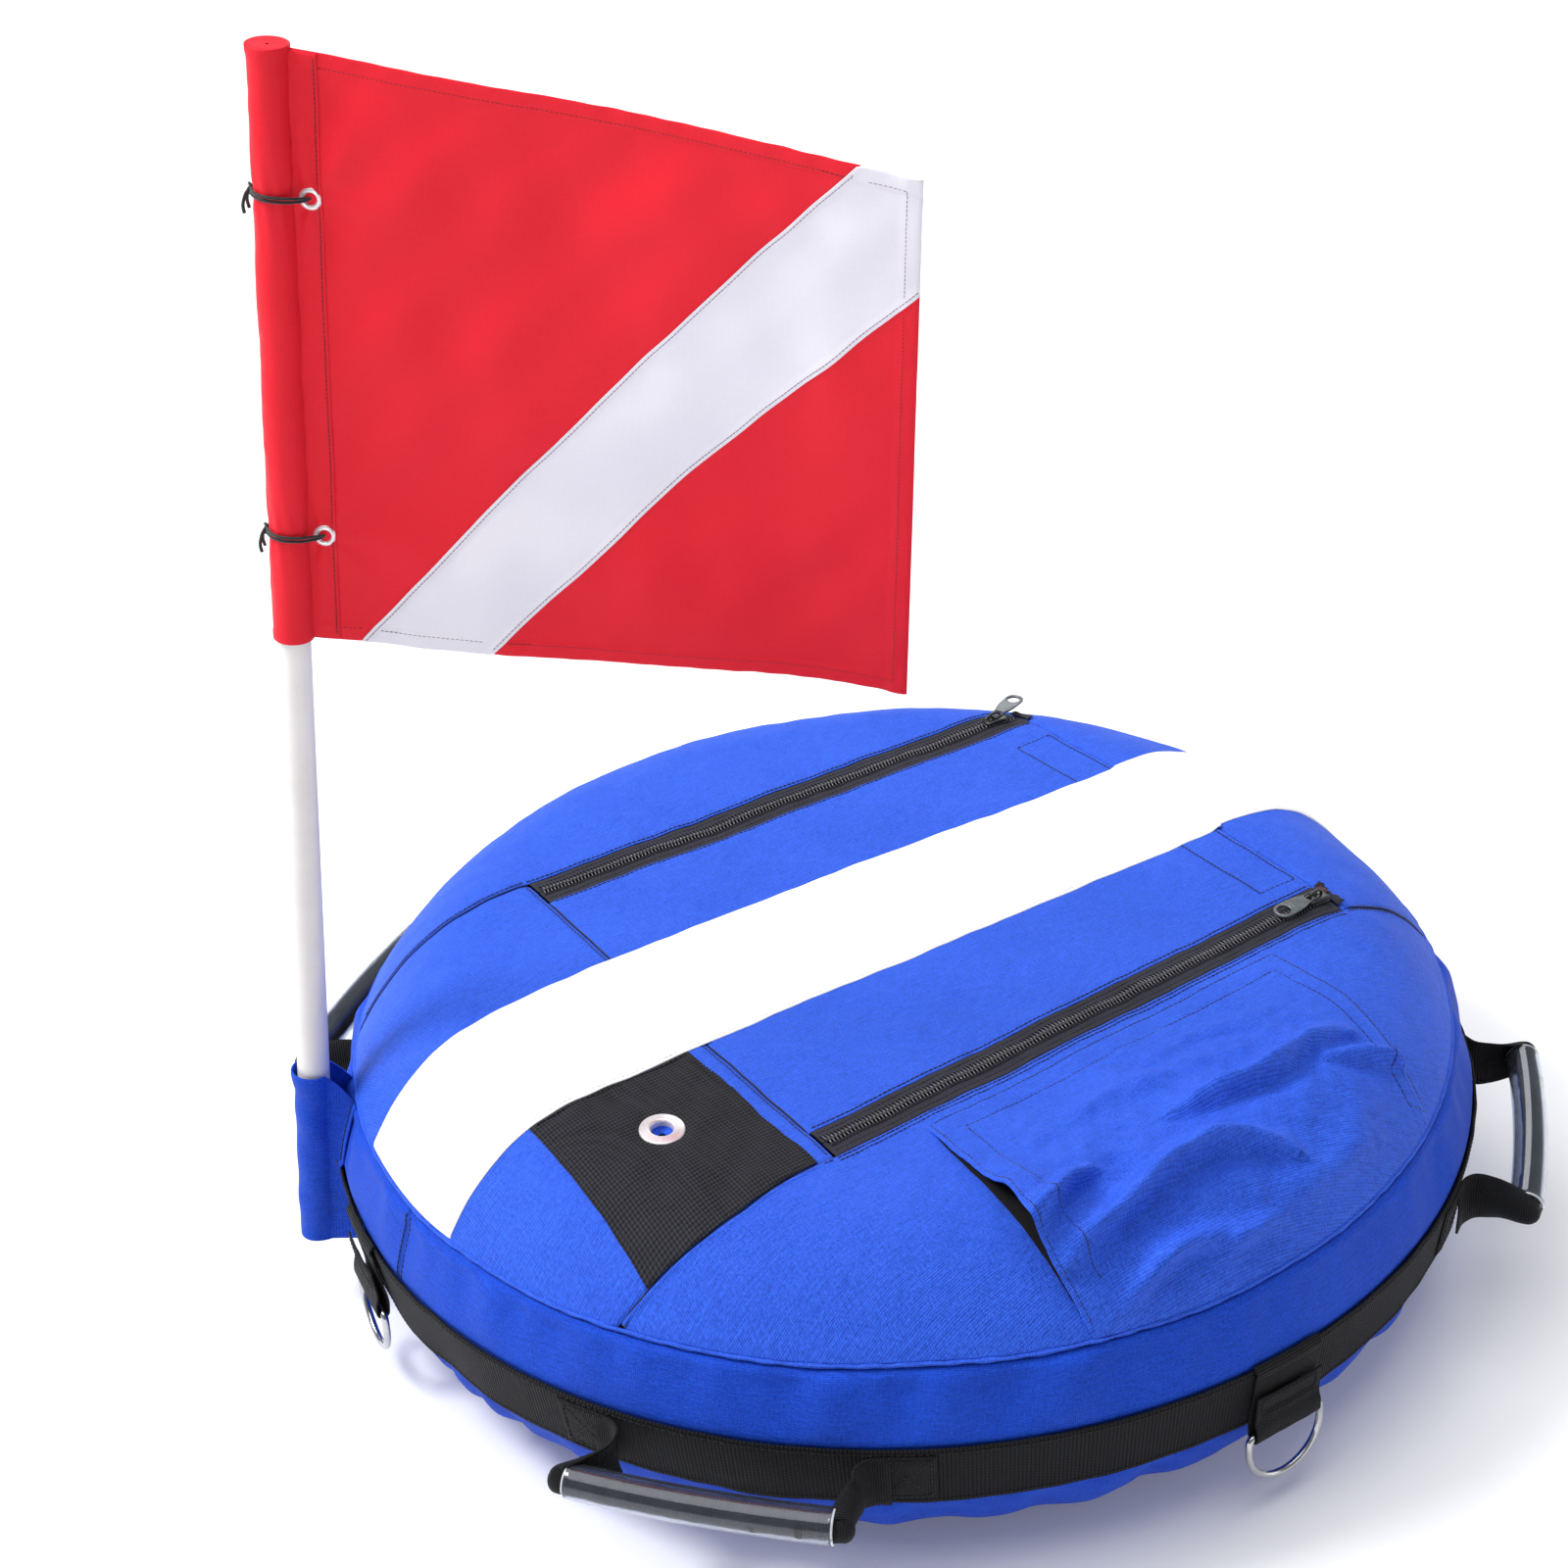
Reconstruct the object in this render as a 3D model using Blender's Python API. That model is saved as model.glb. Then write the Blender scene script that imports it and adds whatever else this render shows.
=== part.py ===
# Freediving surface buoy: an inflatable ring inside a sewn fabric cover, with a
# zipped storage lid, a side pocket, carrying handles, rigging rings and a flag.
#
# Frame: metres, +Z up. Z = 0 is the underside, the Z axis is the axis of the
# ring. +X runs along the white stripe, from the lid's fold to its fastening.
import bpy
import bmesh
import math
from mathutils import Vector, Matrix

for ob in list(bpy.data.objects):
    bpy.data.objects.remove(ob, do_unlink=True)

# ------------------------------------------------------------ dimensions
N = 48                      # segments round the cover
GAP = 0.0003                # clearance between touching pieces
CLOTH = 0.0020              # cover cloth with its lining
# outer profile of the cover, from the centre of the top round to the base
TOP = [(0.0, 0.2390), (0.150, 0.2390), (0.293, 0.2390), (0.312, 0.2347),
       (0.331, 0.2262), (0.348, 0.2138), (0.366, 0.1945), (0.382, 0.1710)]
WALL = [(0.382, 0.1710), (0.3905, 0.1470), (0.3970, 0.1200), (0.3885, 0.0700),
        (0.3770, 0.0450), (0.3620, 0.0290), (0.3400, 0.0130), (0.3200, 0.0040),
        (0.3020, 0.0)]
BAND_Z = (0.070, 0.120)     # 50 mm webbing round the widest part
BAND_T = 0.0021
BAND_R = (0.3907, 0.3995)   # outer radius at its lower and upper edge
BASE_R = 0.2995
TUBE_R0, TUBE_R1, TUBE_WALL = 0.284, 0.107, 0.0016
TUBE_Z = 0.1195

LID_U = (-0.175, 0.2550)    # fold and, on the stripe's line v = 0, free end of the lid
LID_SLANT = -0.058          # the free end is not quite square to the fold
V_LEFT = 0.209              # seam beside the left zip
V_R0, V_RS = -0.1795, 0.073  # seam beside the right zip: v = V_R0 + V_RS * u
TAPE = 0.0155               # half of the zip's width, tape edge to centre
STRIPE_V = (-0.038, 0.078)
PANEL_U, PANEL_V = (-0.311, -0.188), (-0.1890, -0.0430)
GROMMET = (-0.2495, -0.105)
POCKET_U = (-0.108, 0.189)
POCKET_SLANT = 0.016
POCKET_BULGE = 0.0125

HANDLES = {"front_left": (-139.0, -0.013), "front_right": (-41.8, 0.0),
           "back_right": (42.0, 0.0), "back_left": (125.5, 0.0)}
HANDLE_Z = 0.096
HANDLE_ANG = (12.6, 18.0)   # the sewn ends, degrees from the handle's middle
GRIP_L, GRIP_R, GRIP_RI = 0.172, 0.0118, 0.0098
GRIP_X = 0.4365
RINGS = {"front": -86.8, "left": 170.0, "right": 0.0, "back": 84.0}
RING_X, RING_Z = 0.3978, 0.0655
RING_W, RING_SIDE, RING_WIRE = 0.0282, 0.011, 0.0025

POLE_AZ, POLE_TILT = 156.5, 5.0
POLE_R, POLE_WALL = 0.011, 0.002
SLEEVE_RI, SLEEVE_RO = 0.0117, 0.0135
SLEEVE_Z = (0.055, 0.190)
POLE_X12 = 0.3995 + 0.0005 + SLEEVE_RO
FLAG_S = (0.470, 0.859)     # along the pole from its foot
FLAG_L = 0.394
FLAG_TOP = (-44.4, 10.5)    # azimuth and dip of the upper edge
FLAG_LOW = (-31.8, 9.4)
FLAG_T = 0.0010

MAT = {}


def material(name, rgb, rough, metal=0.0, alpha=1.0):
    m = bpy.data.materials.new(name)
    m.use_nodes = True
    b = m.node_tree.nodes["Principled BSDF"]
    b.inputs["Base Color"].default_value = (rgb[0], rgb[1], rgb[2], 1.0)
    b.inputs["Roughness"].default_value = rough
    b.inputs["Metallic"].default_value = metal
    b.inputs["Alpha"].default_value = alpha
    m.diffuse_color = (rgb[0], rgb[1], rgb[2], 1.0)
    MAT[name] = m
    return m


material("blue_cloth", (0.045, 0.125, 0.72), 0.75)
material("white_cloth", (0.86, 0.86, 0.88), 0.6)
material("black_webbing", (0.018, 0.018, 0.020), 0.8)
material("black_lining", (0.012, 0.012, 0.014), 0.9)
material("zip_coil", (0.015, 0.015, 0.016), 0.4)
material("zip_metal", (0.14, 0.14, 0.145), 0.35, 1.0)
material("steel", (0.62, 0.62, 0.63), 0.22, 1.0)
material("nickel", (0.75, 0.74, 0.74), 0.25, 1.0)
material("clear_hose", (0.72, 0.76, 0.80), 0.12, 0.0, 0.35)
material("black_rubber", (0.02, 0.02, 0.021), 0.65)
material("white_pipe", (0.84, 0.82, 0.80), 0.4)
material("red_cloth", (0.78, 0.025, 0.045), 0.7)
material("black_cord", (0.015, 0.015, 0.015), 0.8)
material("hook_tape", (0.02, 0.03, 0.09), 0.95)

# ------------------------------------------------------------ mesh helpers


def put(name, bm, mat, origin=(0, 0, 0), smooth=35.0):
    """Close a bmesh into an object whose origin is the given point."""
    bmesh.ops.recalc_face_normals(bm, faces=bm.faces)
    if bm.calc_volume(signed=True) < 0:
        bmesh.ops.reverse_faces(bm, faces=bm.faces)
    me = bpy.data.meshes.new(name)
    o = Vector(origin)
    for v in bm.verts:
        v.co -= o
    bm.to_mesh(me)
    bm.free()
    me.materials.append(MAT[mat])
    me.shade_smooth()
    me.set_sharp_from_angle(angle=math.radians(smooth))
    ob = bpy.data.objects.new(name, me)
    ob.location = o
    bpy.context.scene.collection.objects.link(ob)
    return ob


def loft(bm, rings, closed=False):
    """Skin a run of rings with equal point counts; cap it unless closed."""
    vs = [[bm.verts.new(p) for p in r] for r in rings]
    n = len(vs)
    m = len(vs[0])
    for i in range(n if closed else n - 1):
        a, b = vs[i], vs[(i + 1) % n]
        for j in range(m):
            k = (j + 1) % m
            bm.faces.new((a[j], a[k], b[k], b[j]))
    if not closed:
        bm.faces.new(vs[0])
        bm.faces.new(list(reversed(vs[-1])))


def grid_shell(bm, outer, inner):
    """Two grids of points of the same shape, joined round their border."""
    a = [[bm.verts.new(p) for p in row] for row in outer]
    b = [[bm.verts.new(p) for p in row] for row in inner]
    ni, nj = len(a), len(a[0])
    for i in range(ni - 1):
        for j in range(nj - 1):
            bm.faces.new((a[i][j], a[i + 1][j], a[i + 1][j + 1], a[i][j + 1]))
            bm.faces.new((b[i][j], b[i][j + 1], b[i + 1][j + 1], b[i + 1][j]))
    edge = [(i, 0) for i in range(ni)] + [(ni - 1, j) for j in range(1, nj)]
    edge += [(i, nj - 1) for i in range(ni - 2, -1, -1)]
    edge += [(0, j) for j in range(nj - 2, 0, -1)]
    for k in range(len(edge)):
        (i, j), (p, q) = edge[k], edge[(k + 1) % len(edge)]
        bm.faces.new((a[i][j], b[i][j], b[p][q], a[p][q]))


def box(bm, lo, hi, m=None):
    x0, y0, z0 = lo
    x1, y1, z1 = hi
    r = [[Vector((x0, y0, z)), Vector((x1, y0, z)), Vector((x1, y1, z)),
          Vector((x0, y1, z))] for z in (z0, z1)]
    if m is not None:
        r = [[m @ p for p in q] for q in r]
    loft(bm, r)


def prism(bm, poly, z0, z1, m=None):
    r = [[Vector((x, y, z)) for x, y in poly] for z in (z0, z1)]
    if m is not None:
        r = [[m @ p for p in q] for q in r]
    loft(bm, r)


def turned(bm, profile, n, m=None):
    """Closed section (radius, height) turned round local Z."""
    rings = []
    for k in range(n):
        a = 2 * math.pi * k / n
        ring = [Vector((r * math.cos(a), r * math.sin(a), z)) for r, z in profile]
        rings.append([m @ p for p in ring] if m is not None else ring)
    loft(bm, rings, closed=True)


def disc_stack(bm, profile, n, m=None):
    """Open section (radius, height) turned into a solid with flat ends."""
    rings = []
    for r, z in profile:
        ring = [Vector((r * math.cos(2 * math.pi * k / n),
                        r * math.sin(2 * math.pi * k / n), z)) for k in range(n)]
        rings.append([m @ p for p in ring] if m is not None else ring)
    loft(bm, rings)


def ngon_r(r, a):
    """Radius at angle a of the N-sided figure whose corners lie at r."""
    step = 2 * math.pi / N
    f = (a % step) - step / 2
    return r * math.cos(step / 2) / math.cos(f)


def mitre(poly, i):
    """Outward normal of a profile at one of its points."""
    def nrm(p, q):
        dx, dz = q[0] - p[0], q[1] - p[1]
        d = math.hypot(dx, dz)
        return (-dz / d, dx / d)
    a = nrm(poly[i - 1], poly[i]) if i > 0 else nrm(poly[0], poly[1])
    b = nrm(poly[i], poly[i + 1]) if i < len(poly) - 1 else a
    x, z = a[0] + b[0], a[1] + b[1]
    d = math.hypot(x, z)
    return (x / d, z / d)


WHOLE = TOP + WALL[1:]
NORMAL = [mitre(WHOLE, i) for i in range(len(WHOLE))]
NORMAL[0] = NORMAL[1] = (0.0, 1.0)


def dome(x, y, off=0.0):
    """Point of the cover's top over (x, y), moved out by off along the normal."""
    r = math.hypot(x, y)
    a = math.atan2(y, x)
    i = 0
    while i < len(TOP) - 2 and r > TOP[i + 1][0]:
        i += 1
    f = (r - TOP[i][0]) / (TOP[i + 1][0] - TOP[i][0])
    z = TOP[i][1] + f * (TOP[i + 1][1] - TOP[i][1])
    nr = NORMAL[i][0] + f * (NORMAL[i + 1][0] - NORMAL[i][0])
    nz = NORMAL[i][1] + f * (NORMAL[i + 1][1] - NORMAL[i][1])
    d = math.hypot(nr, nz)
    nr, nz = nr / d, nz / d
    return Vector((x + off * nr * math.cos(a), y + off * nr * math.sin(a), z + off * nz))


def v_right(u):
    return V_R0 + V_RS * u


def far(v):
    """u of the lid's free end at a given v."""
    return LID_U[1] + LID_SLANT * v


# the cut edge of the top at the rim seam, just inside the wall's flat facets
RIM = 0.382 * math.cos(math.pi / N) - GAP


def rim_v(u, sign, r=RIM):
    """v of the rim over a given u."""
    return sign * math.sqrt(max(r * r - u * u, 1e-9))


def rim_u(vf, sign, r=RIM):
    """u where the line v = vf(u) meets the rim."""
    u = sign * 0.3
    for _ in range(40):
        u = sign * math.sqrt(max(r * r - vf(u) ** 2, 1e-9))
    return u


def lerp(a, b, t):
    return a + (b - a) * t


LEVELS = [r for r, z in TOP if 0.2 < r < 0.375]


def row_places(p, q, extra):
    """Shares of the run p to q at which the surface bends, plus extra rows."""
    def rad(w):
        return math.hypot(lerp(p[0], q[0], w), lerp(p[1], q[1], w))
    free, kept = extra, []
    for lv in LEVELS:
        if rad(0) > lv - 0.002:
            free += 1
        elif rad(1) < lv + 0.002:
            kept.append(None)
        else:
            lo, hi = 0.0, 1.0
            for _ in range(40):
                m = 0.5 * (lo + hi)
                if rad(m) < lv:
                    lo = m
                else:
                    hi = m
            kept.append(0.5 * (lo + hi))
    known = [w for w in kept if w is not None]
    first = known[0] if known else 1.0 / (1 + len(kept) + 1)
    rows = [0.0] + [first * (i + 1) / (free + 1) for i in range(free)] + known
    if not known:
        rows = [i / (free + len(kept) + 1) for i in range(free + 1)]
    spare = len(kept) - len(known)
    last = rows[-1]
    rows += [lerp(last, 1.0, (i + 1) / (spare + 1)) for i in range(spare)]
    return rows + [1.0]


def dome_patch(name, mat, col, ni, off, thick, extra=0):
    """Cloth laid on the top: col(s) gives the two ends of a run of points."""
    outer, inner = [], []
    for i in range(ni + 1):
        p, q = col(i / ni)
        ro, ri = [], []
        for t in row_places(p, q, extra):
            x, y = lerp(p[0], q[0], t), lerp(p[1], q[1], t)
            o = off(i / ni, t) if callable(off) else off
            ro.append(dome(x, y, o + thick))
            ri.append(dome(x, y, o))
        outer.append(ro)
        inner.append(ri)
    bm = bmesh.new()
    grid_shell(bm, outer, inner)
    return put(name, bm, mat)


def cutter(name, radius, z0, z1, x, y):
    bm = bmesh.new()
    disc_stack(bm, [(radius, z0), (radius, z1)], 20)
    for v in bm.verts:
        v.co += Vector((x, y, 0))
    ob = put(name, bm, "black_lining")
    ob.hide_render = True
    ob.display_type = 'WIRE'
    return ob


def subtract(ob, cut):
    m = ob.modifiers.new("hole", 'BOOLEAN')
    m.operation = 'DIFFERENCE'
    m.object = cut
    m.solver = 'EXACT'


# ------------------------------------------------------------ sewn cover
# side segments: chord at the zip seam, arc at the rim
LAY = 0.0006                # clearance under cloth that is laid on the cover


def side_patch(name, sign):
    def base(u):
        return (V_LEFT + GAP) if sign > 0 else (v_right(u) - GAP)
    e0 = rim_u(lambda u: base(u) + sign * 0.004, -1)
    e1 = rim_u(lambda u: base(u) + sign * 0.004, 1)

    def col(s):
        k = lerp(s, 0.5 - 0.5 * math.cos(math.pi * s), 0.6)
        u = lerp(e0, e1, k)
        return (u, base(u)), (u, rim_v(u, sign))
    return dome_patch(name, "blue_cloth", col, 18, -CLOTH, CLOTH)


side_patch("top_panel_left", 1)
side_patch("top_panel_right", -1)


def end_patch(name, sign, edge):
    def col(s):
        def vf(u):
            return lerp(v_right(u) + GAP, V_LEFT - GAP, s)
        ur = rim_u(vf, sign)
        ue = edge(vf(0.25 * sign))
        return (ue, vf(ue)), (ur, vf(ur))
    return dome_patch(name, "blue_cloth", col, 14, -CLOTH, CLOTH)


near = end_patch("top_panel_near", -1, lambda v: LID_U[0] - GAP)
end_patch("top_panel_far", 1, lambda v: far(v) + 2 * GAP)


# white stripe in three lengths, laid on the blue cloth
def stripe(name, sign, edge):
    def col(s):
        v = lerp(STRIPE_V[0], STRIPE_V[1], s)
        return (edge(v), v), (rim_u(lambda u: v, sign, RIM - 0.0005), v)
    return dome_patch(name, "white_cloth", col, 6, LAY, 0.0008)


stripe("stripe_near", -1, lambda v: LID_U[0] - 0.002)
stripe("stripe_far", 1, lambda v: far(v) + 0.002)


# ribbed panel with its rope grommet
def panel_col(s):
    v = lerp(PANEL_V[0], PANEL_V[1], s)
    return (PANEL_U[1], v), (PANEL_U[0], v)


panel = dome_patch("grommet_panel", "black_webbing", panel_col, 8, LAY, 0.0014)
cut1 = cutter("cut_grommet", 0.0086, 0.22, 0.26, GROMMET[0], GROMMET[1])
subtract(near, cut1)
subtract(panel, cut1)
bm = bmesh.new()
m = Matrix.Translation((GROMMET[0], GROMMET[1], 0.2390))
turned(bm, [(0.0073, -0.0030), (0.0082, -0.0030), (0.0082, 0.0022), (0.0148, 0.0022),
            (0.0150, 0.0030), (0.0110, 0.0041), (0.0073, 0.0030)], 20, m)
put("rope_grommet", bm, "nickel")

# side wall, one strip of cloth from the top seam to the base seam
def wall_rings(profile, thick, g0, g1):
    normals = []
    for i in range(len(profile)):
        k = WHOLE.index(profile[i])
        normals.append(NORMAL[k])
    pts = [list(p) for p in profile]

    def shift(a, b, d):
        l = math.hypot(b[0] - a[0], b[1] - a[1])
        a[0] += (b[0] - a[0]) / l * d
        a[1] += (b[1] - a[1]) / l * d
    shift(pts[0], pts[1], g0)
    shift(pts[-1], pts[-2], g1)
    sec = [(p[0], p[1]) for p in pts]
    sec += [(p[0] - n[0] * thick, p[1] - n[1] * thick)
            for p, n in reversed(list(zip(pts, normals)))]
    return sec


NORMAL[-1] = (0.0, -1.0)
bm = bmesh.new()
turned(bm, wall_rings(WALL, CLOTH, 0.0005, 0.0), N)
put("side_wall", bm, "blue_cloth")

bm = bmesh.new()
disc_stack(bm, [(BASE_R, 0.0), (BASE_R, CLOTH)], N)
put("bottom_panel", bm, "blue_cloth")

def band_r(z):
    return lerp(BAND_R[0], BAND_R[1], (z - BAND_Z[0]) / (BAND_Z[1] - BAND_Z[0]))


# the band, with the handles' webbing ends sewn flat onto it
spans = []
for az, shift in HANDLES.values():
    for sgn in (1, -1):
        spans.append(sorted((az + sgn * HANDLE_ANG[0], az + sgn * HANDLE_ANG[1])))
marks = []
for k in range(N):
    a = 360.0 * k / N
    if not any(abs((a - e + 180) % 360 - 180) < 0.05 for sp in spans for e in sp):
        marks.append((a, any(0 < (a - sp[0]) % 360 < sp[1] - sp[0] for sp in spans)))
for sp in spans:
    marks += [(sp[0] % 360, False), ((sp[0] + 0.15) % 360, True),
              ((sp[1] - 0.15) % 360, True), (sp[1] % 360, False)]
marks.sort()
rings = []
for a, raised in marks:
    up = 0.0019 if raised else 0.0
    sec = [(band_r(BAND_Z[0]), BAND_Z[0]), (band_r(0.0765), 0.0765), (band_r(0.077) + up, 0.0770),
           (band_r(0.115) + up, 0.1150), (band_r(0.1155), 0.1155), (band_r(BAND_Z[1]), BAND_Z[1]),
           (BAND_R[1] - BAND_T, BAND_Z[1]), (BAND_R[0] - BAND_T + 0.0003, BAND_Z[0])]
    f = ngon_r(1.0, math.radians(a))
    rings.append([Vector((r * f * math.cos(math.radians(a)), r * f * math.sin(math.radians(a)), z))
                  for r, z in sec])
bm = bmesh.new()
loft(bm, rings, closed=True)
put("perimeter_band", bm, "black_webbing")

# side pocket: open at its near end, sewn down on the other three sides
def pocket_col(s):
    u0, u1 = lerp(POCKET_U[0], POCKET_U[1], s), lerp(POCKET_U[0], POCKET_U[1] + POCKET_SLANT, s)
    return (u0, v_right(u0) - 0.0145), (u1, rim_v(u1, -1, RIM - 0.0005))


def pocket_off(s, t):
    b = math.sin(math.pi * min(1.0, t * 1.02)) ** 0.6 if 0 < t < 0.98 else 0.0
    return LAY + POCKET_BULGE * b * (1 - s ** 2.5)


dome_patch("side_pocket", "blue_cloth", pocket_col, 14, pocket_off, 0.0014, 3)


# black lining seen inside the pocket, on the cover under it
def lining_col(s):
    u = lerp(POCKET_U[0] + 0.006, POCKET_U[1] - 0.050, s)
    return (u, v_right(u) - 0.034), (u, rim_v(u, -1, 0.3640))


dome_patch("pocket_lining", "black_lining", lining_col, 10, GAP, 0.0004)

# ------------------------------------------------------------ lid and zips
ZR = math.atan(V_RS)


def zip_v(side, u):
    """Centre line of a zip."""
    return V_LEFT - TAPE if side > 0 else v_right(u) + TAPE


LID_Z = (0.2370, 0.2390)
u0 = LID_U[0] + GAP
AX = (LID_U[0], 0.0, LID_Z[1])


def lid_patch(name, mat, va, vb, ni, us, z0, z1, inset):
    """Cloth on the lid between two lines of v, from near the fold to the free end."""
    outer, inner = [], []
    for i in range(ni + 1):
        ro, ri = [], []
        for t in us:
            x = u0 + inset
            for _ in range(3):
                v = lerp(va(x), vb(x), i / ni)
                x = lerp(u0 + inset, far(v) - GAP - inset, t)
            ro.append(dome(x, v, z1))
            ri.append(dome(x, v, z0))
        outer.append(ro)
        inner.append(ri)
    bm = bmesh.new()
    grid_shell(bm, outer, inner)
    return put(name, bm, mat, AX)


lid_patch("lid_flap", "blue_cloth", lambda u: v_right(u) + 2 * TAPE + GAP,
          lambda u: V_LEFT - 2 * TAPE - GAP, 10, (0.0, 0.35, 0.7, 0.86, 0.94, 1.0), -CLOTH, 0.0, 0.0)
lid_patch("stripe_lid", "white_cloth", lambda u: STRIPE_V[0], lambda u: STRIPE_V[1], 2,
          (0.0, 0.5, 1.0), GAP, GAP + 0.0008, 0.0010)

TZ = (0.2371, 0.2384)
for side, tag in ((1, "left"), (-1, "right")):
    def c(u):
        return zip_v(side, u)
    # each half: a flat tape with the row of teeth standing on its inner edge
    for part, sgn, wide, ins, org in (("lid", -side, TAPE, 0.0, AX),
                                      ("cover", side, TAPE - GAP, 0.001, (0, 0, 0))):
        sec = [(wide, -0.0019), (wide, -0.0006), (0.0038, -0.0006), (0.0038, 0.0012),
               (0.0030, 0.0018), (0.0003, 0.0018), (0.0003, -0.0019)]
        rings = []
        for t in (0.0, 0.4, 0.78, 0.85, 0.90, 0.95, 1.0):
            ring = []
            for y, z in sec:
                u = lerp(u0 + ins, far(c(0.25)) - GAP - ins, t)
                v = c(u) + sgn * y
                u = lerp(u0 + ins, far(v) - GAP - ins, t)
                ring.append(dome(u, c(u) + sgn * y, z))
            rings.append(ring)
        bm = bmesh.new()
        loft(bm, rings)
        put("zip_%s_%s_half" % (tag, part), bm, "zip_coil", org)

    # slider: a saddle over the coil with a bridge for its pull
    su = 0.2205 if side > 0 else 0.2520
    base = Matrix.Translation((su, c(su), TZ[1]))
    rot = Matrix.Rotation(0.0 if side > 0 else ZR, 4, 'Z')
    ms = base @ rot
    bm = bmesh.new()
    sec = [(-0.0058, 0.0004), (-0.0045, 0.0004), (-0.0045, 0.0029), (0.0045, 0.0029),
           (0.0045, 0.0004), (0.0058, 0.0004), (0.0058, 0.0036), (0.0046, 0.0042),
           (-0.0046, 0.0042), (-0.0058, 0.0036)]
    rings = []
    for x, k in ((-0.0085, 0.86), (-0.0065, 0.98), (0.0, 1.0), (0.0060, 1.0), (0.0085, 0.96)):
        rings.append([ms @ Vector((x, y * (k if abs(y) > 0.0050 else 1.0), z)) for y, z in sec])
    loft(bm, rings)
    # bridge: posts and bar as one arch
    arch = [(-0.0046, 0.0039), (-0.0046, 0.0066), (-0.0036, 0.0077), (0.0036, 0.0077),
            (0.0046, 0.0066), (0.0046, 0.0039), (0.0034, 0.0039), (0.0034, 0.0062),
            (0.0028, 0.0066), (-0.0028, 0.0066), (-0.0034, 0.0062), (-0.0034, 0.0039)]
    b2 = bmesh.new()
    loft(b2, [[ms @ Vector((x, y, z)) for x, z in arch] for y in (-0.0009, 0.0009)])
    o1 = put("zip_slider_" + tag, bm, "zip_metal", (su, c(su), TZ[1]))
    o2 = put("cut_bridge_" + tag, b2, "zip_metal", (su, c(su), TZ[1]))
    o2.hide_render = True
    o2.display_type = 'WIRE'
    mm = o1.modifiers.new("bridge", 'BOOLEAN')
    mm.operation = 'UNION'
    mm.object = o2
    mm.solver = 'EXACT'

    # pull: window round the bridge, tapered tongue, round hole near its tip
    yaw = math.radians(24.0) if side > 0 else ZR + math.pi
    pz = 0.00535
    mp = Matrix.Translation((su, c(su), TZ[1] + pz)) @ Matrix.Rotation(yaw, 4, 'Z')
    outline = [(-0.0008, -0.0046), (0.0105, -0.0046), (0.0150, -0.0036), (0.0270, -0.0042),
               (0.0330, -0.0050), (0.0362, -0.0036), (0.0372, 0.0), (0.0362, 0.0036),
               (0.0330, 0.0050), (0.0270, 0.0042), (0.0150, 0.0036), (0.0105, 0.0046),
               (-0.0008, 0.0046)]
    bm = bmesh.new()
    prism(bm, outline, -0.0008, 0.0008, mp)
    org = (su, c(su), TZ[1] + pz)
    pull = put("zip_pull_" + tag, bm, "zip_metal", org)
    w = bmesh.new()
    prism(w, [(0.0008, -0.0030), (0.0085, -0.0030), (0.0085, 0.0030), (0.0008, 0.0030)], -0.003, 0.003, mp)
    h = bmesh.new()
    disc_stack(h, [(0.0024, -0.003), (0.0024, 0.003)], 12, mp @ Matrix.Translation((0.0312, 0, 0)))
    for nm, bb in (("cut_window_" + tag, w), ("cut_eye_" + tag, h)):
        co = put(nm, bb, "zip_metal", org)
        co.hide_render = True
        co.display_type = 'WIRE'
        subtract(pull, co)

# hook-and-loop fastening under the lid's free end, slanted as that end is
def far_bar(name, mat, prof, v0, v1, org=(0, 0, 0)):
    bm = bmesh.new()
    loft(bm, [[Vector((x + far(v), v, z)) for x, z in prof] for v in (v0, v1)])
    return put(name, bm, mat, org)


far_bar("lid_landing", "blue_cloth", [(-0.052, 0.2312), (0.0080, 0.2312), (0.0080, 0.2352), (0.0030, 0.2352),
                                      (0.0030, 0.2326), (-0.052, 0.2326)], -0.112, 0.146)
far_bar("hook_strip", "hook_tape", [(-0.044, 0.2329), (-0.006, 0.2329), (-0.006, 0.2344), (-0.044, 0.2344)],
        -0.108, 0.142)
far_bar("loop_strip", "hook_tape", [(-0.044, 0.2349), (-0.006, 0.2349), (-0.006, LID_Z[0] - GAP),
                                    (-0.044, LID_Z[0] - GAP)], -0.108, 0.142, AX)

# ------------------------------------------------------------ inflatable ring
# hollow, with a round neck where the valve passes through its inner side
nu, nv = 36, 12
bm = bmesh.new()
skins = []
for r in (TUBE_R1, TUBE_R1 - TUBE_WALL):
    grid = []
    for i in range(nu):
        a = 2 * math.pi * i / nu
        row = []
        for j in range(nv):
            b = 2 * math.pi * (j + 0.5) / nv
            rr = TUBE_R0 + r * math.cos(b)
            row.append(bm.verts.new((rr * math.cos(a), rr * math.sin(a), TUBE_Z + r * math.sin(b))))
        grid.append(row)
    skins.append(grid)
hole = (0, nv // 2 - 1)      # the quad facing the axis is between these rows
hi, hj = 0, nv // 2 - 1
for si, grid in enumerate(skins):
    for i in range(nu):
        for j in range(nv):
            if i == hi and j == hj:
                continue
            q = (grid[i][j], grid[(i + 1) % nu][j], grid[(i + 1) % nu][(j + 1) % nv], grid[i][(j + 1) % nv])
            bm.faces.new(q if si == 0 else tuple(reversed(q)))
loops = []
for grid in skins:
    loops.append([grid[hi][hj], grid[hi + 1][hj], grid[hi + 1][hj + 1], grid[hi][hj + 1]])
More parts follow.
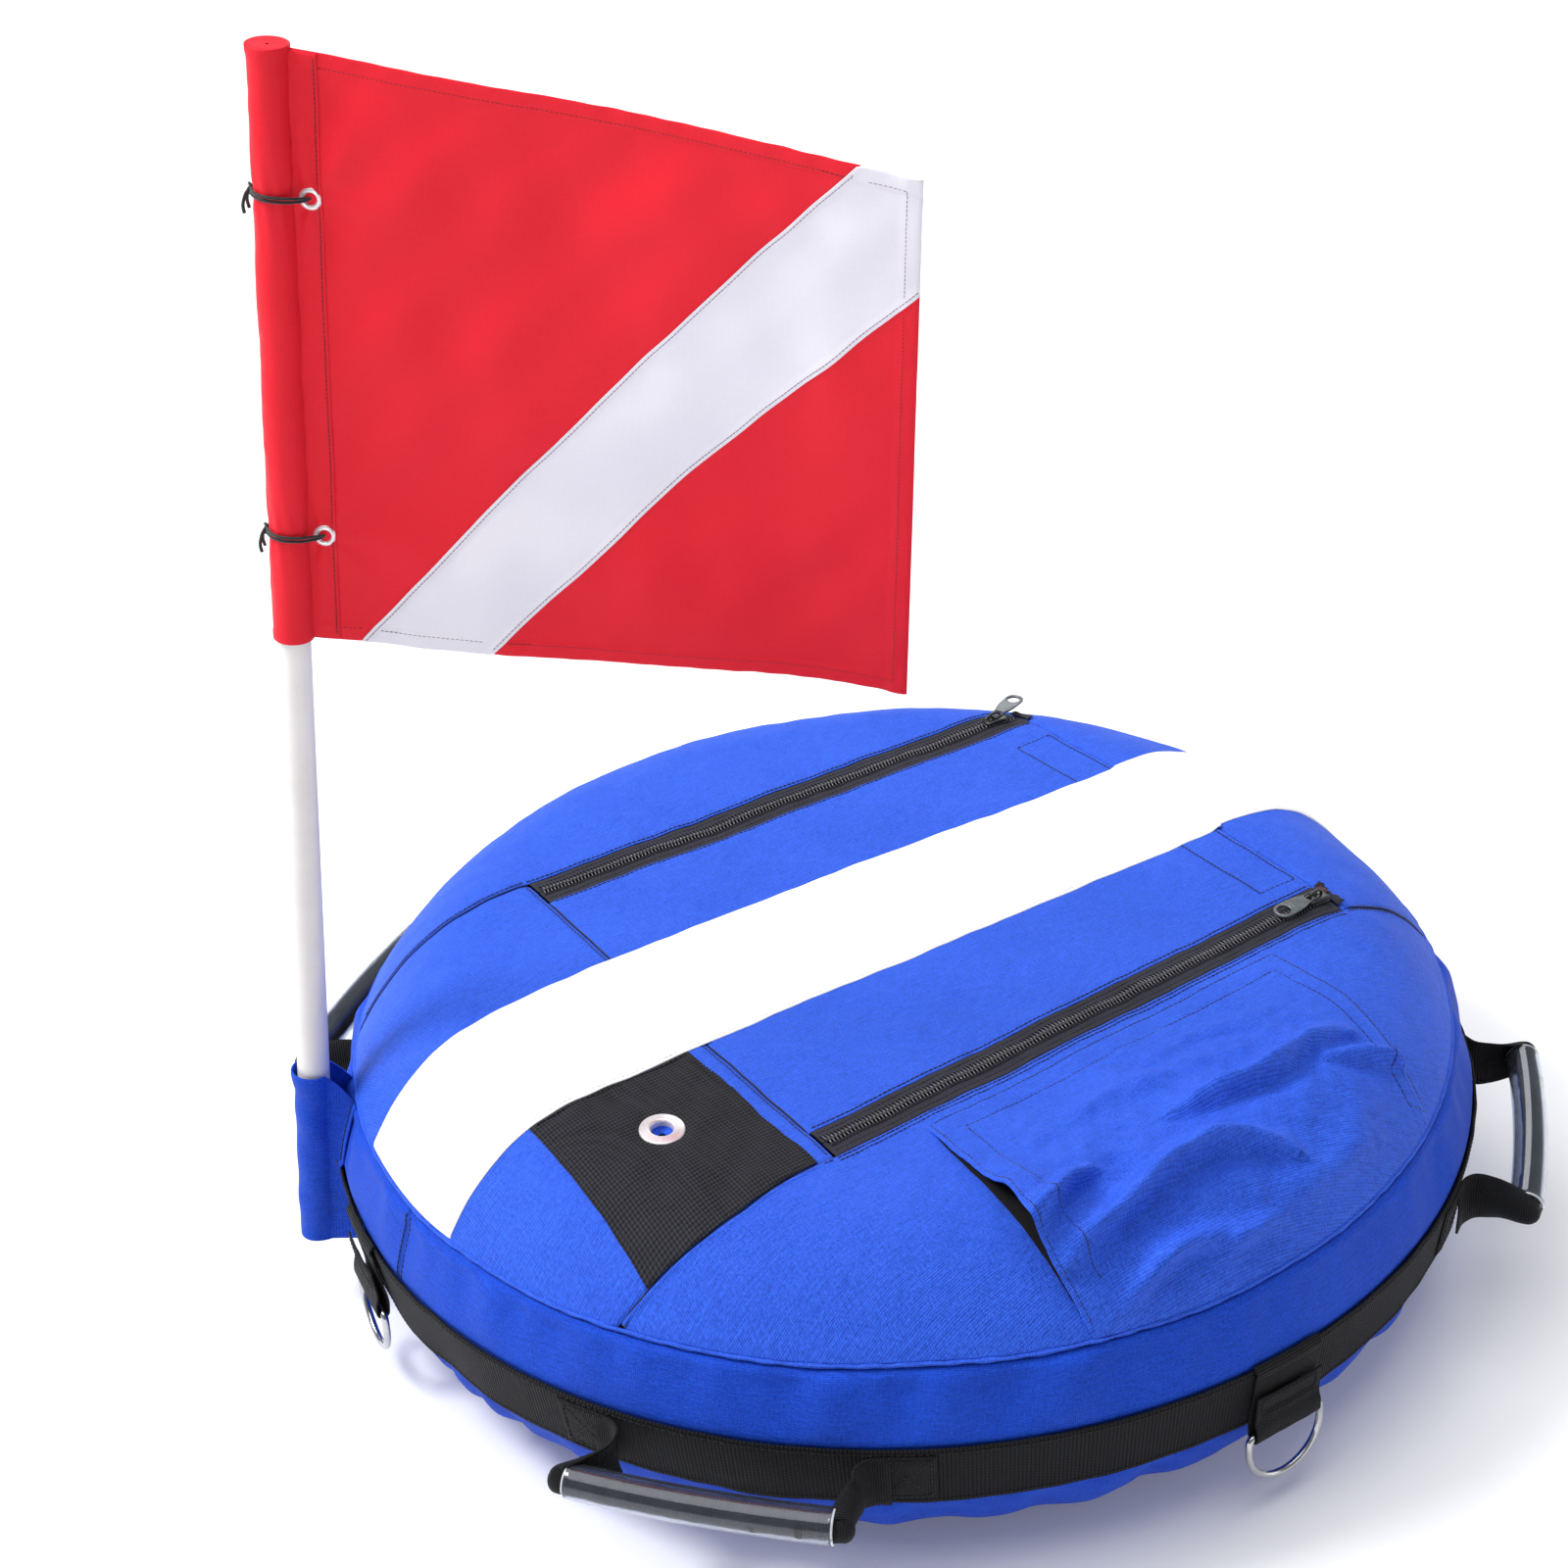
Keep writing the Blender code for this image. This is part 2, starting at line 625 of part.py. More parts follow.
# shrink the opening to a square neck just wider than the stem
ca = 2 * math.pi * (hi + 0.5) / nu
cdir = Vector((math.cos(ca), math.sin(ca), 0))
tdir = Vector((-math.sin(ca), math.cos(ca), 0))
necks = []
for si, loop in enumerate(loops):
    mid = sum((v.co for v in loop), Vector()) / 4
    ring = []
    for v in loop:
        d = v.co - mid
        ring.append(bm.verts.new(mid + tdir * math.copysign(0.0062, d.dot(tdir)) + Vector((0, 0, math.copysign(0.0062, d.z)))))
    for k in range(4):
        q = (loop[k], loop[(k + 1) % 4], ring[(k + 1) % 4], ring[k])
        bm.faces.new(q if si == 0 else tuple(reversed(q)))
    necks.append(ring)
    if si == 0:
        NECK = mid.copy()
for k in range(4):
    bm.faces.new((necks[0][k], necks[0][(k + 1) % 4], necks[1][(k + 1) % 4], necks[1][k]))
put("inner_tube", bm, "black_rubber", smooth=60)

vm = Matrix.Translation(NECK) @ (-cdir).to_track_quat('Z', 'Y').to_matrix().to_4x4()
bm = bmesh.new()
turned(bm, [(0.0018, -0.008), (0.0055, -0.008), (0.0055, 0.0012), (0.0140, 0.0012),
            (0.0140, 0.0030), (0.0050, 0.0042), (0.0040, 0.0200), (0.0018, 0.0200)], 14, vm)
put("valve_stem", bm, "black_rubber")
bm = bmesh.new()
disc_stack(bm, [(0.0052, 0.0204), (0.0056, 0.0212), (0.0056, 0.0300), (0.0046, 0.0314)], 12, vm)
CAPO = vm @ Vector((0, 0, 0.0204))
put("valve_cap", bm, "zip_coil", CAPO)

# ------------------------------------------------------------ handles
def spline(pts, n):
    """Smooth curve through the given points, n steps in each span."""
    out = []
    p = [pts[0]] + list(pts) + [pts[-1]]
    for i in range(1, len(p) - 2):
        for k in range(n):
            t = k / n
            out.append(tuple(0.5 * ((2 * b) + (-a + c) * t + (2 * a - 5 * b + 4 * c - d) * t * t
                                    + (-a + 3 * b - 3 * c + d) * t ** 3)
                             for a, b, c, d in zip(p[i - 1], p[i], p[i + 1], p[i + 2])))
    out.append(tuple(pts[-1]))
    return out


AXIS_X = 0.4025 * math.cos(math.radians(HANDLE_ANG[0]))


def grip_x(y):
    return GRIP_X - y * y / (2 * 0.95)


for tag, (az, shift) in HANDLES.items():
    mz = Matrix.Rotation(math.radians(az), 4, 'Z')
    org = mz @ Vector((AXIS_X, 0, HANDLE_Z))
    # webbing between them, through the grip
    half = []
    for sgn in (1, -1):
        e = sgn * shift + GRIP_L / 2
        xe = grip_x(e)
        half.append([(AXIS_X + 0.0040, 0.0868, 0.0030), (AXIS_X + 0.0095, 0.0850, 0.0050),
                     (AXIS_X + 0.0180, 0.5 * (0.0850 + e + 0.003), 0.0075),
                     (AXIS_X + 0.0270, e + 0.006, 0.0090), (xe - 0.0030, e + 0.0105, 0.0090),
                     (xe + 0.0025, e + 0.0090, 0.0088), (xe + 0.0010, e + 0.0030, 0.0082)])
    mid = []
    for k in range(1, 8):
        y = lerp(shift + GRIP_L / 2 - 0.004, shift - GRIP_L / 2 + 0.004, (k - 1) / 6)
        mid.append((grip_x(y), y, 0.0080))
    pts = [(x, y, w) for x, y, w in half[0]] + mid + [(x, -y, w) for x, y, w in reversed(half[1])]
    path = spline(pts[:7], 2)[:-1] + pts[6:14] + spline(pts[13:], 2)[1:]
    rings = []
    for i, (x, y, w) in enumerate(path):
        a, b = path[max(i - 1, 0)], path[min(i + 1, len(path) - 1)]
        t = Vector((b[0] - a[0], b[1] - a[1], 0)).normalized()
        nn = Vector((t.y, -t.x, 0)) * 0.0009
        c0 = Vector((x, y, HANDLE_Z))
        rings.append([mz @ (c0 + nn + Vector((0, 0, w))), mz @ (c0 - nn + Vector((0, 0, w))),
                      mz @ (c0 - nn - Vector((0, 0, w))), mz @ (c0 + nn - Vector((0, 0, w)))])
    bm = bmesh.new()
    loft(bm, rings)
    put("handle_strap_" + tag, bm, "black_webbing", org)
    # clear grip hose over the webbing
    ns, nc = 4, 12
    rings = []
    secs = []
    for i in range(ns + 1):
        y = shift + GRIP_L * (i / ns - 0.5)
        t = Vector((-y / 0.95, 1, 0)).normalized()
        s = Vector((t.y, -t.x, 0))
        secs.append((Vector((grip_x(y), y, HANDLE_Z)), s))
    bm = bmesh.new()
    vs = []
    for rad in (GRIP_R, GRIP_RI):
        for c0, s in (secs if rad == GRIP_R else reversed(secs)):
            ring = [mz @ (c0 + s * rad * math.cos(2 * math.pi * k / nc) + Vector((0, 0, rad * math.sin(2 * math.pi * k / nc)))) for k in range(nc)]
            vs.append(ring)
    loft(bm, vs, closed=True)
    put("handle_grip_" + tag, bm, "clear_hose", org, 50)

# ------------------------------------------------------------ rigging rings
BAR_R = 0.0037
for tag, az in RINGS.items():
    mz = Matrix.Rotation(math.radians(az), 4, 'Z')
    org = mz @ Vector((RING_X, 0, RING_Z))
    # webbing tab folded round the bar of the ring
    path = [(0.3988, 0.1310), (0.4011, 0.1215), (0.3974, 0.1000), (0.3929, 0.0745)]
    for k in range(0, 9):
        a = math.pi + math.pi * k / 8
        path.append((RING_X + BAR_R * math.cos(a), RING_Z + BAR_R * math.sin(a)))
    path += [(0.4010, 0.0705), (0.3990, 0.0770), (0.3984, 0.0850), (0.3996, 0.0935)]
    rings = []
    for i, (x, z) in enumerate(path):
        a, b = path[max(i - 1, 0)], path[min(i + 1, len(path) - 1)]
        t = Vector((b[0] - a[0], 0, b[1] - a[1])).normalized()
        nn = Vector((t.z, 0, -t.x)) * 0.0008
        c0 = Vector((x, 0, z))
        rings.append([mz @ (c0 + nn + Vector((0, -0.025, 0))), mz @ (c0 - nn + Vector((0, -0.025, 0))),
                      mz @ (c0 - nn + Vector((0, 0.025, 0))), mz @ (c0 + nn + Vector((0, 0.025, 0)))])
    bm = bmesh.new()
    loft(bm, rings)
    put("ring_tab_" + tag, bm, "black_webbing")
    # D-shaped ring hanging from its straight bar
    line = [(-RING_W + 0.004, 0.0), (0.0, 0.0), (RING_W - 0.004, 0.0)]
    line += [(RING_W - 0.0012, -0.0012), (RING_W, -0.004)]
    for k in range(0, 9):
        a = -math.pi * k / 8
        line.append((RING_W * math.cos(a), -RING_SIDE + RING_W * math.sin(a)))
    line += [(-RING_W, -0.004), (-RING_W + 0.0012, -0.0012)]
    rings = []
    for i, (y, z) in enumerate(line):
        a, b = line[i - 1], line[(i + 1) % len(line)]
        t = Vector((0, b[0] - a[0], b[1] - a[1])).normalized()
        s = Vector((0, -t.z, t.y))
        c0 = Vector((RING_X, y, RING_Z + z))
        rings.append([mz @ (c0 + Vector((1, 0, 0)) * RING_WIRE * math.cos(2 * math.pi * k / 7)
                            + s * RING_WIRE * math.sin(2 * math.pi * k / 7)) for k in range(7)])
    bm = bmesh.new()
    loft(bm, rings, closed=True)
    put("d_ring_" + tag, bm, "steel", org, 60)

# ------------------------------------------------------------ flag and pole
er = Vector((math.cos(math.radians(POLE_AZ)), math.sin(math.radians(POLE_AZ)), 0))
tl = math.radians(POLE_TILT)
pd = Vector((0, 0, 1)) * math.cos(tl) - er * math.sin(tl)
p12 = er * POLE_X12 + Vector((0, 0, 0.12))
foot = p12 - pd * ((0.12 - SLEEVE_Z[0]) / pd.z)
side_v = pd.cross(er).normalized()
fwd_v = side_v.cross(pd).normalized()
PM = Matrix.Identity(4)
for r in range(3):
    PM[r][0], PM[r][1], PM[r][2], PM[r][3] = fwd_v[r], side_v[r], pd[r], foot[r]

SL = (SLEEVE_Z[1] - SLEEVE_Z[0]) / pd.z
bm = bmesh.new()
nc = 16
sec = [(SLEEVE_RO, -0.0026), (SLEEVE_RO, SL), (SLEEVE_RI, SL), (SLEEVE_RI, -0.0005)]
rings = [[PM @ Vector((r * math.cos(2 * math.pi * k / nc), r * math.sin(2 * math.pi * k / nc), z)) for k in range(nc)] for r, z in sec]
loft(bm, rings)
put("flag_sleeve", bm, "blue_cloth")

PL = FLAG_S[1] - 0.004
bm = bmesh.new()
turned(bm, [(POLE_R, 0.0020), (POLE_R, PL), (POLE_R - POLE_WALL, PL), (POLE_R - POLE_WALL, 0.0020)], 16, PM)
put("flag_pole", bm, "white_pipe", foot)
bm = bmesh.new()
disc_stack(bm, [(POLE_R - 0.003, 0.0), (POLE_R, 0.0008), (POLE_R, 0.0017), (POLE_R - POLE_WALL - 0.0003, 0.0017),
                (POLE_R - POLE_WALL - 0.0003, 0.012)], 16, PM)
put("pole_foot_plug", bm, "white_pipe", foot)

HOIST_RI, HOIST_RO = POLE_R + 0.0008, POLE_R + 0.0019


def ang_dir(az, dip):
    a, d = math.radians(az), math.radians(dip)
    return Vector((math.cos(a) * math.cos(d), math.sin(a) * math.cos(d), -math.sin(d)))


h0, h1 = foot + pd * FLAG_S[0], foot + pd * FLAG_S[1]
c_low = h0 + ang_dir(*FLAG_LOW) * FLAG_L
c_top = h1 + ang_dir(*FLAG_TOP) * FLAG_L
FORG = h0

# the hoist hem is a closed tube of cloth round the pole
bm = bmesh.new()
sec = [(HOIST_RO, FLAG_S[0]), (HOIST_RO, FLAG_S[1]), (0.004, FLAG_S[1] + 0.0004), (0.004, FLAG_S[1] - 0.0011),
       (HOIST_RI, FLAG_S[1] - 0.0013), (HOIST_RI, FLAG_S[0])]
turned(bm, sec, 16, PM)
put("flag_hoist_hem", bm, "red_cloth", FORG)


def flag_pt(s, t, off=0.0):
    """Cloth surface: s from hoist to fly, t from lower to upper edge."""
    a = lerp(h0, c_low, s)
    b = lerp(h1, c_top, s)
    p = lerp(a, b, t)
    du = (lerp(c_low, c_top, t) - lerp(h0, h1, t)).normalized()
    dv = (b - a).normalized()
    n = du.cross(dv).normalized()
    # the sheet meets the hem half-way round it, where the hem is widest
    wave = 0.007 * math.sin(2.2 * math.pi * s + 1.1 * t) * s ** 1.2
    return p + n * (off + wave)


S0 = (HOIST_RO + 0.0004) / FLAG_L
# diagonal stripe: lower left to upper right, across the sheet
STR = 0.118 / math.hypot(0.389, FLAG_L)


SG = 0.0016                                     # half the seam gap, as a share of the height


# edges of the white stripe, read as height against length
def edge_up(s):
    return (s - 0.112) / (0.905 - 0.112)


def edge_dn(s):
    return (s - 0.318) / (1.185 - 0.318) * 1.02


UP0, UP1 = 0.112, 0.905                         # where the upper edge meets the sheet's edges
DN0 = 0.318
TIP = 0.005


def piece(name, mat, ta, tb, stops, nt):
    """Part of the sheet between t = ta(s) and t = tb(s), with columns at the stops."""
    outer, inner = [], []
    cols = []
    for (p, q, n) in stops:
        cols += [lerp(p, q, i / n) for i in range(n)]
    cols.append(stops[-1][1])
    for s in cols:
        lo, hi = max(0.0, min(1.0, ta(s))), max(0.0, min(1.0, tb(s)))
        outer.append([flag_pt(s, lerp(lo, hi, j / nt), FLAG_T / 2) for j in range(nt + 1)])
        inner.append([flag_pt(s, lerp(lo, hi, j / nt), -FLAG_T / 2) for j in range(nt + 1)])
    bm = bmesh.new()
    grid_shell(bm, outer, inner)
    return put(name, bm, mat, FORG, 60)


red_up = piece("flag_panel_upper", "red_cloth", lambda s: edge_up(s) + SG, lambda s: 1.0,
               [(S0, UP0, 2), (UP0, DN0, 3), (DN0, UP1 - TIP, 7)], 5)
piece("flag_stripe", "white_cloth", lambda s: edge_dn(s) + SG, lambda s: edge_up(s) - SG,
      [(UP0 + TIP, DN0, 3), (DN0, UP1, 7), (UP1, 1.0, 2)], 4)
piece("flag_panel_lower", "red_cloth", lambda s: 0.0, lambda s: edge_dn(s) - SG,
      [(DN0 + TIP, UP1, 7), (UP1, 1.0, 2)], 5)

# eyelets near the hoist with cord ties round the pole
for k, t in enumerate((0.19, 0.765)):
    bme, bmt = bmesh.new(), bmesh.new()
    tag = ("lower", "upper")[k]
    s = 0.058
    c0 = flag_pt(s, t)
    du = (flag_pt(s + 0.01, t) - flag_pt(s - 0.01, t)).normalized()
    dv = (flag_pt(s, t + 0.01) - flag_pt(s, t - 0.01)).normalized()
    n = du.cross(dv).normalized()
    M = Matrix.Identity(4)
    for r in range(3):
        M[r][0], M[r][1], M[r][2], M[r][3] = du[r], n.cross(du)[r], n[r], c0[r]
    bc = bmesh.new()
    disc_stack(bc, [(0.0047, -0.01), (0.0047, 0.01)], 16, M)
    co = put("cut_eyelet_%d" % k, bc, "nickel", FORG)
    co.hide_render = True
    co.display_type = 'WIRE'
    subtract(red_up, co)
    turned(bme, [(0.0038, -0.0016), (0.0068, -0.0016), (0.0072, -0.0009), (0.0044, -0.0009),
                 (0.0044, 0.0009), (0.0072, 0.0009), (0.0068, 0.0016), (0.0038, 0.0016)], 16, M)
    # tie: an oval loop through the eyelet and round the hem
    hub = foot + pd * lerp(FLAG_S[0], FLAG_S[1], t)
    ax = (c0 - hub)
    d = ax.length
    ax.normalize()
    up = (pd - ax * pd.dot(ax)).normalized()
    nn = ax.cross(up).normalized()
    R = HOIST_RO + 0.0018
    pts = []
    for a in range(75, 286, 21):
        pts.append((R * math.cos(math.radians(a)), R * math.sin(math.radians(a))))
    pts += [(0.011, -0.0105), (0.0185, -0.0052), (d - 0.0012, -0.0030), (d, 0.0), (d - 0.0012, 0.0030),
            (0.0185, 0.0052), (0.011, 0.0105)]
    rings = []
    for i, (x, y) in enumerate(pts):
        a, b = pts[i - 1], pts[(i + 1) % len(pts)]
        tt = Vector((b[0] - a[0], b[1] - a[1])).normalized()
        sd = Vector((-tt.y, tt.x))
        cc = hub + ax * x + nn * y
        rings.append([cc + (ax * sd.x + nn * sd.y) * 0.0011 * math.cos(2 * math.pi * q / 6)
                      + up * 0.0011 * math.sin(2 * math.pi * q / 6) for q in range(6)])
    loft(bmt, rings, closed=True)
    put("flag_eyelet_" + tag, bme, "nickel", FORG, 60)
    put("flag_tie_" + tag, bmt, "black_cord", FORG, 60)
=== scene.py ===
# Looks of the freediving buoy: sewn cover, zips, webbing, hardware, flag.
# Row frame: metres, +Z up, the ring's axis is Z, the white stripe runs along X.
import bpy
import math
import numpy as np
from mathutils import Vector, Matrix


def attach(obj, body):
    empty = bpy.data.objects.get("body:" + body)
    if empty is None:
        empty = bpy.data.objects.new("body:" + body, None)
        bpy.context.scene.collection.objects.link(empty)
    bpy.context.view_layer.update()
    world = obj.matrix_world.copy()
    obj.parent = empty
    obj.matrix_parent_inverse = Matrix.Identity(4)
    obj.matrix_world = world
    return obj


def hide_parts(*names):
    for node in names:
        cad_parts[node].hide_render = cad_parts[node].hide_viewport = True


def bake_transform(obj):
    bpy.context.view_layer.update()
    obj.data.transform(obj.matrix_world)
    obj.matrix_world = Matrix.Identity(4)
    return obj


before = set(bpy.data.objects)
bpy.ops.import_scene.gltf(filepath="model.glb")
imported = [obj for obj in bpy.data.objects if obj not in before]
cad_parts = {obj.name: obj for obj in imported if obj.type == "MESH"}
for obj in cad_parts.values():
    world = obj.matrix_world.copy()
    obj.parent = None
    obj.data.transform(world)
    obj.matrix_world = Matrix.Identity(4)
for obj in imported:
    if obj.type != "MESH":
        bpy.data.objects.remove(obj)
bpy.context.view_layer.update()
PI = math.pi

# ------------------------------------------------------------ layout
FOLD = -0.175
V_LEFT = 0.209
TAPE = 0.0155
ZR = math.atan(0.073)
R_RIM = 0.3808
STRIPE_V = (-0.038, 0.078)
PANEL_U, PANEL_V = (-0.311, -0.188), (-0.1890, -0.0430)
GROMMET = (-0.2495, -0.105)


def v_right(u):
    return -0.1795 + 0.073 * u + 0.0125 * (np.maximum(-0.245 - u, 0) / 0.063) ** 1.5


def soft_table(x, y, w=0.016):
    """A table of a line through points, rounded at its corners."""
    q = np.linspace(-0.42, 0.42, 841)
    f = np.interp(q, x, y)
    k = np.exp(-0.5 * (np.arange(-60, 61) * 0.001 / w) ** 2)
    return q, np.convolve(np.pad(f, 60, mode="edge"), k / k.sum(), "valid")


STRIPE_LO = soft_table([-0.375, -0.3127, -0.2533, -0.189, -0.1115, 0.0, 0.22], [-0.0430, -0.0430, -0.0414, -0.0380, -0.0345, -0.0335, -0.0335])
STRIPE_HI = soft_table([-0.375, -0.331, -0.275, -0.192, -0.113, -0.031, 0.049, 0.132, 0.216, 0.36],
                       [0.0780, 0.0776, 0.0805, 0.0885, 0.0900, 0.0900, 0.0885, 0.0855, 0.0810, 0.0775], 0.024)


def stripe_lo(u):
    return np.interp(u, *STRIPE_LO)


def stripe_hi(u):
    return np.interp(u, *STRIPE_HI)


def far(v):
    return 0.2550 - 0.058 * v


def zip_v(side, u):
    return V_LEFT - TAPE + 0 * u if side > 0 else v_right(u) + TAPE


def lerp(a, b, t):
    return a + (b - a) * t


def sstep(a, b, x):
    t = np.clip((np.asarray(x, float) - a) / (b - a), 0, 1)
    return t * t * (3 - 2 * t)


def waves(x, y, scale, seed, n=12):
    """Smooth random field with about unit swing."""
    r = np.random.default_rng(seed)
    out = 0.0
    for _ in range(n):
        a, k, p = r.uniform(0, 2 * PI), 2 * PI / scale * r.uniform(0.6, 1.5), r.uniform(0, 2 * PI)
        out = out + np.sin(k * (x * math.cos(a) + y * math.sin(a)) + p)
    return out / math.sqrt(n / 2.0) * 0.7


def around(az, seed, lo, hi, n=10):
    """Smooth random field round the ring, az in radians, whole waves per turn."""
    r = np.random.default_rng(seed)
    out = 0.0
    for _ in range(n):
        out = out + np.sin(int(r.integers(lo, hi)) * az + r.uniform(0, 2 * PI))
    return out / math.sqrt(n / 2.0) * 0.7


# ------------------------------------------------------------ materials
class Mat:
    """Small helper that wires a procedural Principled material."""

    def __init__(self, name, **sockets):
        self.m = bpy.data.materials.new(name)
        self.m.use_nodes = True
        self.t = self.m.node_tree
        self.b = self.t.nodes["Principled BSDF"]
        self.out = self.t.nodes["Material Output"]
        for k, v in sockets.items():
            self.b.inputs[k.replace("_", " ")].default_value = v

    def node(self, kind, *ins, **props):
        n = self.t.nodes.new(kind)
        for k, v in props.items():
            setattr(n, k, v)
        for i, v in enumerate(ins):
            if v is None:
                continue
            if isinstance(v, bpy.types.NodeSocket):
                self.t.links.new(v, n.inputs[i])
            else:
                n.inputs[i].default_value = v
        return n

    def math(self, op, a, b=None, c=None):
        return self.node("ShaderNodeMath", a, b, c, operation=op).outputs[0]

    def vec(self, uv=True, scale=(1, 1, 1), rot=(0, 0, 0)):
        if uv:
            src = self.node("ShaderNodeUVMap").outputs[0]
        else:
            src = self.node("ShaderNodeTexCoord").outputs["Object"]
        n = self.node("ShaderNodeMapping", src)
        n.inputs["Scale"].default_value = scale
        n.inputs["Rotation"].default_value = rot
        return n.outputs[0]

    def noise(self, vec, scale, detail=3.0, rough=0.55, dist=0.0):
        n = self.node("ShaderNodeTexNoise", vec)
        n.inputs["Scale"].default_value = scale
        n.inputs["Detail"].default_value = detail
        n.inputs["Roughness"].default_value = rough
        n.inputs["Distortion"].default_value = dist
        return n.outputs["Fac"]

    def ramp(self, fac, lo, hi, a=0.0, b=1.0):
        n = self.node("ShaderNodeMapRange", fac, lo, hi, a, b)
        n.clamp = True
        return n.outputs[0]

    def mix(self, fac, a, b):
        n = self.t.nodes.new("ShaderNodeMix")
        n.data_type = "RGBA"
        for sock, v in ((n.inputs[0], fac), (n.inputs[6], a), (n.inputs[7], b)):
            if isinstance(v, bpy.types.NodeSocket):
                self.t.links.new(v, sock)
            else:
                sock.default_value = v if not hasattr(v, "__len__") or len(v) == 4 else (*v, 1)
        return n.outputs[2]

    def bump(self, height, strength, distance, normal=None):
        n = self.t.nodes.new("ShaderNodeBump")
        n.inputs["Strength"].default_value = strength
        n.inputs["Distance"].default_value = distance
        self.t.links.new(height, n.inputs["Height"])
        if normal is not None:
            self.t.links.new(normal, n.inputs["Normal"])
        return n.outputs[0]

    def set(self, name, sock):
        self.t.links.new(sock, self.b.inputs[name])
        return self

    def weave(self, px, py, turn=0.0):
        """Height of a plain weave with thread pitches px, py (metres) in UV space."""
        v = self.vec(scale=(1 / px, 1 / py, 1), rot=(0, 0, turn))
        s = self.node("ShaderNodeSeparateXYZ", v)
        hx = self.math("ABSOLUTE", self.math("SINE", self.math("MULTIPLY", s.outputs[0], PI)))
        hy = self.math("ABSOLUTE", self.math("SINE", self.math("MULTIPLY", s.outputs[1], PI)))
        ck = self.node("ShaderNodeTexChecker", v)
        ck.inputs["Scale"].default_value = 1.0
        a = self.math("MULTIPLY", hx, self.math("MULTIPLY_ADD", hy, 0.5, 0.5))
        b = self.math("MULTIPLY", hy, self.math("MULTIPLY_ADD", hx, 0.5, 0.5))
        n = self.node("ShaderNodeMix")
        self.t.links.new(ck.outputs["Fac"], n.inputs[0])
        self.t.links.new(a, n.inputs[2])
        self.t.links.new(b, n.inputs[3])
        return n.outputs[0]


MATS = {}


def cloth(name, base, dark, rough=0.75, sheen=0.3, pitch=(0.0010, 0.0010), bump=0.5,
          spec=0.3, streak=0.25, mottle=0.5, tint=(1, 1, 1), turn=0.0, depth=0.00025, grainy=0.5):
    m = Mat(name, Roughness=rough, Sheen_Weight=sheen, Sheen_Roughness=0.45,
            Specular_IOR_Level=spec, IOR=1.45)
    m.b.inputs["Sheen Tint"].default_value = (*tint, 1)
    w = m.weave(pitch[0], pitch[1], turn)
    grain = m.noise(m.vec(scale=(1, 1, 1)), 620, 3, 0.65)
    slub = m.noise(m.vec(scale=(90, 700, 1), rot=(0, 0, 0.35 + turn)), 1.0, 2, 0.5)
    slub2 = m.noise(m.vec(scale=(800, 110, 1), rot=(0, 0, 0.1 + turn)), 1.0, 2, 0.5)
    soft = m.noise(m.vec(scale=(1, 1, 1)), 14, 3, 0.5)
    f = m.math("MULTIPLY_ADD", m.ramp(w, 0.15, 0.95), 0.5, 0.25)
    f = m.math("ADD", f, m.math("MULTIPLY", m.math("SUBTRACT", grain, 0.5), grainy))
    f = m.math("ADD", f, m.math("MULTIPLY", m.math("SUBTRACT", slub, 0.5), streak * 2))
    f = m.math("ADD", f, m.math("MULTIPLY", m.math("SUBTRACT", slub2, 0.5), streak * 1.4))
    f = m.math("ADD", f, m.math("MULTIPLY", m.math("SUBTRACT", soft, 0.5), mottle))
    m.set("Base Color", m.mix(m.ramp(f, 0.0, 1.0), dark, base))
    h = m.math("ADD", w, m.math("MULTIPLY", grain, 0.7))
    h = m.math("ADD", h, m.math("MULTIPLY", slub, 1.3))
    m.set("Normal", m.bump(h, bump, depth))
    m.set("Roughness", m.ramp(grain, 0.3, 0.7, rough - 0.06, rough + 0.06))
    MATS[name] = m.m
    return m.m


def ribbed(name, base, dark, rib, cross, rough=0.6, bump=0.8, depth=0.0005, sheen=0.25, spec=0.35,
           vary=0.25):
    """Webbing: ribs across its length with a fine cross structure. UV: x along, y across."""
    m = Mat(name, Roughness=rough, Sheen_Weight=sheen, Sheen_Roughness=0.5,
            Specular_IOR_Level=spec, IOR=1.5)
    v = m.vec(scale=(1 / rib, 1 / cross, 1))
    s = m.node("ShaderNodeSeparateXYZ", v)
    hx = m.math("ABSOLUTE", m.math("SINE", m.math("MULTIPLY", s.outputs[0], PI)))
    off = m.math("MULTIPLY", m.math("FLOOR", s.outputs[0]), 0.5)
    hy = m.math("ABSOLUTE", m.math("SINE", m.math("MULTIPLY", m.math("ADD", s.outputs[1], off), PI)))
    h = m.math("ADD", m.math("MULTIPLY", hx, 0.65), m.math("MULTIPLY", m.math("MULTIPLY", hy, hx), 0.5))
    grain = m.noise(m.vec(), 1400, 2, 0.6)
    soft = m.noise(m.vec(), 30, 3, 0.5)
    f = m.math("ADD", m.ramp(h, 0.1, 1.0), m.math("MULTIPLY", m.math("SUBTRACT", soft, 0.5), vary))
    f = m.math("ADD", f, m.math("MULTIPLY", m.math("SUBTRACT", grain, 0.5), 0.4))
    m.set("Base Color", m.mix(m.ramp(f, 0.0, 1.1), dark, base))
    m.set("Normal", m.bump(m.math("ADD", h, m.math("MULTIPLY", grain, 0.3)), bump, depth))
    m.set("Roughness", m.ramp(grain, 0.3, 0.7, rough - 0.08, rough + 0.08))
    MATS[name] = m.m
    return m.m


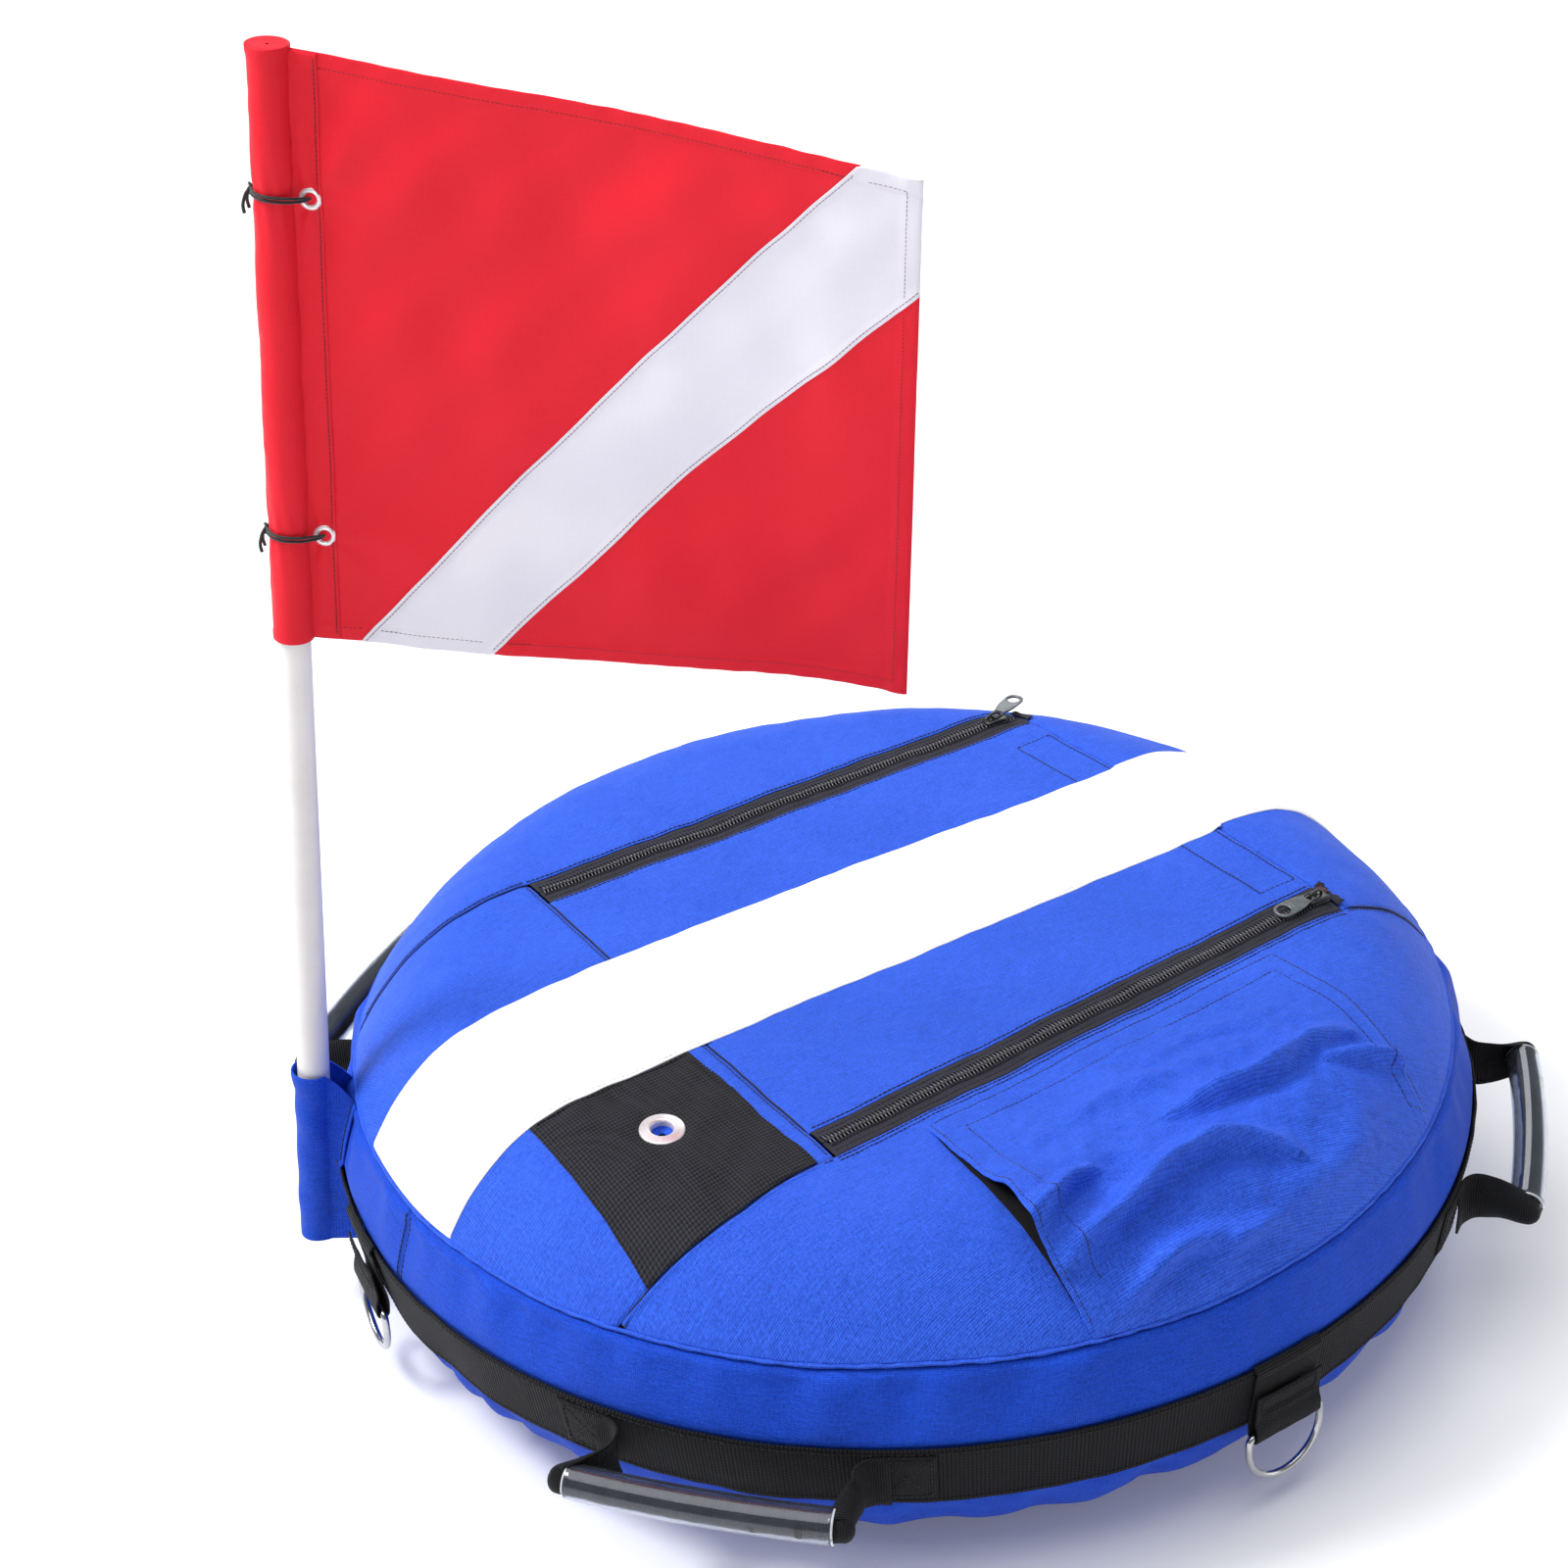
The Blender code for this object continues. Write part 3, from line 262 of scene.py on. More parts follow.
def solid(name, base, dark, rough, scale=60, bump=0.15, depth=0.0002, uv=False, metal=0.0,
          spread=0.08, fine=900, **sockets):
    m = Mat(name, Roughness=rough, Metallic=metal, **sockets)
    v = m.vec(uv=uv)
    a = m.noise(v, scale, 4, 0.55)
    c = m.noise(v, fine, 3, 0.6)
    m.set("Base Color", m.mix(m.ramp(m.math("ADD", m.math("MULTIPLY", a, 0.7),
                                            m.math("MULTIPLY", c, 0.3)), 0.3, 0.7), dark, base))
    m.set("Roughness", m.ramp(a, 0.3, 0.7, rough - spread, rough + spread))
    m.set("Normal", m.bump(m.math("ADD", m.math("MULTIPLY", a, 0.4), c), bump, depth))
    MATS[name] = m.m
    return m.m


BLUE = (0.041, 0.152, 0.90)
BLUE_D = (0.009, 0.048, 0.42)
LOOK = dict(rough=0.60, sheen=0.06, spec=0.20, tint=(0.55, 0.65, 1.0), bump=0.8, pitch=(0.0013, 0.0013), depth=0.0004,
            grainy=1.6, streak=0.36, mottle=0.32)
cloth("cover_blue", BLUE, BLUE_D, **LOOK)
# darker copy of the cover's blue for the side wall and the sleeve: painted shade, the same cloth as it looks turned
# away from the light
cloth("cover_blue_painted_shade", (0.012, 0.094, 0.74), (0.003, 0.031, 0.34), **dict(LOOK, sheen=0.05, spec=0.16))
cloth("cover_white", (0.90, 0.90, 0.91), (0.80, 0.80, 0.83), rough=0.6, sheen=0.1, spec=0.3,
      bump=0.25, streak=0.12, mottle=0.15)
# near-black lining cloth; under the pocket's mouth its black also stands in for the shade inside the pocket (painted
# shade)
cloth("lining_black_and_painted_shade", (0.014, 0.014, 0.017), (0.007, 0.007, 0.009), rough=0.9, sheen=0.1, spec=0.15)
cloth("flag_red", (0.80, 0.013, 0.030), (0.60, 0.006, 0.018), rough=0.55, sheen=0.10, spec=0.22,
      pitch=(0.0007, 0.0007), bump=0.3, streak=0.14, mottle=0.25, tint=(1.0, 0.35, 0.35), grainy=0.5)
cloth("flag_white", (0.77, 0.75, 0.82), (0.66, 0.64, 0.71), rough=0.55, sheen=0.15, spec=0.3,
      pitch=(0.0007, 0.0007), bump=0.25, streak=0.12, mottle=0.2)
cloth("zip_tape", (0.039, 0.038, 0.054), (0.014, 0.014, 0.021), rough=0.75, sheen=0.06, spec=0.18,
      pitch=(0.0009, 0.0014), bump=0.6, streak=0.35, tint=(0.7, 0.7, 0.8))
cloth("tape_end", (0.10, 0.018, 0.016), (0.04, 0.010, 0.012), rough=0.8, sheen=0.2, bump=0.5)
ribbed("webbing", (0.0145, 0.0150, 0.0185), (0.0025, 0.0025, 0.0032), 0.0026, 0.0014, sheen=0.02, spec=0.10, bump=1.0, depth=0.0008)
ribbed("webbing_strap", (0.0145, 0.0150, 0.0175), (0.0025, 0.0025, 0.0030), 0.0016, 0.0021, sheen=0.02, spec=0.14, bump=1.0, depth=0.0007)
ribbed("rib_panel", (0.030, 0.031, 0.039), (0.006, 0.006, 0.008), 0.00231, 0.00157, bump=0.45,
       depth=0.0005, rough=0.68, vary=0.35, sheen=0.03, spec=0.16)
solid("coil", (0.027, 0.027, 0.036), (0.009, 0.009, 0.013), 0.28, scale=300, bump=0.1, Coat_Weight=0.16,
      Coat_Roughness=0.25, IOR=1.53, Specular_IOR_Level=0.6)
solid("thread_blue", (0.004, 0.014, 0.10), (0.002, 0.007, 0.05), 0.6, scale=2500, bump=0.5, Sheen_Weight=0.2,
      Specular_IOR_Level=0.3)
solid("thread_black", (0.024, 0.024, 0.028), (0.009, 0.009, 0.011), 0.6, scale=2500, bump=0.5, Sheen_Weight=0.05,
      Specular_IOR_Level=0.2)
solid("thread_red", (0.20, 0.003, 0.012), (0.12, 0.002, 0.008), 0.6, scale=2500, bump=0.5, Sheen_Weight=0.2,
      Specular_IOR_Level=0.3)
solid("thread_white", (0.88, 0.88, 0.90), (0.78, 0.78, 0.82), 0.6, scale=2500, bump=0.5, Sheen_Weight=0.2,
      Specular_IOR_Level=0.3, Subsurface_Weight=0.1)
solid("thread_grey", (0.30, 0.20, 0.27), (0.20, 0.13, 0.18), 0.6, scale=2500, bump=0.5, Sheen_Weight=0.2,
      Specular_IOR_Level=0.3)
solid("slider_metal", (0.022, 0.023, 0.025), (0.010, 0.010, 0.011), 0.26, scale=260, bump=0.12, metal=0.35,
      Coat_Weight=0.3, Coat_Roughness=0.3, Specular_IOR_Level=0.6, IOR=1.5)
solid("pull_metal", (0.155, 0.170, 0.180), (0.10, 0.112, 0.120), 0.36, scale=260, bump=0.12, metal=0.55,
      Coat_Weight=0.2, Coat_Roughness=0.3, Specular_IOR_Level=0.5)
solid("ring_steel", (0.55, 0.55, 0.56), (0.40, 0.40, 0.41), 0.19, scale=120, bump=0.06, metal=1.0,
      Anisotropic=0.3, spread=0.07)
solid("nickel", (0.84, 0.79, 0.81), (0.70, 0.64, 0.67), 0.30, scale=90, bump=0.05, metal=0.45,
      spread=0.06, Coat_Weight=0.3, Coat_Roughness=0.15, Specular_IOR_Level=0.6)
solid("rubber", (0.022, 0.022, 0.025), (0.013, 0.013, 0.015), 0.55, scale=18, bump=0.25, Sheen_Weight=0.15,
      Specular_IOR_Level=0.4)
solid("rubber_seam", (0.050, 0.051, 0.055), (0.03, 0.03, 0.033), 0.45, scale=60, bump=0.2,
      Specular_IOR_Level=0.4)
solid("valve_plastic", (0.030, 0.030, 0.033), (0.018, 0.018, 0.020), 0.40, scale=200, bump=0.1,
      Specular_IOR_Level=0.5, Coat_Weight=0.2)
solid("pole_white", (0.80, 0.78, 0.76), (0.70, 0.67, 0.66), 0.38, scale=24, bump=0.06, spread=0.08,
      Specular_IOR_Level=0.5, Coat_Weight=0.15, Coat_Roughness=0.3, Subsurface_Weight=0.05)
solid("cord_black", (0.022, 0.022, 0.024), (0.008, 0.008, 0.009), 0.7, scale=1600, bump=0.8, depth=0.0003,
      Sheen_Weight=0.3, Specular_IOR_Level=0.3)
solid("velcro_hook", (0.020, 0.040, 0.16), (0.008, 0.015, 0.07), 0.7, scale=1300, bump=1.0, depth=0.0006,
      Sheen_Weight=0.4, Specular_IOR_Level=0.4)
solid("velcro_loop", (0.018, 0.036, 0.14), (0.008, 0.016, 0.07), 0.95, scale=700, bump=1.0, depth=0.0008,
      Sheen_Weight=0.25, Specular_IOR_Level=0.15)


def hose_material():
    m = Mat("clear_hose", Roughness=0.07, IOR=1.44, Transmission_Weight=0.97, Specular_IOR_Level=0.5,
            Coat_Weight=0.35, Coat_Roughness=0.05)
    v = m.vec(uv=False)
    a = m.noise(v, 45, 4, 0.6)
    c = m.noise(v, 500, 2, 0.5)
    m.set("Base Color", m.mix(m.ramp(a, 0.3, 0.7), (0.44, 0.49, 0.60), (0.56, 0.61, 0.72)))
    m.set("Roughness", m.ramp(a, 0.3, 0.7, 0.05, 0.13))
    m.set("Normal", m.bump(m.math("ADD", a, m.math("MULTIPLY", c, 0.3)), 0.04, 0.0003))
    MATS["clear_hose"] = m.m
    m = Mat("hose_cut", Roughness=0.35, IOR=1.45, Transmission_Weight=0.35, Specular_IOR_Level=0.5)
    c = m.noise(m.vec(uv=False), 700, 3, 0.6)
    m.set("Base Color", m.mix(m.ramp(c, 0.3, 0.7), (0.66, 0.68, 0.74), (0.84, 0.86, 0.91)))
    m.set("Roughness", m.ramp(c, 0.3, 0.7, 0.28, 0.45))
    m.set("Normal", m.bump(c, 0.2, 0.0002))
    MATS["hose_cut"] = m.m


hose_material()


def mesh(name, V, F, mat, uv=None, body="cover", stand=(), flat=False, sharp=None, up=None):
    """An object from vertices and faces, riding on a body and standing for CAD nodes."""
    V = np.asarray(V, float).reshape(-1, 3)
    me = bpy.data.meshes.new(name)
    F = F if isinstance(F, list) else np.asarray(F)
    if isinstance(F, np.ndarray):
        k = F.shape[1]
        me.vertices.add(len(V))
        me.vertices.foreach_set("co", V.astype(np.float32).ravel())
        me.loops.add(F.size)
        me.loops.foreach_set("vertex_index", F.astype(np.int32).ravel())
        me.polygons.add(len(F))
        me.polygons.foreach_set("loop_start", np.arange(0, F.size, k, dtype=np.int32))
        me.update(calc_edges=True)
    else:
        me.from_pydata([tuple(v) for v in V], [], F)
        me.update()
    if up is not None:
        nz = np.zeros(len(me.polygons) * 3, np.float32)
        me.polygons.foreach_get("normal", nz)
        nz = nz.reshape(-1, 3)
        if callable(up):
            mid = np.zeros(len(me.polygons) * 3, np.float32)
            me.polygons.foreach_get("center", mid)
            ref = up(mid.reshape(-1, 3))
        else:
            ref = np.asarray(up, float)
        if (nz * ref).sum() < 0:
            me.flip_normals()
    if uv is not None:
        lay = me.uv_layers.new(name="UVMap")
        idx = np.zeros(len(me.loops), np.int32)
        me.loops.foreach_get("vertex_index", idx)
        lay.data.foreach_set("uv", np.asarray(uv, np.float32).reshape(-1, 2)[idx].ravel())
    me.materials.append(MATS[mat])
    if not flat:
        me.shade_smooth()
    if sharp:
        me.set_sharp_from_angle(angle=math.radians(sharp))
    ob = bpy.data.objects.new(name, me)
    bpy.context.scene.collection.objects.link(ob)
    if body:
        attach(ob, body)
    if stand:
        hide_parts(*stand)
    return ob


def grid_faces(ni, nj, ci=False, cj=False):
    i = np.arange(ni if ci else ni - 1)
    j = np.arange(nj if cj else nj - 1)
    I, J = np.meshgrid(i, j, indexing="ij")
    I2, J2 = (I + 1) % ni, (J + 1) % nj
    return np.stack([I * nj + J, I2 * nj + J, I2 * nj + J2, I * nj + J2], -1).reshape(-1, 4)


def sheetgrid(name, P, mat, uv=None, thick=None, ci=False, cj=False, offset=-1.0, **kw):
    P = np.asarray(P, float)
    ni, nj = P.shape[:2]
    ob = mesh(name, P.reshape(-1, 3), grid_faces(ni, nj, ci, cj), mat,
              None if uv is None else np.asarray(uv, float).reshape(-1, 2), **kw)
    if thick:
        s = ob.modifiers.new("cloth", "SOLIDIFY")
        s.thickness = thick
        s.offset = offset
        s.use_even_offset = False
    return ob


def merge(parts):
    """Join (V, F) pairs with equal face sizes."""
    vs, fs, n = [], [], 0
    for V, F in parts:
        vs.append(np.asarray(V, float).reshape(-1, 3))
        fs.append(np.asarray(F) + n)
        n += len(vs[-1])
    return np.concatenate(vs), np.concatenate(fs)


def frames(P, up):
    """Tangent, side and up vectors along a polyline, with up given per point."""
    P = np.asarray(P, float)
    T = np.gradient(P, axis=0)
    T /= np.linalg.norm(T, axis=1, keepdims=True) + 1e-12
    U = np.broadcast_to(np.asarray(up, float), P.shape)
    U = U - (U * T).sum(1, keepdims=True) * T
    U = U / (np.linalg.norm(U, axis=1, keepdims=True) + 1e-12)
    return T, np.cross(U, T), U


def tube(P, rad, up=(0, 0, 1), n=10, closed=False, flatten=1.0):
    """Skin round a polyline. rad is a number or one per point."""
    P = np.asarray(P, float)
    T, S, U = frames(P, up)
    if closed:
        T = np.roll(P, -1, 0) - np.roll(P, 1, 0)
        T /= np.linalg.norm(T, axis=1, keepdims=True)
        S = np.cross(U, T)
        S /= np.linalg.norm(S, axis=1, keepdims=True)
        U = np.cross(T, S)
    a = np.arange(n) * 2 * PI / n
    r = np.broadcast_to(np.asarray(rad, float).reshape(-1, 1, 1), (len(P), 1, 1))
    V = P[:, None] + r * (S[:, None] * np.cos(a)[None, :, None] + U[:, None] * np.sin(a)[None, :, None] * flatten)
    F = grid_faces(len(P), n, closed, True)
    return V.reshape(-1, 3), F


def resample(P, step):
    P = np.asarray(P, float)
    d = np.r_[0, np.cumsum(np.linalg.norm(np.diff(P, axis=0), axis=1))]
    n = max(2, int(round(d[-1] / step)) + 1)
    s = np.linspace(0, d[-1], n)
    return np.stack([np.interp(s, d, P[:, k]) for k in range(P.shape[1])], 1)


def smooth_line(P, step=0.002, rounds=None):
    """Catmull-Rom through the points, then evenly spaced."""
    P = np.asarray(P, float)
    Q = np.vstack([2 * P[0] - P[1], P, 2 * P[-1] - P[-2]])
    out = []
    for i in range(1, len(Q) - 2):
        a, b, c, d = Q[i - 1], Q[i], Q[i + 1], Q[i + 2]
        for t in np.linspace(0, 1, 24, endpoint=False):
            out.append(0.5 * (2 * b + (c - a) * t + (2 * a - 5 * b + 4 * c - d) * t * t
                              + (3 * b - a - 3 * c + d) * t ** 3))
    out.append(Q[-2])
    return resample(np.array(out), step)


def stitches(name, lines, mat="thread_blue", length=0.0032, gap=0.0005, rad=0.00044, body="cover", lift=0.0001):
    """lines: list of (points, normals). Each stitch is a small arched capsule."""
    prof = [(-0.5, 0.3, -0.8), (-0.42, 0.95, -0.05), (0.0, 1.0, 0.12), (0.42, 0.95, -0.05), (0.5, 0.3, -0.8)]
    a = np.arange(5) * 2 * PI / 5
    base = np.array([[x * length, math.cos(t) * r * rad, (math.sin(t) * r + h) * rad]
                     for x, r, h in prof for t in a])
    bf = grid_faces(len(prof), 5, False, True)
    vs, fs, n = [], [], 0
    for P, N in lines:
        P = np.asarray(P, float)
        N = np.broadcast_to(np.asarray(N, float), P.shape)
        d = np.r_[0, np.cumsum(np.linalg.norm(np.diff(P, axis=0), axis=1))]
        k = int(d[-1] / (length + gap))
        if k < 1:
            continue
        s = (np.arange(k) + 0.5) * d[-1] / k

        def at(q, A):
            return np.stack([np.interp(q, d, A[:, c]) for c in range(3)], 1)
        c0 = at(s, P)
        t = at(np.minimum(s + 0.0008, d[-1]), P) - at(np.maximum(s - 0.0008, 0), P)
        t /= np.linalg.norm(t, axis=1, keepdims=True) + 1e-12
        nn = at(s, N)
        nn -= (nn * t).sum(1, keepdims=True) * t
        nn /= np.linalg.norm(nn, axis=1, keepdims=True) + 1e-12
        b = np.cross(nn, t)
        M = (c0 + nn * lift)[:, None] + base[None, :, 0:1] * t[:, None] + base[None, :, 1:2] * b[:, None] \
            + base[None, :, 2:3] * nn[:, None]
        vs.append(M.reshape(-1, 3))
        fs.append((bf[None] + (np.arange(k) * len(base))[:, None, None] + n).reshape(-1, 4))
        n += k * len(base)
    return mesh(name, np.concatenate(vs), np.concatenate(fs), mat, body=body)


# ------------------------------------------------------------ cover surface
def profile_table():
    r = np.array([0, 0.15, 0.25, 0.293, 0.312, 0.331, 0.348, 0.366, 0.382, 0.392])
    z = np.array([0.2388, 0.2390, 0.2391, 0.2388, 0.2350, 0.2266, 0.2142, 0.1949, 0.1712, 0.155])
    rr = np.linspace(0, 0.392, 1961)
    zz = np.interp(rr, r, z)
    k = np.exp(-0.5 * (np.arange(-60, 61) * 0.0002 / 0.0045) ** 2)
    k /= k.sum()
    pad = np.r_[zz[60:0:-1], zz, 2 * zz[-1] - zz[-2:-62:-1]]
    return rr, np.convolve(pad, k, "valid")


RTAB, ZTAB = profile_table()


def seg_dist(u, v, poly):
    """Distance, signed side and share along a polyline."""
    best = np.full(np.shape(u), 1e9)
    side = np.zeros(np.shape(u))
    share = np.zeros(np.shape(u))
    poly = np.asarray(poly, float)
    L = np.r_[0, np.cumsum(np.linalg.norm(np.diff(poly, axis=0), axis=1))]
    for i in range(len(poly) - 1):
        a, b = poly[i], poly[i + 1]
        e = b - a
        l2 = (e * e).sum()
        t = ((u - a[0]) * e[0] + (v - a[1]) * e[1]) / l2
        tc = np.clip(t, 0, 1)
        dx, dy = u - a[0] - tc * e[0], v - a[1] - tc * e[1]
        d = np.hypot(dx, dy)
        cr = e[0] * (v - a[1]) - e[1] * (u - a[0])
        m = d < best
        best = np.where(m, d, best)
        side = np.where(m, np.sign(cr) * d, side)
        share = np.where(m, (L[i] + tc * (L[i + 1] - L[i])) / L[-1], share)
    return best, side, share


def fold(u, v, poly, w, h, back=0.35):
    """A fold whose steep side lies on the polyline, high on its left."""
    d, s, t = seg_dist(u, v, poly)
    env = np.sin(PI * np.clip(t * 0.9 + 0.05, 0, 1)) ** 0.6
    hi = np.exp(-((s - 0.7 * w) / w) ** 2)
    lo = np.exp(-((s + 0.7 * w) / w) ** 2)
    end = np.exp(-np.maximum(d - np.abs(s), 0) ** 2 / (0.6 * w) ** 2)
    return h * env * end * (hi - back * lo)


def rim_wave(az):
    return 0.0010 * around(az, 5, 5, 22)


def top_disp(u, v):
    r = np.hypot(u, v)
    az = np.arctan2(v, u)
    d = -0.0022 * np.exp(-(r / 0.14) ** 2)
    d = d + 0.0008 * waves(u, v, 0.11, 21) + 0.00035 * waves(u, v, 0.035, 22)
    d = d - 0.0012 * np.exp(-((u - 0.185) / 0.045) ** 2 - ((v - 0.02) / 0.16) ** 2)
    d = d + 0.0030 * np.exp(-((u - 0.266) / 0.026) ** 2 - ((v - 0.02) / 0.15) ** 2)
    fade = sstep(0.383, 0.350, r)
    return d * fade + rim_wave(az) * sstep(0.33, 0.381, r)


def surf(u, v, off=0.0):
    """Cover's top at (u, v), lifted by off along its normal."""
    u, v = np.asarray(u, float), np.asarray(v, float)
    z = np.interp(np.hypot(u, v), RTAB, ZTAB) + top_disp(u, v)
    P = np.stack([u, v, z], -1)
    if np.any(off):
        P = P + normal_at(u, v) * np.asarray(off, float)[..., None]
    return P


def height(u, v):
    return np.interp(np.hypot(u, v), RTAB, ZTAB) + top_disp(u, v)


def normal_at(u, v):
    e = 0.0012
    zx = (height(u + e, v) - height(u - e, v)) / (2 * e)
    zy = (height(u, v + e) - height(u, v - e)) / (2 * e)
    N = np.stack([-zx, -zy, np.ones_like(zx)], -1)
    return N / np.linalg.norm(N, axis=-1, keepdims=True)


EDGE = np.array([0, 0.0006, 0.0014, 0.0026, 0.0044, 0.0072, 0.0108])


def rows_t(L, n):
    """Shares of a run of length L, close together near both ends."""
    k = min(1.0, L / 0.034)
    a = EDGE * k
    m = np.linspace(a[-1], L - a[-1], n + 2)[1:-1]
    return np.r_[a, m, L - a[::-1]] / L


def rim_point(vf, sign, r=R_RIM):
    u = sign * 0.3
    for _ in range(40):
        u = sign * math.sqrt(max(r * r - vf(u) ** 2, 1e-9))
    return u


def patch(name, mat, cols, nrow, lift, thick=0.0014, **kw):
    """cols: list of ((u, v) start, (u, v) end). lift(u, v, d0, d1) gives the offset."""
    U, Vv, D0, D1 = [], [], [], []
    for p, q in cols:
        L = max(math.hypot(q[0] - p[0], q[1] - p[1]), 0.0005)
        t = rows_t(L, nrow)
        U.append(lerp(p[0], q[0], t))
        Vv.append(lerp(p[1], q[1], t))
        D0.append(t * L)
        D1.append((1 - t) * L)
    U, Vv, D0, D1 = map(np.array, (U, Vv, D0, D1))
    P = surf(U, Vv, lift(U, Vv, D0, D1))
    uv = np.stack([U, Vv], -1)
    return sheetgrid(name, P, mat, uv, thick, up=(0, 0, 1), **kw)


def roll(d, depth=0.0013, w=0.0022):
    return -depth * np.exp(-(np.maximum(d, 0) / w) ** 1.6)


def pucker(x, d, amp=0.00035, lam=0.011, reach=0.009, seed=3):
    return amp * waves(x, x * 0.3, lam, seed, 6) * np.exp(-(d / reach)) * sstep(0.0, 0.003, d)


def groove(d, at, depth=0.00045, w=0.0009):
    return -depth * np.exp(-((d - at) / w) ** 2)


def col_places(a, b, step, fine0=True, fine1=True):
    n = max(4, int(abs(b - a) / step))
    s = np.linspace(a, b, n)
    sg = 1 if b > a else -1
    if fine0:
        s = np.r_[a + sg * EDGE, s[np.abs(s - a) > EDGE[-1] + step * 0.4]]
    if fine1:
        s = np.r_[s[np.abs(s - b) > EDGE[-1] + step * 0.4], b - sg * EDGE[::-1]]
    return s


STEP = 0.0034
UPZ = (0, 0, 1)


def line_on(poly, off=0.0, step=0.0012, curved=False):
    """Points and normals along a line in (u, v) on the cover's top."""
    q = smooth_line(poly, step) if curved else resample(poly, step)
    return surf(q[:, 0], q[:, 1], off + 0 * q[:, 0]), normal_at(q[:, 0], q[:, 1])


# left segment, from the zip's seam to the rim
def seam_lift(U, D0, D1, raised, zip_lines):
    on_zip = sstep(-0.178, -0.172, U) * (1 - sstep(0.240, 0.247, U))
    z = on_zip * roll(D0, 0.0009, 0.0012) + (1 - on_zip) * roll(D0, 0.0015, 0.0024)
    if raised:
        near = 1 - sstep(-0.180, -0.174, U)
        z = z * (1 - near) + near * (0.0012 * np.exp(-((D0 - 0.0012) / 0.0013) ** 2) - 0.0009 * np.exp(-(D0 / 0.0006) ** 2))
    for at in zip_lines:
        z = z + groove(D0, at)
    z = z + pucker(U, D0, 0.00028, 0.014, 0.012, 31)
    return z + roll(D1, 0.0007, 0.0012) + groove(D1, 0.0026, 0.0004, 0.0009) + 0.0004 * np.exp(-((D1 - 0.006) / 0.004) ** 2)


def left_cols():
    e0, e1 = rim_point(lambda u: V_LEFT + 0.0045, -1), rim_point(lambda u: V_LEFT + 0.0045, 1)
    out = []
    for u in col_places(e0, e1, STEP):
        out.append(((u, V_LEFT + 0.0004), (u, math.sqrt(R_RIM ** 2 - u * u))))
    return out


patch("cover_top_left", "cover_blue", left_cols(), 40,
      lambda U, V, a, b: seam_lift(U, a, b, False, (0.0024,)), stand=("top_panel_left",))


def right_cols():
    e0, e1 = rim_point(lambda u: v_right(u) - 0.0045, -1), rim_point(lambda u: v_right(u) - 0.0045, 1)
    out = []
    for u in col_places(e0, e1, STEP):
        out.append(((u, v_right(u) - 0.0004), (u, -math.sqrt(R_RIM ** 2 - u * u))))
    return out


patch("cover_top_right", "cover_blue", right_cols(), 52,
      lambda U, V, a, b: seam_lift(U, a, b, True, (0.0030, 0.0064)), stand=("top_panel_right",))


def end_lift(U, V, a, b):
    dl, dr = V_LEFT - V, V - v_right(U)
    z = roll(a, 0.0014, 0.0020) + roll(b, 0.0007, 0.0012) + groove(b, 0.0026, 0.0004, 0.0009) + roll(dl, 0.0015, 0.0024) + roll(dr, 0.0012, 0.0018)
    z = z + groove(a, 0.0032) + pucker(V, a, 0.0003, 0.013, 0.012, 41)
    g = np.hypot(U - GROMMET[0], V - GROMMET[1])
    return z - 0.0003 * np.exp(-(g / 0.02) ** 2)


def end_patch(name, sign, edge, nrow, stand):
    W = V_LEFT - 0.0004 - (v_right(0) + 0.0004)
    s = col_places(0, W, STEP) / W
    t = rows_t(0.165 if sign < 0 else 0.10, nrow)
    S, T = np.meshgrid(s, t, indexing="ij")
    V = lerp(-0.19, V_LEFT, S)
    for _ in range(14):
        U = lerp(edge(V), sign * np.sqrt(np.maximum(R_RIM ** 2 - V * V, 1e-6)), T)
        V = lerp(v_right(U) + 0.0004, V_LEFT - 0.0004, S)
    z = end_lift(U, V, np.abs(U - edge(V)), np.maximum(R_RIM - np.hypot(U, V), 0))
    return sheetgrid(name, surf(U, V, z), "cover_blue", np.stack([U, V], -1), 0.0014, up=UPZ, stand=stand)


near_ob = end_patch("cover_top_near", -1, lambda v: FOLD - 0.0004 + 0 * v, 44, ("top_panel_near",))
far_ob = end_patch("cover_top_far", 1, lambda v: far(v) + 0.0006, 26, ("top_panel_far",))


def cut_hole(ob, c, r, z0=0.2, z1=0.26, n=48):
    """A round hole through a cloth piece, cut with a hidden cutter and applied."""
    a = np.arange(n) * 2 * PI / n
    V = [(c[0] + r * math.cos(t), c[1] + r * math.sin(t), z) for z in (z0, z1) for t in a]
    F = [tuple(range(n))[::-1], tuple(range(n, 2 * n))] + [(i, (i + 1) % n, n + (i + 1) % n, n + i) for i in range(n)]
    me = bpy.data.meshes.new("cut")
    me.from_pydata(V, [], F)
    cu = bpy.data.objects.new("cut", me)
    bpy.context.scene.collection.objects.link(cu)
    m = ob.modifiers.new("hole", "BOOLEAN")
    m.operation, m.solver, m.object = "DIFFERENCE", "EXACT", cu
    dg = bpy.context.evaluated_depsgraph_get()
    new = bpy.data.meshes.new_from_object(ob.evaluated_get(dg))
    ob.modifiers.clear()
    ob.data = new
    bpy.data.objects.remove(cu, do_unlink=True)
    new.shade_smooth()
    new.set_sharp_from_angle(angle=math.radians(50))


cut_hole(near_ob, GROMMET, 0.0085)


# lid: cloth between the zips, from its fold to its free end
def lid_cols():
    W0 = (V_LEFT - 2 * TAPE - 0.0004) - (v_right(0) + 2 * TAPE + 0.0004)
    out = []
    for d in col_places(0, W0, STEP):
        s = d / W0

        def vf(u):
            return lerp(v_right(u) + 2 * TAPE + LID_IN_R, V_LEFT - 2 * TAPE - 0.0004 + LID_IN_L, s)
        ue = far(vf(0.25)) - 0.0004
        ue = far(vf(ue)) - 0.0004
        out.append(((FOLD + 0.0004, vf(FOLD)), (ue, vf(ue))))
    return out


LID_IN_R, LID_IN_L = -0.0005, 0.0005      # the lid's cloth laps this far over its zip tapes


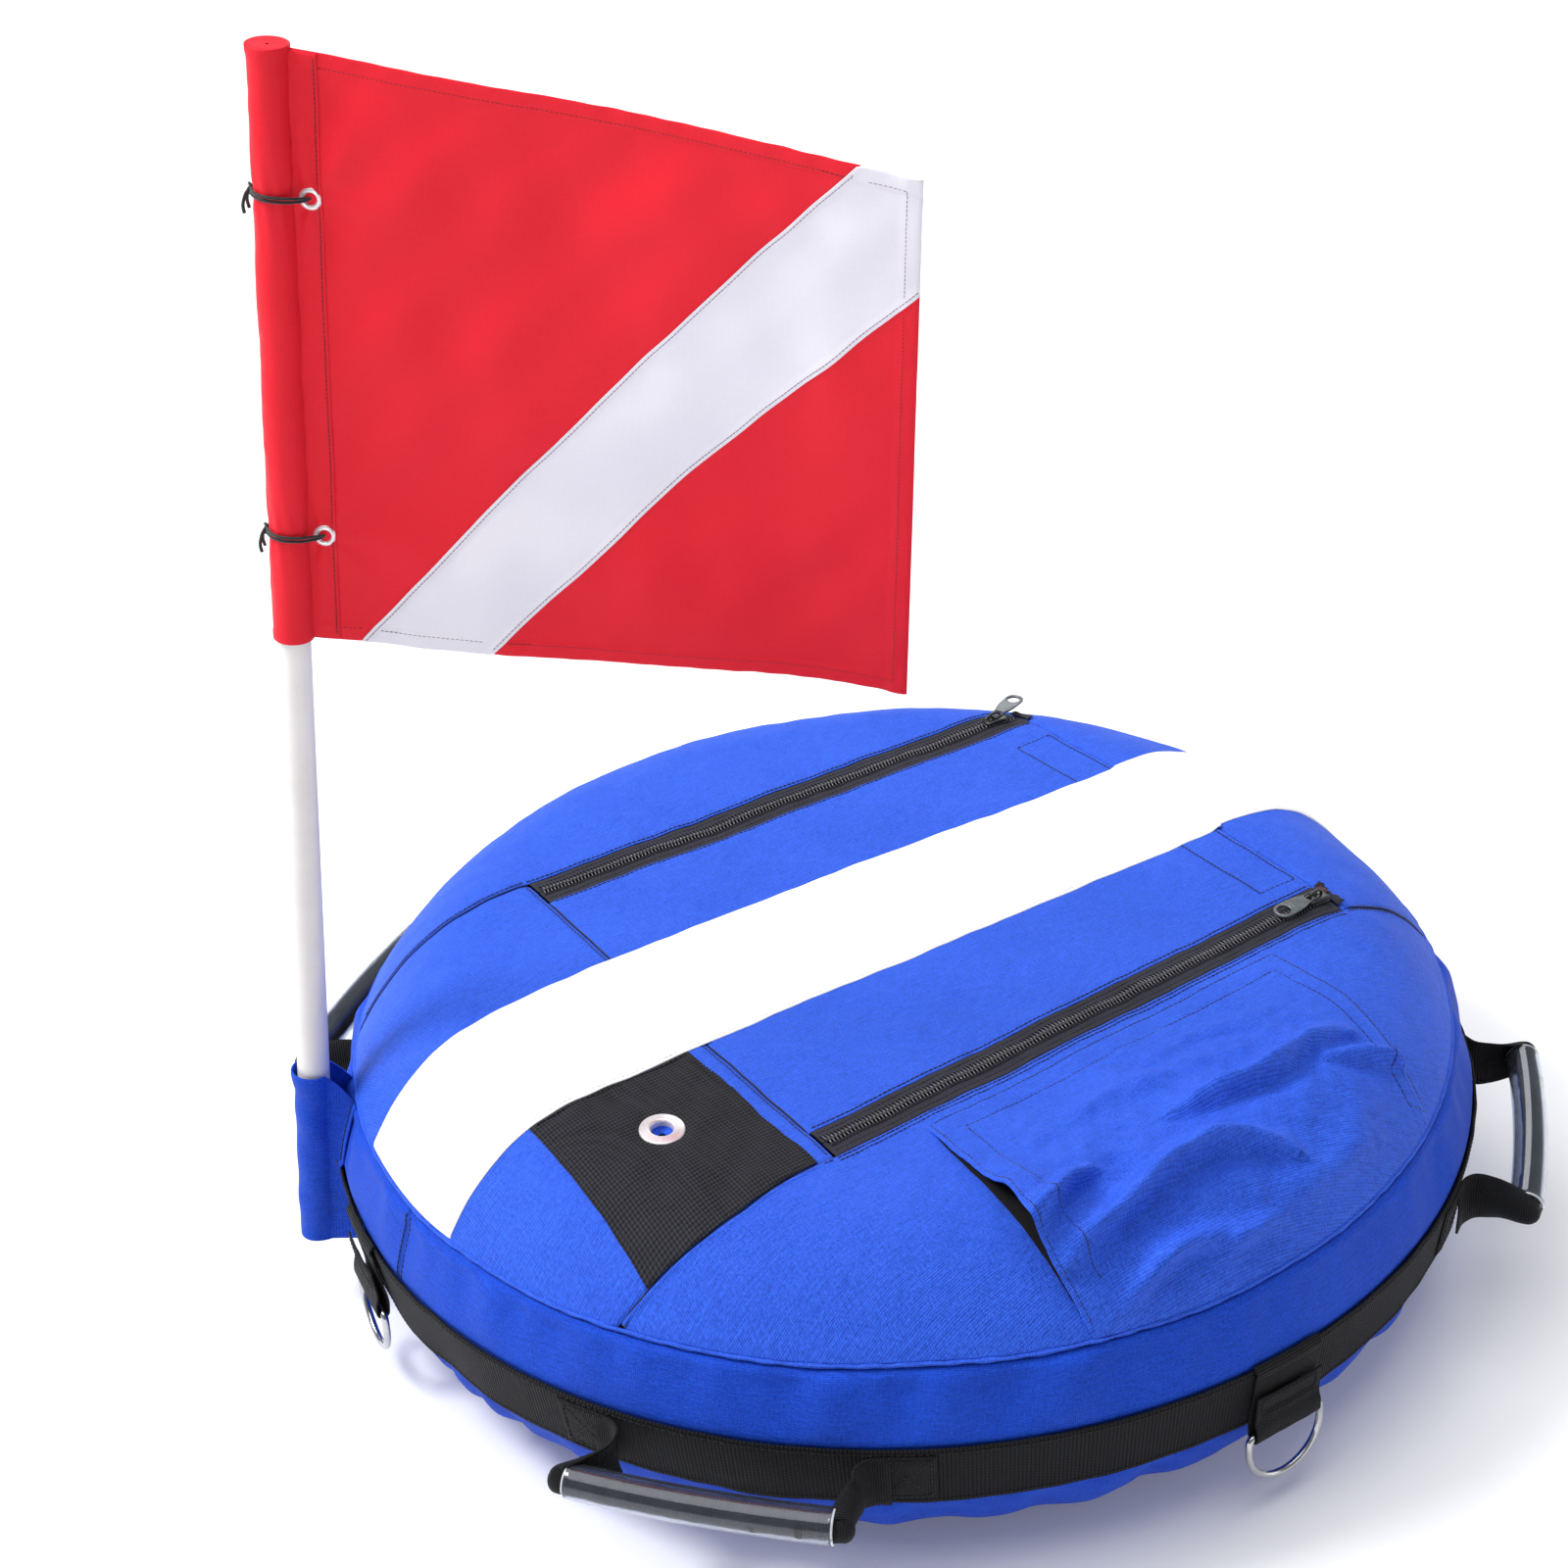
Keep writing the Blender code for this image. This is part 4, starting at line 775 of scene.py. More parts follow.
def lid_lift(U, V, a, b):
    dl = V_LEFT - 2 * TAPE + LID_IN_L - V
    dr = V - (v_right(U) + 2 * TAPE + LID_IN_R)
    z = roll(a, 0.0014, 0.0020) + 0.6 * roll(b, 0.0012, 0.0014) + roll(dl, 0.0008, 0.0011) + roll(dr, 0.0008, 0.0011)
    z = z + groove(dl, 0.0022) + groove(dr, 0.0022) + groove(a, 0.0030)
    z = z + pucker(U, np.minimum(dl, dr), 0.00012, 0.013, 0.010, 51) + 0.0002
    for at in (0.0035, 0.0335):
        inside = sstep(-0.122, -0.114, V) * (1 - sstep(0.150, 0.158, V))
        z = z + groove(b, at, 0.0006, 0.0012) * inside
    return z


patch("lid_cloth", "cover_blue", lid_cols(), 108, lid_lift, thick=0.0016, body="lid", stand=("lid_flap",))


# white stripe in three lengths
def strip(name, ua, ub, nrow, body, stand, end0, end1, dv=0.0, lift=0.0013, lap=0.0):
    """A length of the white stripe, from ua to ub at each v."""
    w = col_places(0, 0.120, 0.005) / 0.120
    t = rows_t(abs(float(ub(0.02) - ua(0.02))), nrow)
    W, T = np.meshgrid(w, t, indexing="ij")
    V = lerp(-0.04, 0.08, W)
    for _ in range(10):
        U = lerp(ua(V), ub(V), T)
        V = lerp(stripe_lo(U) + dv, stripe_hi(U) + dv, W)
    e = np.minimum(V - stripe_lo(U), stripe_hi(U) - V) if dv == 0 else np.minimum(V - dv - stripe_lo(U), stripe_hi(U) + dv - V)
    z = lift + roll(e, 0.0009, 0.0009) + groove(e, 0.0030, 0.0003, 0.0008) + pucker(U, e, 0.00018, 0.016, 0.012, 61)
    z = z + roll(np.abs(U - ua(V)), end0, 0.0010) + roll(np.abs(ub(V) - U), end1, 0.0010)
    z = z + lap * sstep(-0.0060, -0.0006, U - far(V))
    return sheetgrid(name, surf(U, V, z), "cover_white", np.stack([U, V], -1), 0.0009, up=UPZ, body=body, stand=stand)


strip("stripe_cloth_near", lambda v: FOLD - 0.0036 + 0 * v, lambda v: -np.sqrt((R_RIM - 0.0006) ** 2 - v * v), 56, "cover",
      ("stripe_near",), 0.0001, 0.0010)
strip("stripe_cloth_lid", lambda v: FOLD + 0.0040 + 0 * v, lambda v: far(v) + 0.0020, 110, "lid", ("stripe_lid",), 0.0001, 0.0002, lap=0.0013)
bridge = strip("stripe_cloth_fold", lambda v: FOLD - 0.0037 + 0 * v, lambda v: FOLD + 0.0041 + 0 * v, 10, None, (), 0.0, 0.0)
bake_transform(bridge)
strip("stripe_cloth_far", lambda v: far(v) + 0.0004, lambda v: np.sqrt((R_RIM - 0.0006) ** 2 - v * v), 32, "cover",
      ("stripe_far",), 0.0005, 0.0010, dv=0.003)

# ------------------------------------------------------------ ribbed panel
PITCH_V = 0.00314


def panel():
    us = np.r_[-0.3128, -0.3124, -0.3116, -0.3100, np.linspace(-0.3080, -0.1940, 56), -0.1920, -0.1906, -0.1898, -0.1894]
    n = int(0.155 / (PITCH_V / 7))
    U, W = np.meshgrid(us, np.linspace(0, 1, n), indexing="ij")
    lo_, hi_ = v_right(U) + 0.0006, stripe_lo(U) - 0.0003
    V = lerp(lo_, hi_, W)
    U = U + 0.00025 * waves(V, V * 0, 0.03, 71, 5) + 0.0012 * sstep(-0.21, -0.1895, U) * np.sin(V * 60)
    rib = np.abs(np.sin(PI * (V + 0.21) / PITCH_V)) ** 0.7
    e = np.minimum(np.minimum(V - lo_, hi_ - V), np.minimum(U - us[0], us[-1] - U))
    lap = 0.0009 * sstep(-0.0893, -0.0899, V)
    z = 0.0007 + 0.0009 * rib + lap - 0.0008 * np.exp(-(np.maximum(e, 0) / 0.0010) ** 2)
    g = np.hypot(U - GROMMET[0], V - GROMMET[1])
    z = z - 0.0015 * np.exp(-(g / 0.018) ** 6) + 0.0003 * waves(U, V, 0.03, 72) * sstep(0.015, 0.03, g)
    ob = sheetgrid("panel_webbing", surf(U, V, z), "rib_panel", np.stack([U, V], -1), 0.0012, up=UPZ, stand=("grommet_panel",))
    cut_hole(ob, GROMMET, 0.0085)
    # blue cloth under the panel, with a smaller hole, seen through the grommet
    c = surf(np.array([GROMMET[0]]), np.array([GROMMET[1]]))[0]
    N = normal_at(np.array([GROMMET[0]]), np.array([GROMMET[1]]))[0]
    X = np.cross((0, 1, 0), N)
    X /= np.linalg.norm(X)
    Y = np.cross(N, X)
    a = np.arange(48) * 2 * PI / 48
    r = np.array([0.0072, 0.0066, 0.0055, 0.0045, 0.0036, 0.0034])
    d = np.array([-0.0012, -0.0026, -0.0034, -0.0038, -0.0041, -0.0048])
    P = c + r[None, :, None] * (np.cos(a)[:, None, None] * X + np.sin(a)[:, None, None] * Y) + d[None, :, None] * N
    sheetgrid("grommet_cloth", P, "cover_blue", np.stack([r[None] * np.cos(a)[:, None], r[None] * np.sin(a)[:, None]], -1), None, ci=True, up=UPZ)


panel()


def grommet():
    prof = [(0.0073, -0.0040), (0.0073, 0.0018), (0.0075, 0.0026), (0.0081, 0.0034), (0.0090, 0.0038), (0.0102, 0.0037),
            (0.0118, 0.0033), (0.0134, 0.0030), (0.0143, 0.0028), (0.0149, 0.0024), (0.0150, 0.0016), (0.0147, 0.0008),
            (0.0082, 0.0008), (0.0080, -0.0035), (0.0073, -0.0040)]
    n = 72
    a = np.arange(n) * 2 * PI / n
    pr = np.array(prof)
    c = surf(np.array([GROMMET[0]]), np.array([GROMMET[1]]))[0]
    N = normal_at(np.array([GROMMET[0]]), np.array([GROMMET[1]]))[0]
    X = np.cross((0, 1, 0), N)
    X /= np.linalg.norm(X)
    Y = np.cross(N, X)
    P = c + pr[None, :, 0, None] * (np.cos(a)[:, None, None] * X + np.sin(a)[:, None, None] * Y) + pr[None, :, 1, None] * N
    sheetgrid("grommet_ring", P, "nickel", None, None, ci=True, stand=("rope_grommet",),
              up=lambda m: np.where((np.hypot(m[:, 0] - c[0], m[:, 1] - c[1]) > 0.009)[:, None] & (m[:, 2] > c[2] + 0.001)[:, None],
                                    [[0.0, 0.0, 1.0]], [[0.0, 0.0, 0.0]]))


grommet()

# ------------------------------------------------------------ side wall
WR = np.array([0.3808, 0.3838, 0.3868, 0.3905, 0.3935, 0.3960, 0.3966, 0.3958, 0.3920, 0.3882, 0.3842, 0.3770, 0.3620, 0.3400, 0.3200, 0.3020, 0.2960])
WZ = np.array([0.1695, 0.1660, 0.1580, 0.1470, 0.1370, 0.1260, 0.1200, 0.1140, 0.0900, 0.0700, 0.0600, 0.0450, 0.0290, 0.0130, 0.0040, 0.0002, 0.0002])


def wall_lift(A, Z, L):
    """How far the side cloth stands out from its plain shape."""
    top = sstep(0.120, 0.160, Z)
    g = around(A, 81, 38, 95, 16)
    g2 = around(A, 82, 14, 40, 12)
    up = (0.0015 * g * np.exp(-(0.171 - Z) / 0.024) + 0.0034 * g2 * np.exp(-(0.171 - Z) / 0.05)) * sstep(0.119, 0.135, Z)
    low = 0.0022 * around(A, 83, 16, 44, 12) * sstep(0.070, 0.055, Z) * sstep(0.004, 0.03, Z)
    low = low + 0.0012 * around(A, 84, 40, 90, 12) * sstep(0.070, 0.060, Z) * sstep(0.02, 0.05, Z)
    seam = -0.0012 * np.exp(-(L / 0.0016) ** 2) + 0.0009 * np.exp(-((L - 0.007) / 0.004) ** 2) \
        - 0.0004 * np.exp(-((L - 0.0032) / 0.0010) ** 2)
    up = np.maximum(up, -0.0030) * sstep(0.0005, 0.016, L)
    mid = -0.0012 * sstep(0.064, 0.074, Z) * sstep(0.123, 0.116, Z)
    vert = -0.0011 * np.exp(-(np.abs(((A - math.radians(179.2)) + PI) % (2 * PI) - PI) * 0.385 / 0.0016) ** 2)
    return up + low + seam + mid + vert * sstep(0.0, 0.01, Z)


def wall_meridian():
    pts = np.stack([WR, WZ], 1)
    d = np.r_[0, np.cumsum(np.linalg.norm(np.diff(pts, axis=0), axis=1))]
    fine = np.linspace(0, d[-1], 1200)
    q = np.stack([np.interp(fine, d, pts[:, k]) for k in (0, 1)], 1)
    k = np.exp(-0.5 * (np.arange(-40, 41) * (d[-1] / 1199) / 0.0030) ** 2)
    k /= k.sum()
    pad = np.vstack([2 * q[0] - q[40:0:-1], q, 2 * q[-1] - q[-2:-42:-1]])
    q = np.stack([np.convolve(pad[:, c], k, "valid") for c in (0, 1)], 1)
    return fine, q


WL, WQ = wall_meridian()
WT = np.gradient(WQ, axis=0)
WT /= np.linalg.norm(WT, axis=1, keepdims=True)
WN = np.stack([-WT[:, 1], WT[:, 0]], 1)          # outward for a run going down


def wall_point(A, L, off=0.0):
    """Point on the side cloth at azimuth A (radians) and length L below the rim."""
    A, L = np.broadcast_arrays(np.asarray(A, float), np.asarray(L, float))
    r, z = np.interp(L, WL, WQ[:, 0]), np.interp(L, WL, WQ[:, 1])
    nr, nz = np.interp(L, WL, WN[:, 0]), np.interp(L, WL, WN[:, 1])
    h = wall_lift(A, z, L) + off
    zz = z + rim_wave(A) * np.exp(-L / 0.03)
    return np.stack([(r + nr * h) * np.cos(A), (r + nr * h) * np.sin(A), zz + nz * h], -1)


def outward(m):
    o = m.copy()
    o[:, 2] = 0
    return o


def wall():
    A = np.linspace(0, 2 * PI, 840, endpoint=False) + math.radians(179.2)
    L = np.r_[0, 0.0008, 0.0016, 0.0026, 0.0036, 0.005, 0.007, np.linspace(0.010, WL[-1], 64)]
    AA, LL = np.meshgrid(A, L, indexing="ij")
    P = wall_point(AA, LL)
    P[..., 2] = np.maximum(P[..., 2], 0.0002)
    uv = np.stack([AA * 0.39, LL], -1)
    # the side cloth takes the darker blue copy of the cover's cloth: painted shade
    sheetgrid("cover_side", P, "cover_blue_painted_shade", uv, 0.0016, ci=True, up=outward, stand=("side_wall",))
    # folded edge that stands up along the rim seam
    A = np.linspace(0, 2 * PI, 900, endpoint=False)
    c = wall_point(A, 0 * A)
    out = np.stack([np.cos(A), np.sin(A), 0 * A], -1)
    P = c + out * 0.0006 + np.array([0, 0, 0.0022])
    P[:, 2] += 0.0002 * around(A, 88, 60, 160, 12)
    V, F = tube(P, 0.00150 + 0.0002 * around(A, 89, 50, 150, 10), up=(0, 0, 1), n=10, closed=True)
    uv = np.stack([np.repeat(A * 0.38, 10), np.tile(np.arange(10) * 0.0008, len(A))], -1)
    mesh("rim_piping", V, F, "cover_blue", uv, up=lambda m: m * [1, 1, 0])
    q = np.linspace(0, 2 * PI, 2600)
    n = np.stack([np.cos(q), np.sin(q), 0.2 + 0 * q], -1)
    stitches("side_seam_stitches", [(wall_point(math.radians(179.2) + s * 0.0028 / 0.385 + 0 * lv, lv, 0.0001),
                                     np.stack([np.cos(math.radians(179.2)) + 0 * lv, np.sin(math.radians(179.2)) + 0 * lv, 0.1 + 0 * lv], -1))
                                    for s in (-1, 1) for lv in (np.linspace(0.004, 0.052, 60),)])


wall()


def underside():
    r = np.linspace(0, 0.2965, 46)
    A = np.linspace(0, 2 * PI, 220, endpoint=False)
    AA, RR = np.meshgrid(A, r, indexing="ij")
    X, Y = RR * np.cos(AA), RR * np.sin(AA)
    Z = 0.0009 + 0.0006 * waves(X, Y, 0.07, 91) * sstep(0.296, 0.27, RR) + 0.0003 * sstep(0.296, 0.28, RR)
    Z = np.maximum(Z, 0.0003)
    sheetgrid("cover_underside", np.stack([X, Y, Z], -1), "cover_blue", np.stack([X, Y], -1), 0.0014, ci=True,
              up=(0, 0, -1), stand=("bottom_panel",))
    q = np.linspace(0, 2 * PI, 1500)
    ring = np.stack([0.2990 * np.cos(q), 0.2990 * np.sin(q), 0.0008 + 0 * q], -1)
    V, F = tube(ring[:-1], 0.0008, n=8, closed=True)
    mesh("base_piping", V, F, "cover_blue", np.stack([np.repeat(q[:-1] * 0.3, 8), np.tile(np.arange(8) * 0.0006, len(q) - 1)], -1))


underside()


# ------------------------------------------------------------ band
def band_r(z):
    return lerp(0.3907, 0.3995, (z - 0.070) / 0.050)


HANDLES = {"front_left": (-139.0, -0.013), "front_right": (-41.8, 0.0),
           "back_right": (42.0, 0.0), "back_left": (125.5, 0.0)}
RINGS = {"front": -86.8, "left": 170.0, "right": 0.0, "back": 84.0}


def band_lift(A, Z):
    w = 0.0005 * around(A, 95, 10, 40, 12) * (1 + 0.6 * np.cos(PI * (Z - 0.07) / 0.05))
    return w + 0.0003 * around(A, 96, 40, 90, 10) * np.exp(-np.minimum(Z - 0.07, 0.12 - Z) / 0.006)


def band_point(A, Z, off=0.0):
    A, Z = np.broadcast_arrays(np.asarray(A, float), np.asarray(Z, float))
    r = band_r(Z) + band_lift(A, Z) + off
    return np.stack([r * np.cos(A), r * np.sin(A), Z - 0.22 * off], -1)


def band():
    A = np.linspace(0, 2 * PI, 1080, endpoint=False)
    z = np.r_[0.0702, 0.0706, 0.0716, 0.0730, np.linspace(0.0760, 0.1140, 14), 0.1170, 0.1184, 0.1194, 0.1198]
    AA, ZZ = np.meshgrid(A, z, indexing="ij")
    e = np.minimum(ZZ - 0.0700, 0.1200 - ZZ)
    P = band_point(AA, ZZ, -0.0007 * np.exp(-(e / 0.0009) ** 2) - 0.0003 * np.exp(-((e - 0.0034) / 0.0009) ** 2))
    uv = np.stack([AA * 0.395, ZZ], -1)
    sheetgrid("band_webbing", P, "webbing", uv, 0.0016, ci=True, up=outward, stand=("perimeter_band",))
    q = np.linspace(0, 2 * PI, 2400)
    n = np.stack([np.cos(q), np.sin(q), 0 * q], -1)
    stitches("band_stitches", [(band_point(q, z0 + 0 * q, 0.0), n) for z0 in (0.0736, 0.1164)], "thread_black",
             length=0.0034, gap=0.0010, rad=0.0004)


band()


def sewn_end(tag, a0, a1, k):
    """Flat end of a handle's webbing on the band, with its box stitching."""
    a0, a1 = math.radians(a0), math.radians(a1)
    n = 24
    s = np.r_[0, 0.02, 0.05, np.linspace(0.1, 0.9, n), 0.95, 0.98, 1]
    t = np.r_[0, 0.015, 0.04, np.linspace(0.08, 0.92, 18), 0.96, 0.985, 1]
    S, T = np.meshgrid(s, t, indexing="ij")
    A, Z = lerp(a0, a1, S), lerp(0.0765, 0.1155, T)
    e = np.minimum(np.minimum(S, 1 - S) * abs(a1 - a0) * 0.395, np.minimum(T, 1 - T) * 0.039)
    off = 0.0019 - 0.0010 * np.exp(-(e / 0.0008) ** 2) - 0.0004 * np.exp(-((e - 0.0034) / 0.0010) ** 2) \
        + 0.0002 * waves(A * 0.395, Z, 0.012, 97 + k)
    P = band_point(A, Z, off)
    sheetgrid("handle_end_%s" % tag, P, "webbing_strap", np.stack([A * 0.395, Z], -1), 0.0016, up=outward)
    z0, z1 = 0.0799, 0.1121
    b0, b1 = lerp(a0, a1, 0.09), lerp(a0, a1, 0.91)
    out = []
    for p, q in (((b0, z0), (b1, z0)), ((b1, z0), (b1, z1)), ((b1, z1), (b0, z1)), ((b0, z1), (b0, z0)),
                 ((b0, z0), (b1, z1)), ((b0, z1), (b1, z0))):
        w = np.linspace(0, 1, 30)
        AA, ZZ = lerp(p[0], q[0], w), lerp(p[1], q[1], w)
        out.append((band_point(AA, ZZ, 0.0018), np.stack([np.cos(AA), np.sin(AA), 0 * AA], -1)))
    stitches("handle_end_stitches_%s" % tag, out, "thread_black", rad=0.0004)


k = 0
for tag, (az, sh) in HANDLES.items():
    for sg in (1, -1):
        k += 1
        sewn_end("%s_%d" % (tag, 1 if sg > 0 else 2), az + sg * 12.6, az + sg * 18.0, k)


# ------------------------------------------------------------ zips
COIL = 0.00277


def zip_frame(side, u, y, sgn):
    """(u, v) of a point y to one side of a zip's centre line."""
    return u, zip_v(side, u) + sgn * y


def zips():
    for side, tag in ((1, "left"), (-1, "right")):
        for part, sgn, body in (("lid", -side, "lid"), ("cover", side, "cover")):
            y = np.array([0.0004, 0.0010, 0.0030, 0.0055, 0.0062, 0.0067, 0.0072, 0.0078, 0.0086, 0.0110, 0.0130, 0.0145,
                          0.0150, 0.0156, 0.0164, 0.0176])
            h = np.array([-6, -6, -6, -6, -6, -3.5, -3, -4.5, -6, -6.5, -6.5, -7, -9, -16, -21, -21]) * 1e-4
            if part == "cover":
                h[-4:] = [-9e-4, -17e-4, -23e-4, -23e-4]
            u = np.linspace(FOLD + 0.0012, 1.0, 150)
            us = []
            for yy in y:
                v = zip_v(side, 0.24) + sgn * yy
                e = far(v) - (0.0006 if part == "lid" else 0.0016)
                us.append(np.linspace(FOLD + 0.0010, e, 150))
            U = np.array(us).T
            V = np.stack([zip_frame(side, U[:, k], y[k], sgn)[1] for k in range(len(y))], 1)
            P = surf(U, V, np.broadcast_to(h, U.shape) + 0.0001 * waves(U, V, 0.02, 101))
            ob = sheetgrid("zip_%s_%s_tape" % (tag, part), P, "zip_tape", np.stack([U, np.broadcast_to(y, U.shape)], -1),
                           0.0006, up=UPZ, body=body, stand=("zip_%s_%s_half" % (tag, part),))
            # the coil: one small loop per tooth, the two sides interleaved
            n = int((float(far(zip_v(side, 0.24))) - 0.0035 - (FOLD + 0.004)) / COIL)
            u0 = FOLD + 0.0035 + (0.5 * COIL if part == "cover" else 0.0)
            path = np.array([(0.0058, -0.0004), (0.0056, 0.0006), (0.0048, 0.0013), (0.0030, 0.0016), (0.0010, 0.0017),
                             (-0.0006, 0.0016), (-0.0013, 0.0010), (-0.0013, 0.0002)])
            rad = np.array([0.00050, 0.00058, 0.00064, 0.00066, 0.00066, 0.00070, 0.00078, 0.00060])
            uc = u0 + np.arange(n) * COIL
            uc = uc[uc < far(zip_v(side, 0.24)) - 0.0030]
            vc = zip_v(side, uc)
            C = surf(uc, vc)
            N = normal_at(uc, vc)
            T = np.stack([1 + 0 * uc, (0.073 if side < 0 else 0.0) + 0 * uc, 0 * uc], -1)
            T -= (T * N).sum(1, keepdims=True) * N
            T /= np.linalg.norm(T, axis=1, keepdims=True)
            B = np.cross(N, T) * sgn
            lean = np.linspace(-0.0005, 0.0005, len(path))
            pts = C[:, None] + path[None, :, 0:1] * B[:, None] + (path[None, :, 1:2] - 0.0002) * N[:, None] + lean[None, :, None] * T[:, None]
            a = np.arange(6) * PI / 3
            dp = np.gradient(path, axis=0)
            dp /= np.linalg.norm(dp, axis=1, keepdims=True)
            nn = dp[None, :, 0:1] * N[:, None] - dp[None, :, 1:2] * B[:, None]
            ring = pts[:, :, None] + rad[None, :, None, None] * (np.cos(a)[None, None, :, None] * T[:, None, None]
                                                                 + np.sin(a)[None, None, :, None] * nn[:, :, None])
            F0 = grid_faces(len(path), 6, False, True)
            F = (F0[None] + (np.arange(len(uc)) * len(path) * 6)[:, None, None]).reshape(-1, 4)
            mesh("zip_%s_%s_coil" % (tag, part), ring.reshape(-1, 3), F, "coil", body=body)
            # tape stitching beside the coil
            q = np.linspace(FOLD + 0.003, far(zip_v(side, 0.24)) - 0.004, 420)
            U2, V2 = zip_frame(side, q, 0.0108, sgn)
            stitches("zip_%s_%s_stitches" % (tag, part), [(surf(q, V2, -0.00062 + 0 * q), normal_at(q, V2))], "thread_black",
                     body=body, rad=0.00028)


zips()

# stitching on the cover's and lid's cloth
ends_l = rim_point(lambda u: V_LEFT, -1), rim_point(lambda u: V_LEFT, 1)
lines = []
for y0 in (0.0024,):
    lines.append(line_on([(FOLD, V_LEFT + y0), (0.243, V_LEFT + y0)]))
for y0 in (0.0030, 0.0064):
    lines.append(line_on([(FOLD, v_right(FOLD) - y0), (0.262, v_right(0.262) - y0)]))
lines.append(line_on([(-0.331, v_right(-0.331) - 0.0034), (FOLD - 0.003, v_right(FOLD) - 0.0034)], 0.0002))
lines.append(line_on([(0.266, v_right(0.266) - 0.0034), (0.342, v_right(0.342) - 0.0034)]))
lines.append(line_on([(-0.31, V_LEFT + 0.0034), (FOLD - 0.002, V_LEFT + 0.0034)]))
lines.append(line_on([(FOLD - 0.0036, v_right(FOLD) + 0.004), (FOLD - 0.0036, V_LEFT - 0.004)]))
stitches("cover_stitches", lines, length=0.0034, gap=0.0004, rad=0.00040)
# dark tubes in the blue thread's material, drawn down into the seams between the panels: painted seam shade
vv = np.linspace(-0.006, 0.006, 2)
seams = [[(FOLD, v) for v in np.linspace(v_right(FOLD) + 0.033, stripe_lo(FOLD), 30)], [(FOLD, v) for v in np.linspace(stripe_hi(FOLD), V_LEFT - 0.033, 30)],
         [(u, v_right(u)) for u in np.linspace(-0.3318, FOLD, 60)], [(u, v_right(u)) for u in np.linspace(0.270, 0.345, 30)],
         [(u, V_LEFT) for u in np.linspace(-0.318, FOLD, 60)], [(u, V_LEFT) for u in np.linspace(0.245, 0.318, 30)]]
for i_, line in enumerate(seams):
    P_, N_ = line_on(line, -0.0004)
    e_ = np.minimum(np.arange(len(P_)), np.arange(len(P_))[::-1])
    V_, F_ = tube(P_ - N_ * 0.0006 * np.exp(-e_ / 3.0)[:, None], 0.00055 * (1 - 0.85 * np.exp(-e_ / 3.0)), up=N_[len(N_) // 2], n=8)
    mesh("seam_painted_shade_%d" % i_, V_, F_, "thread_blue")
lid_lines = []
yl = V_LEFT - 2 * TAPE + LID_IN_L - 0.0026
lid_lines.append(line_on([(FOLD + 0.004, yl), (far(yl) - 0.004, yl)], 0.0001))
q = [(u, v_right(u) + 2 * TAPE + LID_IN_R + 0.0026) for u in np.linspace(FOLD + 0.004, far(-0.13) - 0.004, 40)]
lid_lines.append(line_on(q, 0.0001))
box_r, box_l = -0.116, 0.152
for ins in (0.0039, 0.0339):
    lid_lines.append(line_on([(far(box_r) - ins, box_r), (far(box_l) - ins, box_l)], 0.0001))
for v in (box_r, box_l):
    lid_lines.append(line_on([(far(v) - 0.0339, v), (far(v) - 0.0039, v)], 0.0001))
stitches("lid_stitches", lid_lines, body="lid", length=0.0034, gap=0.0004, rad=0.00042)
def along(u, f):
    return list(zip(u, f(u)))


un, ul, uf = np.linspace(-0.368, FOLD - 0.003, 60), np.linspace(FOLD + 0.003, 0.2500, 120), np.linspace(0.2600, 0.3660, 40)
stitches("stripe_stitches", [line_on(along(un, lambda u: stripe_lo(u) + 0.0032), 0.0011), line_on(along(un, lambda u: stripe_hi(u) - 0.0032), 0.0011),
                             line_on(along(uf, lambda u: stripe_lo(u) + 0.0062), 0.0011), line_on(along(uf, lambda u: stripe_hi(u) - 0.0002), 0.0011)],
         "thread_white", rad=0.0003)
stitches("stripe_lid_stitches", [line_on(along(ul, lambda u: stripe_lo(u) + 0.0032), 0.0011), line_on(along(ul, lambda u: stripe_hi(u) - 0.0032), 0.0011)],
         "thread_white", body="lid", rad=0.0003)
up_ = np.linspace(-0.3090, -0.1925, 50)
vp = np.linspace(-0.188, -0.046, 60)
stitches("panel_stitches", [line_on(along(up_, lambda u: v_right(u) + 0.0036), 0.0018), line_on(along(up_, lambda u: stripe_lo(u) - 0.0034), 0.0018),
                            line_on([(-0.3092, v) for v in vp], 0.0018), line_on([(-0.1930, v) for v in vp], 0.0018)], "thread_black", rad=0.00038)


# ------------------------------------------------------------ sliders and pulls
def loft_obj(name, rings, mat, **kw):
    """Closed rings of equal counts, capped with fans."""
    R = np.asarray(rings, float)
    n, k = R.shape[:2]
    V = np.vstack([R.reshape(-1, 3), R[0].mean(0), R[-1].mean(0)])
    F = [tuple(f) for f in grid_faces(n, k, False, True)]
    F += [(n * k, (j + 1) % k, j) for j in range(k)]
    F += [(n * k + 1, (n - 1) * k + j, (n - 1) * k + (j + 1) % k) for j in range(k)]
    c = V.mean(0)
    ob = mesh(name, V, F, mat, up=lambda m: m - c, **kw)
    return ob


